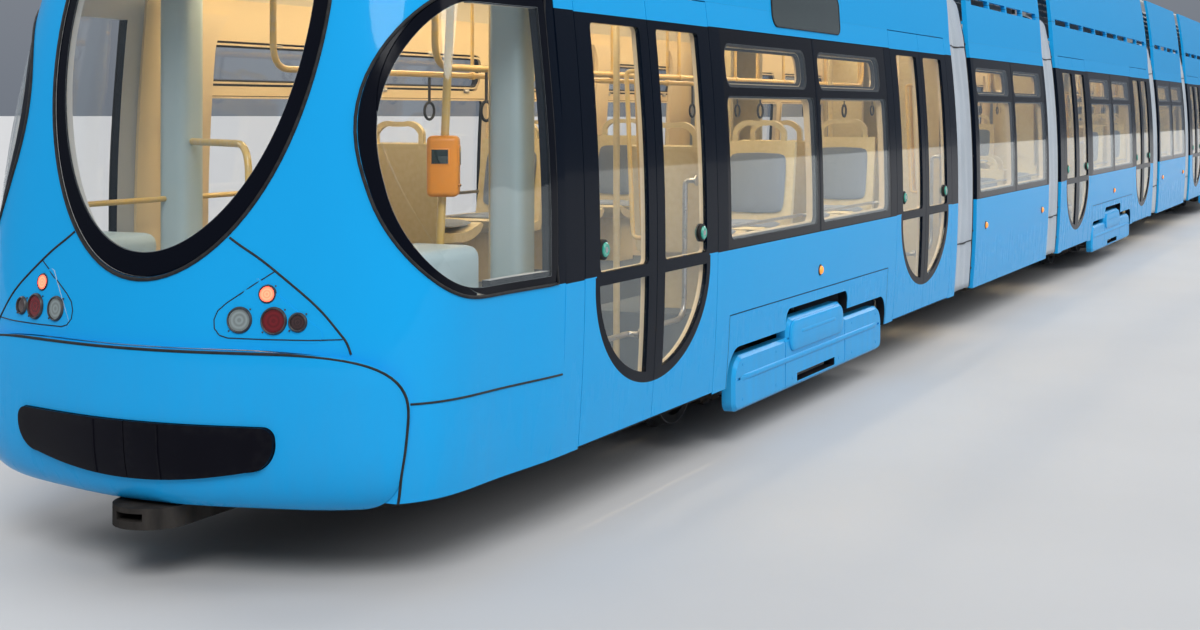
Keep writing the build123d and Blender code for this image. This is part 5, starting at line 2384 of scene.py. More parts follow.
@dataclass
class EndFittings:
    """Gaskets, lamp bezels and trims of one end of the tram.

    Args:
        node: "nose" or "tail".
        body: Body that it rides on.
        way: Sign of X at this end.
        wiper: Whether it has a wiper.
        lamps: Lenses, as listed for the finish.
    """

    node: str
    body: str
    way: int
    wiper: bool
    lamps: tuple[Lens, ...]

    LAMP_PANEL = (
        (0.550, 1.180), (0.505, 1.150), (0.380, 1.064), (0.347, 1.034), (0.335, 1.002), (0.339, 0.970),
        (0.361, 0.946), (0.393, 0.937), (0.535, 0.935), (0.700, 0.936), (0.812, 0.940),
    )
    PANEL_JOINT = (
        (0.368, 1.300), (0.414, 1.270), (0.470, 1.238), (0.523, 1.203), (0.615, 1.136), (0.689, 1.080),
        (0.746, 1.028), (0.823, 0.935), (0.835, 0.908), (0.842, 0.886)
    )

    def build(self) -> list[Piece]:
        """Makes the fittings.

        Returns:
            The pieces.
        """
        made = [
            self._gaskets(), self._bezels(), self._coupling(), self._bumper_trim(), self._seams(),
            self._bumper_gap_shade()
        ]
        if self.wiper:
            made.append(self._wiper())
        return made

    def _screen_point(self, angle: float, scale: float, lift: float) -> Vector:
        """Point on the shell near the screen's outline.

        Args:
            angle: Angle round the screen, from its right side.
            scale: Scale of the outline.
            lift: Height over the surface.

        Returns:
            The point.
        """
        w = EndWindows
        high = w.SCREEN_HIGH if math.sin(angle) > 0 else w.SCREEN_LOW
        y = w.SCREEN_WIDE * scale * math.cos(angle)
        z = w.SCREEN_Z + high * scale * math.sin(angle)
        place, normal = self._behind(y, z)
        return place + normal * lift

    def _behind(self, y: float, z: float, node: str = "") -> tuple[Vector, Vector]:
        """Finds a surface of the end, looking along the tram."""
        return touch(node or self.node + "_shell", (self.way * BEYOND_END, y, z), (-self.way, 0, 0))

    def _gaskets(self) -> Piece:
        """Rubber sections round the screen and the side lights.

        Returns:
            The piece.
        """
        shape = Shape()
        steps = 96
        shape.tube(
            [self._screen_point(math.tau * k / steps, 1.014, 0.002) for k in range(steps)], 0.0075, 8,
            loop=True
        )
        w = EndWindows
        flat = w.LIGHT_U - w.LIGHT_START
        low, high = w.LIGHT_Z - w.LIGHT_BELOW, w.LIGHT_Z + w.LIGHT_ABOVE
        for side in Side:
            path = [w.light_edge(math.radians(-90 + 180 * k / 40), 0.006) for k in range(41)]
            path += [(w.LIGHT_START + flat * (1 - k / 8), high + 0.006) for k in range(1, 9)]
            path += [(w.LIGHT_START, high - (high - low) * k / 16) for k in range(1, 16)]
            path += [(w.LIGHT_START + flat * k / 8, low - 0.006) for k in range(8)]
            shape.tube([self._side_point(u, z, side) for u, z in path], 0.0070, 8, loop=True)
        return shape.object(f"{self.node}_gaskets", self.body, ["rubber"])

    def _side_point(self, u: float, z: float, side: Side) -> Vector:
        """Point on the shell near a side light's outline."""
        place, normal = from_side(self.node + "_shell", self.way * (JOINT_X + u), z, side)
        return place + normal * 0.002

    def _bezels(self) -> Piece:
        """Dark rings round the lenses and screws beside them.

        Returns:
            The piece.
        """
        shape = Shape()
        for y, z, radius, _, _ in self.lamps:
            for side in (-1, 1):
                place, _ = self._behind(side * y, z, self.node + "_lamps")
                edge, axis = self._behind(side * (y + radius + 0.012), z + 0.004)
                centre = place - axis * (place - edge).dot(axis)
                ring = []
                pick = axis.cross(Vector((0, 0, 1))).normalized()
                other = axis.cross(pick)
                for a in turns(32):
                    out = math.cos(a) * pick + math.sin(a) * other
                    ring.append(
                        [
                            centre + out * r + axis * h
                            for r, h in (
                                (radius + 0.001, 0.0), (radius + 0.0015, 0.008), (radius + 0.0045, 0.010),
                                (radius + 0.008, 0.006), (radius + 0.0095, 0.0)
                            )
                        ]
                    )
                shape.grid(ring, along=True)
                for a in (math.radians(45), math.radians(225)):
                    out = math.cos(a) * pick + math.sin(a) * other
                    shape.lathe(
                        centre + out * (radius + 0.017), axis,
                        [(-0.002, 0.0032), (0.002, 0.0032), (0.003, 0.002)], 8
                    )
        return shape.object(f"{self.node}_lamp_bezels", self.body, ["carbon"])

    def _end_point(self, y: float, z: float) -> Vector:
        """Point just over the shell, found along the tram."""
        place, normal = self._behind(y, z)
        return place + normal * 0.0005

    def _seams(self) -> Piece:
        """Dark sealed joints between the moulded panels, and a dark line round the raised lamp panel that is
        painted shade in its groove.

        Returns:
            The piece.
        """
        shape = Shape()
        for side in Side:
            way = side.value
            shape.tube(
                rounded([self._end_point(way * y, z) for y, z in self.PANEL_JOINT], 0.05, 3), 0.0045, 6
            )
            # Painted shade: the thin black tube round the raised lamp panel stands for the shade in its
            # groove.
            line = self.LAMP_PANEL
            lamp_panel_shade_path = [
                Vector(a).lerp(Vector(b), k / 6) for a, b in zip(line, line[1:]) for k in range(6)
            ] + [Vector(line[-1])]
            shape.tube([self._end_point(way * p[0], p[1]) for p in lamp_panel_shade_path], 0.0022, 6)
            low = [self._side_point(1.015 - 1.000 * k / 24, 0.700 - 0.020 * k / 24, side) for k in range(25)]
            shape.tube([p - Vector((0, way * 0.0015, 0)) for p in low], 0.0045, 6)
        return shape.object(f"{self.node}_panel_seams", self.body, ["rubber"])

    def _bumper_gap_shade(self) -> Piece:
        """Dark line along the bumper's outline, painted shade in the gap between bumper and shell.

        Returns:
            The piece.
        """
        shape = Shape()
        lines = [self._seam_line(grow) for grow in (-0.007, 0.007)]
        path = [max(pair, key=lambda p: abs(p.x) + abs(p.y)) for pair in zip(*lines)]
        for _ in range(4):
            path = [path[0], *((a + 2 * b + c) / 4 for a, b, c in zip(path, path[1:], path[2:])), path[-1]]
        # Painted shade: this black tube stands for the shadowed gap between the bumper and the shell.
        shape.tube([p for a, p in zip([None, *path], path) if a is None or (p - a).length > 0.004], 0.0055, 8)
        return shape.object(f"{self.node}_bumper_gap_shade", self.body, ["rubber"])

    def _seam_line(self, grow: float) -> list[Vector]:
        """Line over the end's skin, parallel to the bumper's outline.

        Args:
            grow: How far outside the outline it runs.

        Returns:
            Its points, from the left side to the right.
        """
        top, start, corner = 0.894 + grow, 1.028 - grow, 0.232 + grow
        turn = [math.radians(90) * k / 16 for k in range(1, 17)]
        outline = [(start + corner - corner * math.sin(a), top - corner + corner * math.cos(a)) for a in turn]
        outline += [(start, top - corner - (top - corner - 0.335) * k / 12) for k in range(1, 13)]
        run = {}
        for side in Side:
            run[side] = [
                self._outermost((self.way * (JOINT_X + u), side.value * BESIDE, z), (0, -side.value, 0))
                for u, z in outline
            ]
        reach = abs(run[Side.LEFT][0].y) - 0.02
        across = [
            self._outermost((self.way * BEYOND_END, reach - 2 * reach * k / 56, top), (-self.way, 0, 0))
            for k in range(57)
        ]
        return run[Side.LEFT][::-1] + across + run[Side.RIGHT]

    def _outermost(self, origin: Point, heading: Point) -> Vector:
        """First point that a ray meets on the shell or the bumper.

        Args:
            origin: Where the ray starts.
            heading: Its direction.

        Returns:
            The point.

        Raises:
            RuntimeError: If the ray misses both.
        """
        found = []
        for part in ("_shell", "_bumper"):
            hit, place, _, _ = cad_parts[self.node + part].ray_cast(Vector(origin), Vector(heading))
            if hit:
                found.append(place.copy())
        if not found:
            raise RuntimeError(f"ray from {origin} misses the {self.node}")
        return min(found, key=lambda place: (place - Vector(origin)).length)

    def _bumper_trim(self) -> Piece:
        """Raised joints between the rubber pad's three lengths.

        Returns:
            The piece.
        """
        shape = Shape()
        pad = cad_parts[self.node + "_pad"]
        for y in (-0.150, 0.150):
            rows = []
            for i in range(25):
                origin = Vector((self.way * BEYOND_END, y, 0.415 + 0.20 * i / 24))
                hit, place, normal, _ = pad.ray_cast(origin, Vector((-self.way, 0, 0)))
                if hit and abs(normal.x) > 0.75:
                    rows.append(
                        [
                            place + normal * h + Vector((0, w, 0))
                            for w, h in ((-0.006, -0.002), (-0.004, 0.004), (0.004, 0.004), (0.006, -0.002))
                        ]
                    )
            if len(rows) > 3:
                shape.closed(rows)
        return shape.object(f"{self.node}_pad_ribs", self.body, ["pad_rubber"])

    def _coupling(self) -> Piece:
        """Pin, chain and bolts of the coupling under the bumper.

        Returns:
            The piece.
        """
        shape = Shape()
        x = self.way * (HALF_LENGTH - 0.17)
        shape.lathe(
            (x, 0, 0.226), (0, 0, 1), [(0.0, 0.017), (0.010, 0.021), (0.072, 0.021), (0.080, 0.014)], 20
        )
        low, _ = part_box(f"{self.node}_bumper")
        for dx, dy in ((-0.22, 0.06), (-0.22, -0.06), (-0.34, 0.06), (-0.34, -0.06)):
            shape.lathe(
                (x + self.way * dx, dy, max(low.z - 0.001, 0.262)), (0, 0, -1),
                [(0.0, 0.015), (0.012, 0.015), (0.014, 0.012)], 6
            )
        links = 14
        for k in range(links):
            t = k / (links - 1)
            centre = Vector(
                (x - self.way * 0.20 * t, 0.075 + 0.01 * t, 0.255 - 0.055 * math.sin(math.pi * t))
            )
            turn = Matrix.Rotation(math.radians(90 * (k % 2)), 3, "X")
            ring = [
                centre + turn @ Vector((0.011 * math.cos(a), 0.0065 * math.sin(a), 0.0)) for a in turns(12)
            ]
            shape.tube(ring, 0.0022, 6, loop=True)
        return shape.object(f"{self.node}_coupling_pin", self.body, ["cast_iron"])

    def _wiper(self) -> Piece:
        """Wiper arm and blade over the front screen.

        Returns:
            The piece.
        """
        shape = Shape()
        glass = "section_a_glazing"
        foot, normal = self._behind(0.02, 1.115)
        shape.lathe(
            foot - normal * 0.004, normal, [(0.0, 0.028), (0.020, 0.026), (0.030, 0.020), (0.034, 0.010)],
            20
        )
        arm = []
        for i in range(13):
            t = i / 12
            y, z = 0.02 + 0.20 * t, 1.115 + 0.80 * t
            place, normal = self._behind(y, z, glass if z > 1.21 else "")
            arm.append(place + normal * (0.022 + 0.012 * math.sin(math.pi * t)))
        shape.tube(arm, [0.010 - 0.004 * i / 12 for i in range(13)], 8)
        rows = []
        for i in range(21):
            t = i / 20
            y, z = 0.19 + 0.05 * t, 1.45 + 0.86 * t
            place, normal = self._behind(y, z, glass)
            across = normal.cross(Vector((0, 0, 1))).normalized()
            rows.append(
                [
                    place + normal * h + across * w
                    for w, h in (
                        (-0.002, 0.001), (-0.008, 0.012), (-0.005, 0.019), (0.005, 0.019), (0.008, 0.012),
                        (0.002, 0.001)
                    )
                ]
            )
        shape.closed(rows)
        return shape.object(f"{self.node}_wiper", self.body, ["rubber"])


@dataclass
class EndShell:
    """An end's shell with its side lights opened to their full outline, and the glass that fills the rest.

    Args:
        node: "nose" or "tail".
        body: Body that it rides on.
        way: Sign of X at this end.
    """

    node: str
    body: str
    way: int

    OLD_Z = 1.650
    OLD_REACH = 0.400
    OLD_HIGH = 0.585
    CENTRE = (0.590, 1.600)

    def build(self) -> list[Piece]:
        """Makes the shell and the added glass.

        Returns:
            The pieces.
        """
        glass = self._glass()
        shell = self._shell()
        return [glass, shell]

    def _shell(self) -> Piece:
        """Cuts the side lights' outline out of a copy of the shell.

        Returns:
            The piece that stands for the shell.
        """
        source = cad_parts[self.node + "_shell"]
        mesh = source.data.copy()
        bm = bmesh.new()
        bm.from_mesh(mesh)
        bmesh.ops.remove_doubles(bm, verts=bm.verts, dist=0.00002)
        bm.to_mesh(mesh)
        bm.free()
        shell = bpy.data.objects.new(self.node + "_outer_shell", mesh)
        bpy.context.scene.collection.objects.link(shell)
        cutter = self._cutter()
        cut = shell.modifiers.new("lights", "BOOLEAN")
        cut.object = cutter
        cut.operation = "DIFFERENCE"
        cut.solver = "EXACT"
        baked(shell)
        bpy.data.objects.remove(cutter)
        keep_normals(shell.data, source.data)
        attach(shell, self.body)
        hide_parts(self.node + "_shell")
        return shell

    def _cutter(self) -> Piece:
        """Makes the block that passes through both side lights.

        Returns:
            The block.
        """
        edge = [EndWindows.light_edge(math.radians(-90 + 180 * k / 48)) for k in range(49)]
        outline = [(0.575, edge[0][1]), *edge, (0.575, edge[-1][1])]
        shape = Shape()
        for side in Side:
            rings = [
                [Vector((self.way * (JOINT_X + u), side.value * y, z)) for u, z in outline]
                for y in (0.690, 1.300)
            ]
            shape.closed(rings)
        return shape.loose(self.node + "_light_block", ["rubber"])

    def _radius(self, angle: float, new: bool) -> float:
        """Distance from the light's middle to an outline.

        Args:
            angle: Direction, in radians.
            new: Whether it is the full outline.

        Returns:
            The distance.
        """
        low, high = 0.05, 1.2
        for _ in range(40):
            middle = (low + high) / 2
            u = self.CENTRE[0] + middle * math.cos(angle)
            z = self.CENTRE[1] + middle * math.sin(angle)
            w = EndWindows
            if new:
                above = z > w.LIGHT_Z
                power = 2.0 if above else w.LIGHT_FULL
                across = max(u - w.LIGHT_U, 0.0) / w.LIGHT_REACH
                rise = abs(z - w.LIGHT_Z) / (w.LIGHT_ABOVE if above else w.LIGHT_BELOW)
            else:
                power = 2.0
                across = (u - w.LIGHT_U) / self.OLD_REACH
                rise = (z - self.OLD_Z) / self.OLD_HIGH
            value = across**power + rise**power
            low, high = (middle, high) if value < 1 else (low, middle)
        return low

    def _glass(self) -> Piece:
        """Makes the glass between the solids' light and the full outline.

        Returns:
            The piece.
        """
        shape = Shape()
        for side in Side:
            rows = []
            for k in range(61):
                angle = math.radians(-80 + 160 * k / 60)
                inner, outer = self._radius(angle, False) + 0.0035, self._radius(angle, True) + 0.010
                if outer - inner < 0.012:
                    continue
                line = [inner + (outer - inner) * i / 5 for i in range(6)]
                points = []
                for r in line:
                    u, z = self.CENTRE[0] + r * math.cos(angle), self.CENTRE[1] + r * math.sin(angle)
                    place, normal = from_side(self.node + "_shell", self.way * (JOINT_X + u), z, side)
                    points.append((place, normal))
                rows.append([p - n * 0.001 for p, n in points] + [p - n * 0.007 for p, n in reversed(points)])
            shape.closed(rows)
        return shape.object(self.node + "_light_glass", self.body, ["glass_" + self.body])


@dataclass
class CoverMouldings:
    """Raised plate and long beads on the outer faces of a bogie's side covers.

    Args:
        body: Bogie that they ride on.
        x: Middle of the bogie.
        face: Outer face of the covers.
    """

    body: str
    x: float
    face: float = 1.122

    def build(self) -> list[Piece]:
        """Makes the mouldings.

        Returns:
            The piece.
        """
        shape = Shape()
        for side in Side:
            self._plate(shape, side)
            self._bead(shape, side, -1.285, 1.285, 0.359, 0.017)
            self._bead(shape, side, -0.330, 0.350, 0.500, 0.014, 0.012)
        return [shape.object(f"{self.body}_cover_mouldings", self.body, ["cover_paint"])]

    def _plate(self, shape: Shape, side: Side) -> None:
        """Adds the raised middle plate.

        Args:
            shape: Piece it joins.
            side: Which side.
        """
        base = round_rectangle(-0.500, 0.500, 0.398, 0.573, 0.070, 6)
        steps = (
            (1.0, 1.0, -0.004), (1.0, 1.0, 0.006), (0.990, 0.94, 0.011), (0.975, 0.84, 0.014),
            (0.90, 0.30, 0.0145)
        )
        rings = []
        for wide, high, lift in steps:
            rings.append(
                [
                    Vector((self.x + x * wide, side.value * (self.face + lift), 0.4855 + (z - 0.4855) * high))
                    for x, z in base
                ]
            )
        shape.closed(rings)

    def _bead(
        self, shape: Shape, side: Side, a: float, b: float, z: float, radius: float, base: float = 0.0
    ) -> None:
        """Adds one half-round bead that fades into the face at its ends.

        Args:
            shape: Piece it joins.
            side: Which side.
            a: Its start.
            b: Its end.
            z: Its height.
            radius: Half its width.
            base: How far what carries it stands over the face.
        """
        rows = []
        for k in range(41):
            t = k / 40
            fade = math.sqrt(max(0.0, 1 - (2 * t - 1) ** 16))
            ring = []
            for i in range(9):
                turn = math.pi * i / 8
                ring.append(
                    Vector(
                        (
                            self.x + a + (b - a) * t,
                            side.value * (self.face + base - 0.002 + 0.55 * radius * math.sin(turn) * fade),
                            z - radius * math.cos(turn)
                        )
                    )
                )
            rows.append(ring)
        shape.closed(rows)


@dataclass
class SideFittings:
    """Marker lamps and the blank display on the outside of the walls.

    Args:
        section: The section.
        marker_z: Height of the marker lamps.
        marker_radius: Their radius.
    """

    section: Section
    marker_z: float = 0.824
    marker_radius: float = 0.026

    def build(self) -> list[Piece]:
        """Makes the fittings.

        Returns:
            The pieces.
        """
        name = self.section.name
        shape = Shape()
        middle = self.section.bogie
        places = (middle,) if self.section.kind is not Kind.MID else (middle - 1.2, middle + 1.2)
        for x in places:
            for side in Side:
                place, normal = from_side(name + "_walls", x, self.marker_z, side)
                shape.paint = 1
                shape.lathe(
                    place - normal * 0.001, normal,
                    [
                        (0.0, self.marker_radius + 0.008), (0.004, self.marker_radius + 0.007),
                        (0.006, self.marker_radius + 0.002)
                    ],
                    28
                )
                shape.paint = 0
                shape.lathe(
                    place + normal * 0.003, normal,
                    [
                        (0.0, self.marker_radius), (0.008, self.marker_radius * 0.94),
                        (0.014, self.marker_radius * 0.7), (0.017, self.marker_radius * 0.3)
                    ],
                    28
                )
        made = [shape.object(f"{name}_markers", name, ["marker_amber", "rubber"])]
        if self.section.kind is Kind.REAR:
            made.append(self._display(-11.92, -10.65, Side.RIGHT))
        if self.section.kind is Kind.FRONT:
            made.append(self._display(10.65, 11.92, Side.LEFT))
        return made

    def _display(self, x0: float, x1: float, side: Side) -> Piece:
        """Adds the blank side display over the windows.

        Args:
            x0: Its start.
            x1: Its end.
            side: Which side.

        Returns:
            The piece.
        """
        shape = Shape()
        name = self.section.name
        outline = round_rectangle(x0, x1, 2.235, 2.475, 0.07, 8)

        def on_skin(x: float, z: float, lift: float) -> Vector:
            node = name + ("_walls" if z < PANEL_Z else "_roof")
            place, normal = from_side(node, x, z if abs(z - 2.32) > 0.004 else z + 0.008, side)
            return place + normal * lift

        cx, cz = (x0 + x1) / 2, 2.355
        rings = []
        for scale, lift in (
            (1.0, 0.0), (0.996, 0.006), (0.965, 0.0075), (0.955, 0.0045), (0.60, 0.0048), (0.2, 0.005)
        ):
            across = 1 - (1 - scale) * 0.35 if scale > 0.9 else scale
            ring = [on_skin(cx + (x - cx) * across, cz + (z - cz) * scale, lift) for x, z in outline]
            rings.append(ring)
        for k, (first, second) in enumerate(zip(rings, rings[1:])):
            shape.paint = 0 if k < 3 else 1
            shape.grid([first, second], around=True)
        verts = [shape.bm.verts.new(p) for p in rings[-1]]
        shape.bm.faces.new(verts).material_index = 1
        bmesh.ops.remove_doubles(shape.bm, verts=shape.bm.verts, dist=0.0001)
        return shape.object(f"{name}_display", name, ["rubber", "display_glass"])


def fastener_tree() -> bpy.types.NodeTree:
    """Geometry node group that sets hexagon heads or screws on the points of a mesh.

    Returns:
        The group, with inputs Radius, Height, Sides and Finish.
    """
    tree = bpy.data.node_groups.new("fasteners", "GeometryNodeTree")
    for label, kind in (
        ("Geometry", "NodeSocketGeometry"), ("Radius", "NodeSocketFloat"), ("Height", "NodeSocketFloat"),
        ("Sides", "NodeSocketInt"), ("Finish", "NodeSocketMaterial")
    ):
        tree.interface.new_socket(label, in_out="INPUT", socket_type=kind)
    tree.interface.new_socket("Geometry", in_out="OUTPUT", socket_type="NodeSocketGeometry")
    g = Graph(tree)
    start, end = g.node("NodeGroupInput"), g.node("NodeGroupOutput")
    head = g.node("GeometryNodeMeshCylinder")
    tree.links.new(start.outputs["Sides"], head.inputs["Vertices"])
    tree.links.new(start.outputs["Radius"], head.inputs["Radius"])
    tree.links.new(start.outputs["Height"], head.inputs["Depth"])
    washer = g.node("GeometryNodeMeshCylinder")
    washer.inputs["Vertices"].default_value = 14
    g.put(washer.inputs["Radius"], g.mul(start.outputs["Radius"], 1.45))
    g.put(washer.inputs["Depth"], g.mul(start.outputs["Height"], 0.35))
    join = g.node("GeometryNodeJoinGeometry")
    tree.links.new(head.outputs["Mesh"], join.inputs[0])
    tree.links.new(washer.outputs["Mesh"], join.inputs[0])
    aim = g.node("FunctionNodeAlignEulerToVector", axis="Z")
    normal = g.node("GeometryNodeInputNamedAttribute", data_type="FLOAT_VECTOR")
    normal.inputs["Name"].default_value = "heading"
    tree.links.new(normal.outputs[0], aim.inputs["Vector"])
    place = g.node("GeometryNodeInstanceOnPoints")
    tree.links.new(start.outputs["Geometry"], place.inputs["Points"])
    tree.links.new(join.outputs[0], place.inputs["Instance"])
    tree.links.new(aim.outputs[0], place.inputs["Rotation"])
    real = g.node("GeometryNodeRealizeInstances")
    tree.links.new(place.outputs[0], real.inputs[0])
    paint = g.node("GeometryNodeSetMaterial")
    tree.links.new(real.outputs[0], paint.inputs["Geometry"])
    tree.links.new(start.outputs["Finish"], paint.inputs["Material"])
    tree.links.new(paint.outputs[0], end.inputs[0])
    return tree


class Fasteners:
    """Rows of screws and bolts, set on points by one geometry node group."""

    def __init__(self) -> None:
        """Builds the group."""
        self.tree = fastener_tree()

    def build(
        self, name: str, body: str, points: Iterable[tuple[Vector, Vector]], radius: float, height: float,
        sides: int, finish: str
    ) -> Piece:
        """Makes one piece of fasteners.

        Args:
            name: Piece name.
            body: CAD body it rides on.
            points: Place and outward direction of each.
            radius: Head radius.
            height: Head height.
            sides: Sides of the head.
            finish: Finish name.

        Returns:
            The piece.
        """
        listed = list(points)
        mesh = bpy.data.meshes.new(name)
        mesh.from_pydata([tuple(p) for p, _ in listed], [], [])
        heading = mesh.attributes.new("heading", "FLOAT_VECTOR", "POINT")
        heading.data.foreach_set("vector", [c for _, n in listed for c in n])
        carrier = bpy.data.objects.new(name, mesh)
        bpy.context.scene.collection.objects.link(carrier)
        nodes = carrier.modifiers.new("fasteners", "NODES")
        nodes.node_group = self.tree
        wanted = {"Radius": radius, "Height": height, "Sides": sides, "Finish": FINISHES[finish]}
        for item in self.tree.interface.items_tree:
            if item.in_out == "INPUT" and item.name in wanted:
                nodes[item.identifier] = wanted[item.name]
        baked(carrier)
        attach(carrier, body)
        return carrier


@dataclass
class RoofGear:
    """Fan grilles, louvres, lid bolts, cables and lifting eyes on a section's roof.

    Args:
        section: The section.
        deck: Height of the roof deck.
        lid_z: Height of a housing's lid.
        half: Half width of a housing.
    """

    section: Section
    deck: float = 2.490
    lid_z: float = 3.400
    half: float = 0.760

    def units(self) -> list[Pair]:
        """Lists the housings of the CAD roof.

        Returns:
            Their ends.
        """
        s = self.section
        span = s.x1 - s.x0
        count = 2 if span > 4.0 else 1
        pitch = span / count
        return [(s.x0 + i * pitch + 0.18, s.x0 + (i + 1) * pitch - 0.18) for i in range(count)]

    def build(self, fasteners: Fasteners) -> list[Piece]:
        """Makes the roof gear.

        Args:
            fasteners: The fastener maker.

        Returns:
            The pieces.
        """
        grilles, louvres, cables = Shape(), Shape(), Shape()
        bolts: list[tuple[Vector, Vector]] = []
        for a, b in self.units():
            long = b - a
            fans = max(2, round(long / 0.95))
            carries_arm = self.section.kind is Kind.CENTRE and b > 0.5
            for k in range(fans):
                x = a + (k + 0.5) * long / fans
                if not carries_arm:
                    self._fan(grilles, x)
            for side in Side:
                self._louvre(louvres, a + 0.10, b - 0.10, side)
                for k in range(int(long / 0.22)):
                    x = a + 0.08 + k * (long - 0.16) / max(1, int(long / 0.22) - 1)
                    bolts.append(
                        (
                            Vector((x, side.value * (self.half - 0.055), self.lid_z - 0.030)),
                            Vector((0, side.value * 0.6, 0.8)).normalized()
                        )
                    )
        self._cables(cables)
        name = self.section.name
        made = [
            louvres.object(f"{name}_roof_louvres", name, ["roof_grey"]),
            cables.object(f"{name}_roof_cables", name, ["rubber", "bare_steel", "roof_grey"]),
            fasteners.build(f"{name}_lid_bolts", name, bolts, 0.009, 0.007, 6, "bare_steel"),
        ]
        if len(grilles.bm.faces):
            made.append(grilles.object(f"{name}_fan_grilles", name, ["roof_grey", "cast_iron"]))
        return made

    def _fan(self, shape: Shape, x: float) -> None:
        """Adds a fan ring with its guard and blades.

        Args:
            shape: Piece it joins.
            x: Its middle.
        """
        z = self.lid_z - 0.002
        shape.paint = 0
        shape.lathe(
            (x, 0, z - 0.030), (0, 0, 1),
            [(0.0, 0.345), (0.030, 0.345), (0.034, 0.338), (0.0345, 0.325), (0.026, 0.312), (0.004, 0.310)],
            40
        )
        for r in (0.08, 0.14, 0.20, 0.26):
            shape.tube([(x + r * math.cos(a), r * math.sin(a), z) for a in turns(36)], 0.0028, 6, loop=True)
        for a in turns(6):
            shape.tube(
                [
                    (x + 0.04 * math.cos(a), 0.04 * math.sin(a), z - 0.001),
                    (x + 0.315 * math.cos(a), 0.315 * math.sin(a), z - 0.003)
                ],
                0.0035, 6
            )
        shape.paint = 1
        shape.lathe((x, 0, z - 0.060), (0, 0, 1), [(0.0, 0.060), (0.040, 0.060), (0.052, 0.045)], 20)
        for a in turns(7):
            rows = []
            for r in (0.055, 0.16, 0.29):
                wide = 0.10 + 0.35 * (0.3 - r)
                rows.append(
                    [
                        Vector(
                            (
                                x + r * math.cos(a + t * wide * 2), r * math.sin(a + t * wide * 2),
                                z - 0.040 + t * 0.030
                            )
                        )
                        for t in (-0.5, 0.0, 0.5)
                    ]
                )
            shape.grid(rows)

    def _louvre(self, shape: Shape, a: float, b: float, side: Side) -> None:
        """Adds louvred panels on a housing's side.

        Args:
            shape: Piece it joins.
            a: Start.
            b: End.
            side: Which side.
        """
        panels = max(2, round((b - a) / 0.8))
        wide = (b - a) / panels
        y = side.value * self.half
        for k in range(panels):
            x0, x1 = a + k * wide + 0.035, a + (k + 1) * wide - 0.035
            for level in range(9):
                z = 2.70 + level * 0.062
                profile = [
                    (y - side.value * 0.001, z), (y + side.value * 0.020, z - 0.016),
                    (y + side.value * 0.022, z - 0.012), (y - side.value * 0.001, z + 0.018)
                ]
                shape.closed([[Vector((x, py, pz)) for py, pz in profile] for x in (x0, x1)])

    def _cables(self, shape: Shape) -> None:
        """Adds cable runs and clips between the housings and the fairings.

        Args:
            shape: Piece it joins.
        """
        s = self.section
        for lane, (y, r) in enumerate(((0.815, 0.016), (0.850, 0.012), (-0.815, 0.016), (-0.850, 0.010))):
            path = [
                (
                    s.x0 + 0.05 + (s.x1 - s.x0 - 0.10) * i / 40, y + 0.004 * math.sin(0.9 * i + lane),
                    self.deck + r + 0.004 + 0.002 * math.sin(1.7 * i)
                )
                for i in range(41)
            ]
            shape.paint = 0
            shape.tube(path, r, 8)
        shape.paint = 1
        count = int((s.x1 - s.x0) / 0.55)
        for k in range(count):
            x = s.x0 + 0.25 + k * 0.55
            for y in (0.832, -0.832):
                shape.block(
                    (x - 0.015, y - 0.048, self.deck - 0.001), (x + 0.015, y + 0.048, self.deck + 0.006),
                    0.001
                )
                hoop = [
                    (x, y - 0.042, self.deck + 0.004), (x, y - 0.036, self.deck + 0.044),
                    (x, y + 0.036, self.deck + 0.044), (x, y + 0.042, self.deck + 0.004)
                ]
                shape.tube(rounded(hoop, 0.02), 0.004, 8)
        shape.paint = 2
        for x in (s.x0 + 0.07, s.x1 - 0.07):
            for y in (-0.55, 0.55):
                shape.block(
                    (x - 0.035, y - 0.05, self.deck - 0.001), (x + 0.035, y + 0.05, self.deck + 0.012),
                    0.003
                )
                eye = [
                    (x, y + 0.030 * math.cos(a), self.deck + 0.040 + 0.030 * math.sin(a)) for a in turns(20)
                ]
                shape.tube(eye, 0.007, 8, loop=True)


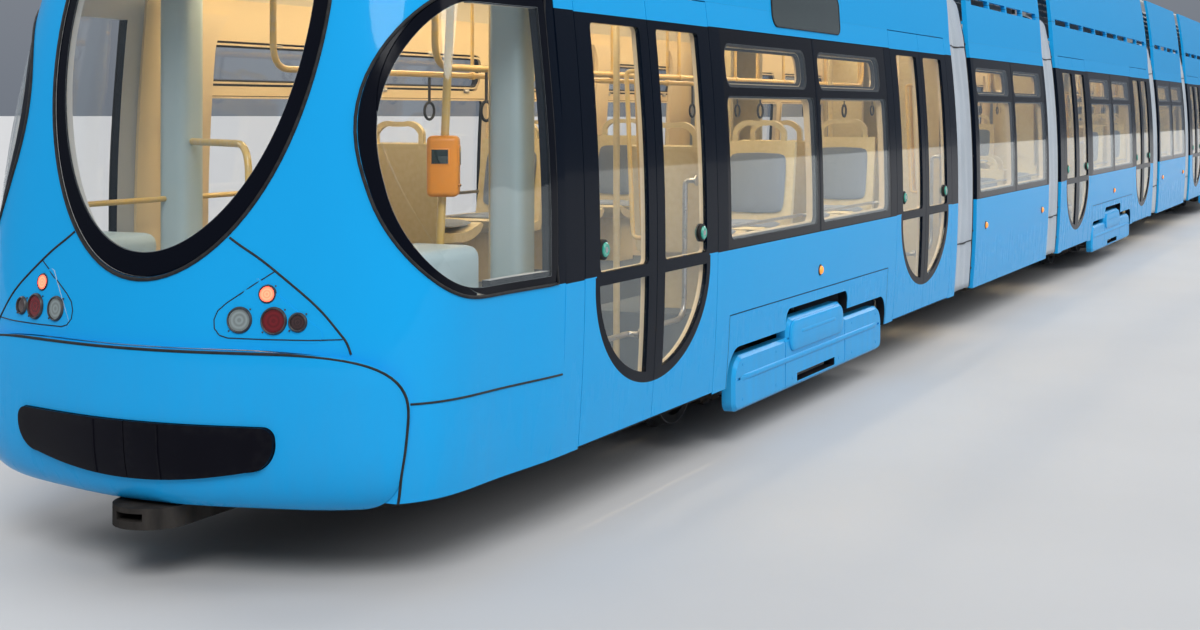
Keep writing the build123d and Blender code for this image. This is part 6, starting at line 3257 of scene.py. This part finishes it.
@dataclass
class ArmFittings:
    """Springs, feet, braid, collars and contact strips of the pantograph.

    Args:
        x: Place of its lower pivot.
        arm: Length of the lower arm.
    """

    x: float = 0.500
    arm: float = 1.500

    def build(self) -> list[Piece]:
        """Makes the fittings.

        Returns:
            The pieces.
        """
        base, lower, upper, head = Shape(), Shape(), Shape(), Shape()
        for side in (-1, 1):
            spring = []
            for k in range(121):
                t = k / 120
                a = math.tau * 10 * t
                spring.append(
                    (self.x + 0.10 + 0.62 * t, side * 0.20 + 0.026 * math.cos(a), 3.505 + 0.026 * math.sin(a))
                )
            base.tube(spring, 0.0052, 6)
            base.tube([(self.x + 0.05, side * 0.20, 3.505), (self.x + 0.80, side * 0.20, 3.505)], 0.010, 10)
        for dx, y in ((-0.30, -0.42), (-0.30, 0.42), (0.75, -0.42), (0.75, 0.42)):
            base.lathe(
                (self.x + dx, y, 3.402), (0, 0, 1),
                [
                    (0.0, 0.045), (0.012, 0.045), (0.016, 0.030), (0.028, 0.030), (0.031, 0.046),
                    (0.036, 0.046), (0.040, 0.028), (0.050, 0.028)
                ],
                20
            )
        braid = [
            (self.x + 0.02, 0.09, 3.470), (self.x - 0.06, 0.12, 3.480), (self.x - 0.09, 0.10, 3.520),
            (self.x - 0.02, 0.075, 3.545)
        ]
        base.tube(rounded(braid, 0.04), 0.008, 8)
        knee = self.x + self.arm
        lower.lathe(
            (knee - 0.10, 0.0, 3.640), (1, 0, 0),
            [(0.0, 0.012), (0.006, 0.022), (0.050, 0.022), (0.056, 0.012)], 14
        )
        for x in (self.x + 0.45, self.x + 0.95):
            lower.lathe(
                (x, 0, 3.555 + 0.047 * (x - self.x)), (1, 0, 0.047),
                [(0.0, 0.056), (0.004, 0.060), (0.026, 0.060), (0.030, 0.056)], 20
            )
        for y in (-0.26, 0.26):
            upper.lathe(
                (self.x + 0.62, y * 0.9, 3.676), (1, 0, -0.05),
                [(0.0, 0.020), (0.03, 0.024), (0.05, 0.020)], 12
            )
        _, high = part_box("pantograph_head")
        for dx in (-0.17, 0.17):
            x = self.x + 0.06 + dx
            strip = [(x - 0.012, -0.50), (x + 0.012, -0.50), (x + 0.012, 0.50), (x - 0.012, 0.50)]
            head.prism(
                [Vector((px, py, min(high.z, 3.800) - 0.002)) for px, py in strip], (0, 0, 0.009), 0.003
            )
            for y in (-0.42, -0.14, 0.14, 0.42):
                head.lathe((x, y, 3.748), (0, 0, 1), [(0.0, 0.007), (0.012, 0.007), (0.014, 0.005)], 6)
        return [
            base.object("pantograph_springs", "section_c", ["bare_steel"]),
            lower.object("pantograph_knee_cap", "lower_arm", ["bare_steel"]),
            upper.object("pantograph_collars", "upper_arm", ["bare_steel"]),
            head.object("pantograph_strips", "head", ["carbon"]),
        ]


@dataclass
class BogieGear:
    """Springs, hangers, track brakes and cover screws of one bogie.

    Args:
        name: Body name of the bogie.
        x: Its middle.
        base: Half wheelbase.
        wheel_y: Middle of a wheel across the tram.
    """

    name: str
    x: float
    base: float = HALF_WHEELBASE
    wheel_y: float = 0.530

    def build(self, fasteners: Fasteners) -> list[Piece]:
        """Makes the gear.

        Args:
            fasteners: The fastener maker.

        Returns:
            The pieces.
        """
        springs, brakes = Shape(), Shape()
        _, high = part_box(f"{self.name}_frame")
        for way in (-1, 1):
            for side in (-1, 1):
                x = self.x + way * 0.47
                y = side * min(0.80, high.y - 0.10)
                coil = []
                for k in range(109):
                    t = k / 108
                    a = math.tau * 5.5 * t
                    coil.append((x + 0.055 * math.cos(a), y + 0.055 * math.sin(a), 0.215 + 0.150 * t))
                springs.paint = 0
                springs.tube(coil, 0.0105, 8)
                springs.lathe((x, y, 0.196), (0, 0, 1), [(0.0, 0.078), (0.010, 0.082), (0.018, 0.078)], 24)
                springs.paint = 1
                axle = self.x + way * self.base
                hanger = [
                    (axle - way * 0.37, side * 0.70, 0.36), (axle - way * 0.37, side * 0.73, 0.20),
                    (axle - way * 0.31, side * 0.73, 0.150)
                ]
                springs.tube(rounded(hanger, 0.06), 0.012, 8)
        for side in (-1, 1):
            y = side * self.wheel_y
            brakes.paint = 0
            brakes.block((self.x - 0.46, y - 0.035, 0.058), (self.x + 0.46, y + 0.035, 0.125), 0.012)
            for k in range(6):
                x = self.x - 0.375 + k * 0.15
                brakes.block((x - 0.055, y - 0.040, 0.052), (x + 0.055, y + 0.040, 0.075), 0.004)
            for way in (-1, 1):
                brakes.tube([(self.x + way * 0.36, y, 0.120), (self.x + way * 0.36, y, 0.235)], 0.018, 10)
        covers = []
        for side in Side:
            for x in (-1.25, -0.72, -0.44, 0.44, 0.72, 1.25):
                for z in (0.245, 0.430):
                    covers.append(from_side(f"{self.name}_covers", self.x + x, z, side))
        return [
            springs.object(f"{self.name}_springs", self.name, ["cast_iron", "bare_steel"]),
            brakes.object(f"{self.name}_track_brakes", self.name, ["cast_iron"]),
            fasteners.build(f"{self.name}_cover_screws", self.name, covers, 0.008, 0.004, 12, "cover_paint"),
        ]


@dataclass
class WheelGear:
    """Brake discs and hub bolts of one wheelset.

    Args:
        name: Body name of the wheelset.
        x: Place of its axle.
        wheel_y: Middle of a wheel across the tram; not used.
    """

    name: str
    x: float
    wheel_y: float = 0.530

    def build(self, fasteners: Fasteners) -> list[Piece]:
        """Makes the gear.

        Args:
            fasteners: The fastener maker.

        Returns:
            The pieces.
        """
        disc = Shape()
        for side in (-1, 1):
            disc.lathe(
                (self.x, side * 0.30, AXLE_Z), (0, side, 0),
                [
                    (0.0, 0.095), (0.004, 0.185), (0.018, 0.185), (0.020, 0.110), (0.034, 0.110),
                    (0.036, 0.185), (0.050, 0.185), (0.054, 0.095)
                ],
                40
            )
            for a in turns(20):
                inner, outer = 0.112, 0.180
                disc.tube(
                    [
                        (self.x + r * math.cos(a), side * 0.327, AXLE_Z + r * math.sin(a))
                        for r in (inner, outer)
                    ],
                    0.006, 6
                )
        hub = []
        for side in (-1, 1):
            for a in turns(12):
                x, z = self.x + 0.150 * math.cos(a), AXLE_Z + 0.150 * math.sin(a)
                place, _ = touch(self.name, (x, side * 0.78, z), (0, -side, 0))
                hub.append((place, Vector((0.0, side, 0.0))))
        return [
            disc.object(f"{self.name}_brake_discs", self.name, ["bare_steel"]),
            fasteners.build(f"{self.name}_hub_bolts", self.name, hub, 0.014, 0.014, 6, "cast_iron"),
        ]


@dataclass(frozen=True)
class SeatPlace:
    """Where one seat stands.

    Args:
        x: Its reference point.
        side: Side of the tram.
        facing: Sign of X that it faces.
        base: Height of what it stands on.
    """

    x: float
    side: Side
    facing: int
    base: float

    @property
    def y(self) -> float:
        """Middle of the seat across the tram."""
        return self.side.value * (half_width(1.2, 0.06) - 0.225 - 0.045)


PODIUM_PLACES = tuple(
    (x, side, facing) for side in Side for x, facing in ((-1.390, 1), (-0.290, -1), (0.290, 1), (1.390, -1))
)
MID_PLACES = tuple(
    (x, side, facing) for side in Side for x, facing in ((-1.180, 1), (-0.170, -1), (0.360, 1), (1.340, -1))
)


@dataclass
class Saloon:
    """Seat pads, lights, handrails, straps, linings and hatches of a section's inside.

    Args:
        section: The section.
        ceiling: Height of the ceiling.
        rail_y: Place of the ceiling rails across the tram.
        rail_z: Their height.
    """

    section: Section
    ceiling: float = CEILING_Z
    rail_y: float = 0.430
    rail_z: float = 1.960

    def seats(self) -> list[SeatPlace]:
        """Lists the section's seats.

        Returns:
            The seats.
        """
        s = self.section
        mid = s.kind is Kind.MID
        places = MID_PLACES if mid else PODIUM_PLACES
        return [
            SeatPlace(s.bogie + x, side, facing, FLOOR_Z if mid else PODIUM_Z) for x, side, facing in places
        ]

    def build(self) -> list[Piece]:
        """Makes everything inside the section.

        Returns:
            The pieces.
        """
        made = [self._lights(), self._rails(), self._linings(), self._hatches()]
        for k, place in enumerate(self.seats()):
            made += self._pads(place, k)
        return made

    def _pads(self, seat: SeatPlace, number: int) -> list[Piece]:
        """Adds the padded seat and back of one seat.

        Args:
            seat: The seat.
            number: Its number in the section.

        Returns:
            The two pads.
        """
        made = []
        f = seat.facing
        pan = [
            (-0.005 + 0.385 * t, 0.392 - 0.016 * math.sin(math.pi * t) + 0.004 * t)
            for t in (i / 12 for i in range(13))
        ]
        back = [(-0.0410 - 0.0735 * t, 0.445 + 0.355 * t) for t in (i / 12 for i in range(13))]
        for label, line, thick, wide in (("seat", pan, 0.034, 0.195), ("back", back, 0.028, 0.180)):
            shape = Shape()
            tangent = (Vector((line[-1][0] - line[0][0], line[-1][1] - line[0][1], 0))).normalized()
            out = Vector((-tangent.y, tangent.x, 0)) * (1 if label == "seat" else -1)
            rows_top, rows_low = [], []
            lanes = 15
            for i, (dx, dz) in enumerate(line):
                t = i / (len(line) - 1)
                top, low = [], []
                for j in range(lanes):
                    s = 2 * j / (lanes - 1) - 1
                    pull = 1 - 0.10 * (2 * t - 1) ** 6
                    edge = (1 - s**6) * (1 - (2 * t - 1) ** 8)
                    crown = thick * (0.55 + 0.45 * (1 - s**2) * (1 - (2 * t - 1) ** 2)) * edge**0.5
                    channel = 0.0035 * sum(
                        math.exp(-(((s - c) / 0.045) ** 2)) for c in (-0.5, 0.0, 0.5)
                    ) * edge
                    y = seat.y + wide * s * pull
                    lift = max(0.0, crown - channel)
                    top.append(
                        Vector(
                            (
                                seat.x + f * (dx + out.x * (0.004 + lift)), y,
                                seat.base + dz + out.y * (0.004 + lift)
                            )
                        )
                    )
                    low.append(Vector((seat.x + f * (dx + out.x * 0.002), y, seat.base + dz + out.y * 0.002)))
                rows_top.append(top)
                rows_low.append(low)
            rings = [top + low[::-1] for top, low in zip(rows_top, rows_low)]
            shape.closed(rings)
            pad = stuffed(shape, f"{self.section.name}_{label}_pad_{number}")
            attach(pad, self.section.name)
            made.append(pad)
        return made

    def _lights(self) -> Piece:
        """Adds the two lit strips and the middle duct of the ceiling.

        Returns:
            The piece.
        """
        s = self.section
        shape = Shape()
        x0, x1 = s.x0 + 0.12, s.x1 - 0.12
        count = max(2, round((x1 - x0) / 1.15))
        wide = (x1 - x0) / count
        for side in (-1, 1):
            for k in range(count):
                a, b = x0 + k * wide + 0.02, x0 + (k + 1) * wide - 0.02
                y = side * 0.640
                shape.paint = 0
                profile = [
                    (y - 0.075, self.ceiling - 0.002), (y - 0.060, self.ceiling - 0.024),
                    (y, self.ceiling - 0.034), (y + 0.060, self.ceiling - 0.024),
                    (y + 0.075, self.ceiling - 0.002)
                ]
                shape.closed(
                    [[Vector((x, py, pz)) for py, pz in profile] for x in (a, a + 0.01, b - 0.01, b)]
                )
                shape.paint = 1
                for x in (a - 0.012, b + 0.002):
                    shape.block(
                        (x, y - 0.082, self.ceiling - 0.040), (x + 0.010, y + 0.082, self.ceiling - 0.001),
                        0.003
                    )
        shape.paint = 2
        duct = [
            (-0.260, self.ceiling - 0.001), (-0.230, self.ceiling - 0.040), (0.0, self.ceiling - 0.052),
            (0.230, self.ceiling - 0.040), (0.260, self.ceiling - 0.001)
        ]
        shape.closed([[Vector((x, y, z)) for y, z in duct] for x in (x0, x0 + 0.02, x1 - 0.02, x1)])
        shape.paint = 1
        for k in range(int((x1 - x0) / 0.30)):
            x = x0 + 0.15 + k * 0.30
            for y in (-0.246, 0.222):
                shape.block(
                    (x - 0.09, y, self.ceiling - 0.0405), (x + 0.09, y + 0.024, self.ceiling - 0.030), 0.002
                )
        return shape.object(f"{s.name}_ceiling_lights", s.name, ["warm_light", "bare_steel", "cream_lining"])

    def _rails(self) -> Piece:
        """Adds ceiling handrails with hanging straps and rails along the windows.

        Returns:
            The piece.
        """
        s = self.section
        shape = Shape()
        x0, x1 = s.x0 + 0.16, s.x1 - 0.16
        if s.kind is Kind.FRONT:
            x1 = s.x1 - 0.22
        for side in (-1, 1):
            y = side * self.rail_y
            shape.paint = 0
            run = [
                (x0, y, self.ceiling - 0.002), (x0, y, self.rail_z), (x1, y, self.rail_z),
                (x1, y, self.ceiling - 0.002)
            ]
            shape.tube(rounded(run, 0.12, 7), 0.016, 12)
            hangers = int((x1 - x0) / 0.85)
            for k in range(1, hangers):
                x = x0 + k * (x1 - x0) / hangers
                shape.tube([(x, y, self.rail_z + 0.012), (x, y, self.ceiling - 0.002)], 0.010, 10)
                shape.lathe((x, y, self.ceiling - 0.010), (0, 0, 1), [(0.0, 0.024), (0.008, 0.030)], 16)
                shape.lathe(
                    (x - 0.018, y, self.rail_z), (1, 0, 0),
                    [(0.0, 0.019), (0.004, 0.022), (0.032, 0.022), (0.036, 0.019)], 14
                )
            shape.paint = 1
            for k in range(hangers):
                x = x0 + (k + 0.5) * (x1 - x0) / hangers
                strap = ((x - 0.012, -0.0015), (x + 0.012, -0.0015), (x + 0.012, 0.0015), (x - 0.012, 0.0015))
                shape.closed(
                    [
                        [Vector((px, y + dy, z)) for px, dy in strap]
                        for z in (self.rail_z - 0.015, self.rail_z - 0.150)
                    ]
                )
                grip = [
                    (x + 0.050 * math.cos(a), y, self.rail_z - 0.195 + 0.045 * math.sin(a))
                    for a in turns(24)
                ]
                shape.tube(grip, 0.0075, 8, loop=True)
        shape.paint = 2
        for side in Side:
            for a, b in self._window_runs():
                for z in ((1.110, 1.255) if side is Side.LEFT else (1.150,)):
                    path = [
                        on_side(a, z, side, 0.064), on_side(a, z, side, 0.105), on_side(b, z, side, 0.105),
                        on_side(b, z, side, 0.064)
                    ]
                    shape.tube(rounded(path, 0.035, 5), 0.010, 10)
        return shape.object(f"{s.name}_handrails", s.name, ["yellow_coat", "rubber", "bare_steel"])

    def _window_runs(self) -> list[Pair]:
        """Where rails cross the windows.

        Returns:
            Starts and ends.
        """
        s = self.section
        if s.kind is Kind.MID:
            return [(s.x0 + 0.14, (s.x0 + s.x1) / 2 - 0.05), ((s.x0 + s.x1) / 2 + 0.05, s.x1 - 0.14)]
        return [(s.bogie - 1.46, s.bogie - 0.05), (s.bogie + 0.05, s.bogie + 1.46)]

    def _linings(self) -> Piece:
        """Adds the sills and kick covers under the windows, the heater grilles and the pillars.

        Returns:
            The piece.
        """
        s = self.section
        shape = Shape()
        base = FLOOR_Z if s.kind is Kind.MID else PODIUM_Z
        a, b = (s.x0 + 0.10, s.x1 - 0.10) if s.kind is Kind.MID else (s.bogie - 1.55, s.bogie + 1.55)
        sill = ((1.030, 0.062), (1.030, 0.100), (1.050, 0.104), (1.062, 0.062))
        kick = ((base + 0.004, 0.062), (base + 0.004, 0.090), (base + 0.110, 0.086), (base + 0.120, 0.062))
        for side in Side:
            shape.paint = 0
            for profile in (sill, kick):
                shape.closed([[on_side(x, z, side, d) for z, d in profile] for x in (a, b)])
            shape.paint = 1
            for k in range(int((b - a) / 0.05)):
                x = a + 0.025 + k * 0.05
                p = on_side(x, base + 0.055, side, 0.0885)
                shape.block(
                    (x - 0.015, p.y - 0.004, base + 0.025), (x + 0.015, p.y + 0.004, base + 0.085), 0.001,
                    steps=1
                )
        if s.kind is not Kind.MID:
            shape.paint = 0
            for middle in (s.bogie + way * off for way in (-1, 1) for off in (1.620, 3.030)):
                self._pillar(shape, middle)
        return shape.object(f"{s.name}_linings", s.name, ["cream_lining", "rubber"])

    def _pillar(self, shape: Shape, middle: float) -> None:
        """Adds a moulded pillar between two left windows, wider at its foot and its head.

        Args:
            shape: Piece it joins.
            middle: Its place along the tram.
        """
        rows = []
        for k in range(33):
            z = 1.060 + 1.180 * k / 32
            flare = 0.105 * (max(0.0, (1.18 - z) / 0.12) ** 2 + max(0.0, (z - 2.06) / 0.18) ** 2)
            half = 0.125 + flare
            section = (
                (-half, 0.061), (-half, 0.072), (-half + 0.018, 0.090), (half - 0.018, 0.090),
                (half, 0.072), (half, 0.061)
            )
            rows.append([on_side(middle + dx, z, Side.LEFT, d) for dx, d in section])
        shape.closed(rows)

    def _hatches(self) -> Piece:
        """Adds floor hatches with their frames and lifting rings.

        Returns:
            The piece.
        """
        s = self.section
        shape = Shape()
        if s.kind is Kind.MID:
            places = [((s.x0 + s.x1) / 2 + dx, FLOOR_Z) for dx in (-0.8, 0.8)]
        else:
            places = [
                (s.bogie - ZONE_HALF - DOOR / 2, FLOOR_Z), (s.bogie + ZONE_HALF + DOOR / 2 - 0.12, FLOOR_Z)
            ]
        for x, z in places:
            outline = [(x - 0.30, -0.25), (x + 0.30, -0.25), (x + 0.30, 0.25), (x - 0.30, 0.25)]
            shape.paint = 0
            path = rounded([(px, py, z + 0.002) for px, py in outline + outline[:2]], 0.03, 4)
            shape.tube(path[1:-1], 0.0035, 6)
            shape.paint = 1
            shape.block((x - 0.285, -0.235, z + 0.0005), (x + 0.285, 0.235, z + 0.003), 0.001)
            shape.paint = 0
            for dx in (-0.22, 0.22):
                ring = [(x + dx + 0.020 * math.cos(a), 0.020 * math.sin(a), z + 0.005) for a in turns(18)]
                shape.tube(ring, 0.0025, 6, loop=True)
        return shape.object(f"{s.name}_floor_hatches", s.name, ["bare_steel", "floor_covering"])


@dataclass
class TailSaloon:
    """Columns, side covers, rails, ticket machine and sill of the rear end."""

    body: str = "section_e"

    def build(self) -> list[Piece]:
        """Makes the pieces.

        Returns:
            The pieces.
        """
        column, rail, machine, panel = Shape(), Shape(), Shape(), Shape()
        x = -JOINT_X + 0.055
        for side in (-1, 1):
            y0, y1 = sorted((side * 0.79, side * 0.95))
            ring = [(x - 0.08, y0), (x + 0.08, y0), (x + 0.08, y1), (x - 0.08, y1)]
            path = rounded([(px, py, 0.0) for px, py in ring + ring[:2]], 0.05, 5)[1:-1]
            column.closed(
                [[Vector((p.x, p.y, z)) for p in path] for z in (0.372, 0.39, 1.0, 1.6, 2.20, 2.30)]
            )
            y0, y1 = sorted((side * 0.64, side * 0.965))
            column.block((-15.50, y0, 0.374), (-15.03, y1, 1.235), 0.05, steps=4)
        pole = [(-14.85, -0.62, 0.372), (-14.87, -0.66, 1.20), (-14.95, -0.78, 2.40)]
        rail.tube([Vector(pole[0]).lerp(Vector(pole[2]), t) for t in (i / 12 for i in range(13))], 0.017, 12)
        rail.lathe(pole[0], (0, 0, 1), [(0.0, 0.040), (0.008, 0.040), (0.016, 0.022)], 18)
        hoop = [(-14.62, 0.80, 1.625), (-15.05, 0.16, 1.625), (-15.11, 0.10, 0.372)]
        rail.tube(rounded(hoop, 0.13, 8), 0.016, 12)
        rail.lathe(hoop[-1], (0, 0, 1), [(0.0, 0.040), (0.008, 0.040), (0.016, 0.022)], 18)
        low = [(-12.86, 0.99, 1.36), (-12.90, 0.92, 1.36), (-15.20, 0.90, 1.36), (-15.46, 0.74, 1.36)]
        rail.tube(rounded(low, 0.06, 6), 0.013, 12)
        t = (1.54 - 0.372) / (2.40 - 0.372)
        spot = Vector(pole[0]).lerp(Vector(pole[2]), t)
        turn = Matrix.Rotation(math.radians(25), 4, "Z")
        parts = (
            (0, (-0.060, -0.065, -0.125), (0.060, 0.065, 0.125), 0.022, 4),
            (1, (-0.045, -0.072, 0.0), (0.035, 0.060, 0.085), 0.006, 2),
            (1, (-0.066, -0.040, 0.005), (0.02, 0.040, 0.075), 0.006, 2),
            (2, (-0.040, -0.071, -0.085), (0.040, 0.060, -0.075), 0.002, 2),
        )
        for paint, near, far, bevel, steps in parts:
            machine.paint = paint
            machine.block(spot + Vector(near), spot + Vector(far), bevel, turn, steps)
        for side in (-1, 1):
            sill = [
                (-14.70, side * 1.02, 0.93), (-15.20, side * 0.96, 0.93), (-15.60, side * 0.72, 0.93),
                (-15.76, side * 0.30, 0.93), (-15.78, 0.0, 0.93)
            ]
            path = rounded(sill, 0.25, 8)
            rows = []
            for i, p in enumerate(path):
                q = path[min(i + 1, len(path) - 1)] - path[max(i - 1, 0)]
                out = Vector((q.y, -q.x, 0)).normalized() * (1 if side < 0 else -1)
                if out.dot(p - Vector((-14.7, 0, 0.93))) < 0:
                    out = -out
                rows.append(
                    [
                        p - out * 0.10 + Vector((0, 0, dz)) if inner else p + Vector((0, 0, dz))
                        for inner, dz in ((True, 0.0), (True, 0.018), (False, 0.024), (False, -0.004))
                    ]
                )
            panel.closed(rows)
        return [
            column.object("tail_columns", self.body, ["column_grey"]),
            rail.object("tail_rails", self.body, ["yellow_coat"]),
            machine.object("tail_ticket_machine", self.body, ["orange_case", "display_glass", "rubber"]),
            panel.object("tail_sill", self.body, ["cream_lining"]),
        ]


@dataclass
class Cab:
    """Screens, handle, switches and padded chair of the driver's cab.

    Args:
        body: Body that it rides on.
        x: Joint of the cab with the section behind.
    """

    body: str = "section_a"
    x: float = JOINT_X

    def build(self) -> list[Piece]:
        """Makes the pieces.

        Returns:
            The pieces.
        """
        desk = Shape()
        top = 1.045
        for y, wide in ((-0.33, 0.24), (0.0, 0.30), (0.33, 0.24)):
            desk.paint = 0
            turn = Matrix.Rotation(math.radians(-24), 4, "Y")
            desk.block(
                (self.x + 0.86, y - wide / 2, top + 0.035), (self.x + 0.885, y + wide / 2, top + 0.215),
                0.008, turn
            )
            desk.paint = 1
            desk.block(
                (self.x + 0.8535, y - wide / 2 + 0.015, top + 0.050),
                (self.x + 0.873, y + wide / 2 - 0.015, top + 0.200), 0.003, turn
            )
        desk.paint = 2
        desk.lathe(
            (self.x + 0.70, -0.40, top), (0, 0, 1),
            [
                (0.0, 0.045), (0.012, 0.042), (0.018, 0.018), (0.080, 0.014), (0.092, 0.026),
                (0.112, 0.028), (0.122, 0.016)
            ],
            24
        )
        for row in range(3):
            for k in range(9):
                y = 0.12 + k * 0.048
                x = self.x + 0.66 + row * 0.050
                desk.paint = (2, 3, 4)[(k + row) % 3]
                desk.lathe(
                    (x, y, top), (0, 0, 1),
                    [(0.0, 0.014), (0.004, 0.014), (0.005, 0.010), (0.012, 0.010), (0.014, 0.007)], 14
                )
        desk.paint = 0
        desk.tube(
            rounded(
                [
                    (self.x + 0.90, 0.50, top), (self.x + 0.88, 0.50, top + 0.18),
                    (self.x + 0.80, 0.46, top + 0.26)
                ],
                0.05, 6
            ),
            0.008, 8
        )
        seat = self._pad(
            "cab_seat_pad", (self.x + 0.325, 0.0, 0.835), (0.215, 0.225), 0.055, (0, 0, 1), (1, 0, 0)
        )
        back = self._pad(
            "cab_back_pad", (self.x + 0.165, 0.0, 1.130), (0.290, 0.205), 0.050, (0.996, 0, 0.087),
            (-0.087, 0, 0.996)
        )
        controls = desk.object(
            "cab_desk_controls", self.body,
            ["rubber", "display_glass", "cab_plastic", "button_green", "orange_case"]
        )
        return [controls, seat, back]

    def _pad(self, name: str, middle: Point, half: Pair, thick: float, out: Point, along: Point) -> Piece:
        """Adds one padded cushion.

        Args:
            name: Piece name.
            middle: Middle of its back face.
            half: Half lengths along and across.
            thick: Thickness at its crown.
            out: Direction it faces.
            along: Direction of its first half length.

        Returns:
            The pad.
        """
        shape = Shape()
        normal, first = Vector(out).normalized(), Vector(along).normalized()
        second = normal.cross(first)
        count = 17
        rings = []
        for i in range(count):
            s = 2 * i / (count - 1) - 1
            top, low = [], []
            for j in range(count):
                t = 2 * j / (count - 1) - 1
                edge = max(0.0, (1 - s**8) * (1 - t**8)) ** 0.5
                crown = thick * edge * (0.62 + 0.38 * (1 - s * s) * (1 - t * t))
                channel = 0.006 * edge * (
                    math.exp(-((abs(t) - 0.62) ** 2) / 0.003)
                    + 0.6 * math.exp(-((s - 0.15) ** 2) / 0.003) * (abs(t) < 0.62)
                )
                pull = 1 - 0.05 * s * s * t * t
                flat = Vector(middle) + first * (half[0] * s * pull) + second * (half[1] * t * pull)
                top.append(flat + normal * max(0.003, crown - channel))
                low.append(flat)
            rings.append(top + low[::-1])
        shape.closed(rings)
        pad = stuffed(shape, name)
        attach(pad, self.body)
        return pad


@dataclass
class Underfloor:
    """Pipes, cables and their clamps under a section's floor.

    Args:
        section: The section.
    """

    section: Section

    def build(self) -> list[Piece]:
        """Makes the pieces.

        Returns:
            The pieces.
        """
        s = self.section
        low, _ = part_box(f"{s.name}_floor")
        shape = Shape()
        spans = [(s.x0 + 0.30, s.x1 - 0.30)]
        if s.kind is not Kind.MID:
            spans = [(s.x0 + 0.35, s.bogie - ZONE_HALF - 0.18), (s.bogie + ZONE_HALF + 0.18, s.x1 - 0.20)]
        base = low.z
        for a, b in spans:
            if b - a < 0.5:
                continue
            shape.paint = 0
            for y, r in ((0.62, 0.014), (0.66, 0.011), (-0.64, 0.017)):
                path = [
                    (a + (b - a) * i / 20, y + 0.003 * math.sin(2.1 * i), base - r * 0.6) for i in range(21)
                ]
                shape.tube(path, r, 8)
            shape.paint = 1
            for k in range(max(2, int((b - a) / 0.6))):
                x = a + 0.12 + k * (b - a - 0.24) / max(1, int((b - a) / 0.6) - 1)
                shape.block((x - 0.02, 0.590, base - 0.026), (x + 0.02, 0.690, base + 0.002), 0.003)
                shape.block((x - 0.02, -0.685, base - 0.030), (x + 0.02, -0.595, base + 0.002), 0.003)
        return [shape.object(f"{s.name}_underfloor_pipes", s.name, ["rubber", "cast_iron"])]


HOODS = (
    GangwayHood("bellows_ab", "section_b", "section_a", MID_FAR),
    GangwayHood("bellows_bc", "section_c", "section_b", CENTRE_HALF),
    GangwayHood("bellows_cd", "section_d", "section_c", -MID_NEAR),
    GangwayHood("bellows_de", "section_e", "section_d", -END_NEAR),
)
BOGIES = (("front_bogie", BOGIE_X), ("centre_bogie", 0.0), ("rear_bogie", -BOGIE_X))


def report(pieces: Iterable[Piece], what: str) -> None:
    """Reports pieces as they are built."""
    listed = list(pieces)
    log.info("%s: %d pieces, %d faces", what, len(listed), sum(len(p.data.polygons) for p in listed))


def main() -> None:
    """Builds the scene's parts in order and reports them."""
    logging.basicConfig(level=logging.INFO, format="%(name)s: %(message)s")
    log.info("CAD nodes dressed: %d", CadDressing().build())
    fasteners = Fasteners()
    for hood in HOODS:
        report(hood.build(), hood.node)
    for section in SECTIONS:
        report(WindowFittings(section).build(), section.name + " windows")
        if section.doors:
            report(DoorFittings(section).build(), section.name + " doors")
        report(SideFittings(section).build(), section.name + " outside")
        report(RoofGear(section).build(fasteners), section.name + " roof")
        report(Saloon(section).build(), section.name + " inside")
        report(Underfloor(section).build(), section.name + " underfloor")
    report(EndFittings("tail", "section_e", -1, False, TAIL_LAMPS).build(), "tail end")
    report(EndFittings("nose", "section_a", 1, True, NOSE_LAMPS).build(), "nose end")
    report(TailSaloon().build(), "tail saloon")
    report(Cab().build(), "cab")
    report(ArmFittings().build(), "pantograph")
    for name, x in BOGIES:
        report(BogieGear(name, x).build(fasteners), name)
        report(CoverMouldings(name, x).build(), f"{name} covers")
        for i, way in ((1, 1), (2, -1)):
            report(
                WheelGear(f"{name}_wheels_{i}", x + way * HALF_WHEELBASE).build(fasteners),
                f"{name} axle {i}"
            )
    for node, body, way in (("nose", "section_a", 1), ("tail", "section_e", -1)):
        report(EndShell(node, body, way).build(), node + " shell")
    Studio().build()


if __name__ == "__main__":
    main()
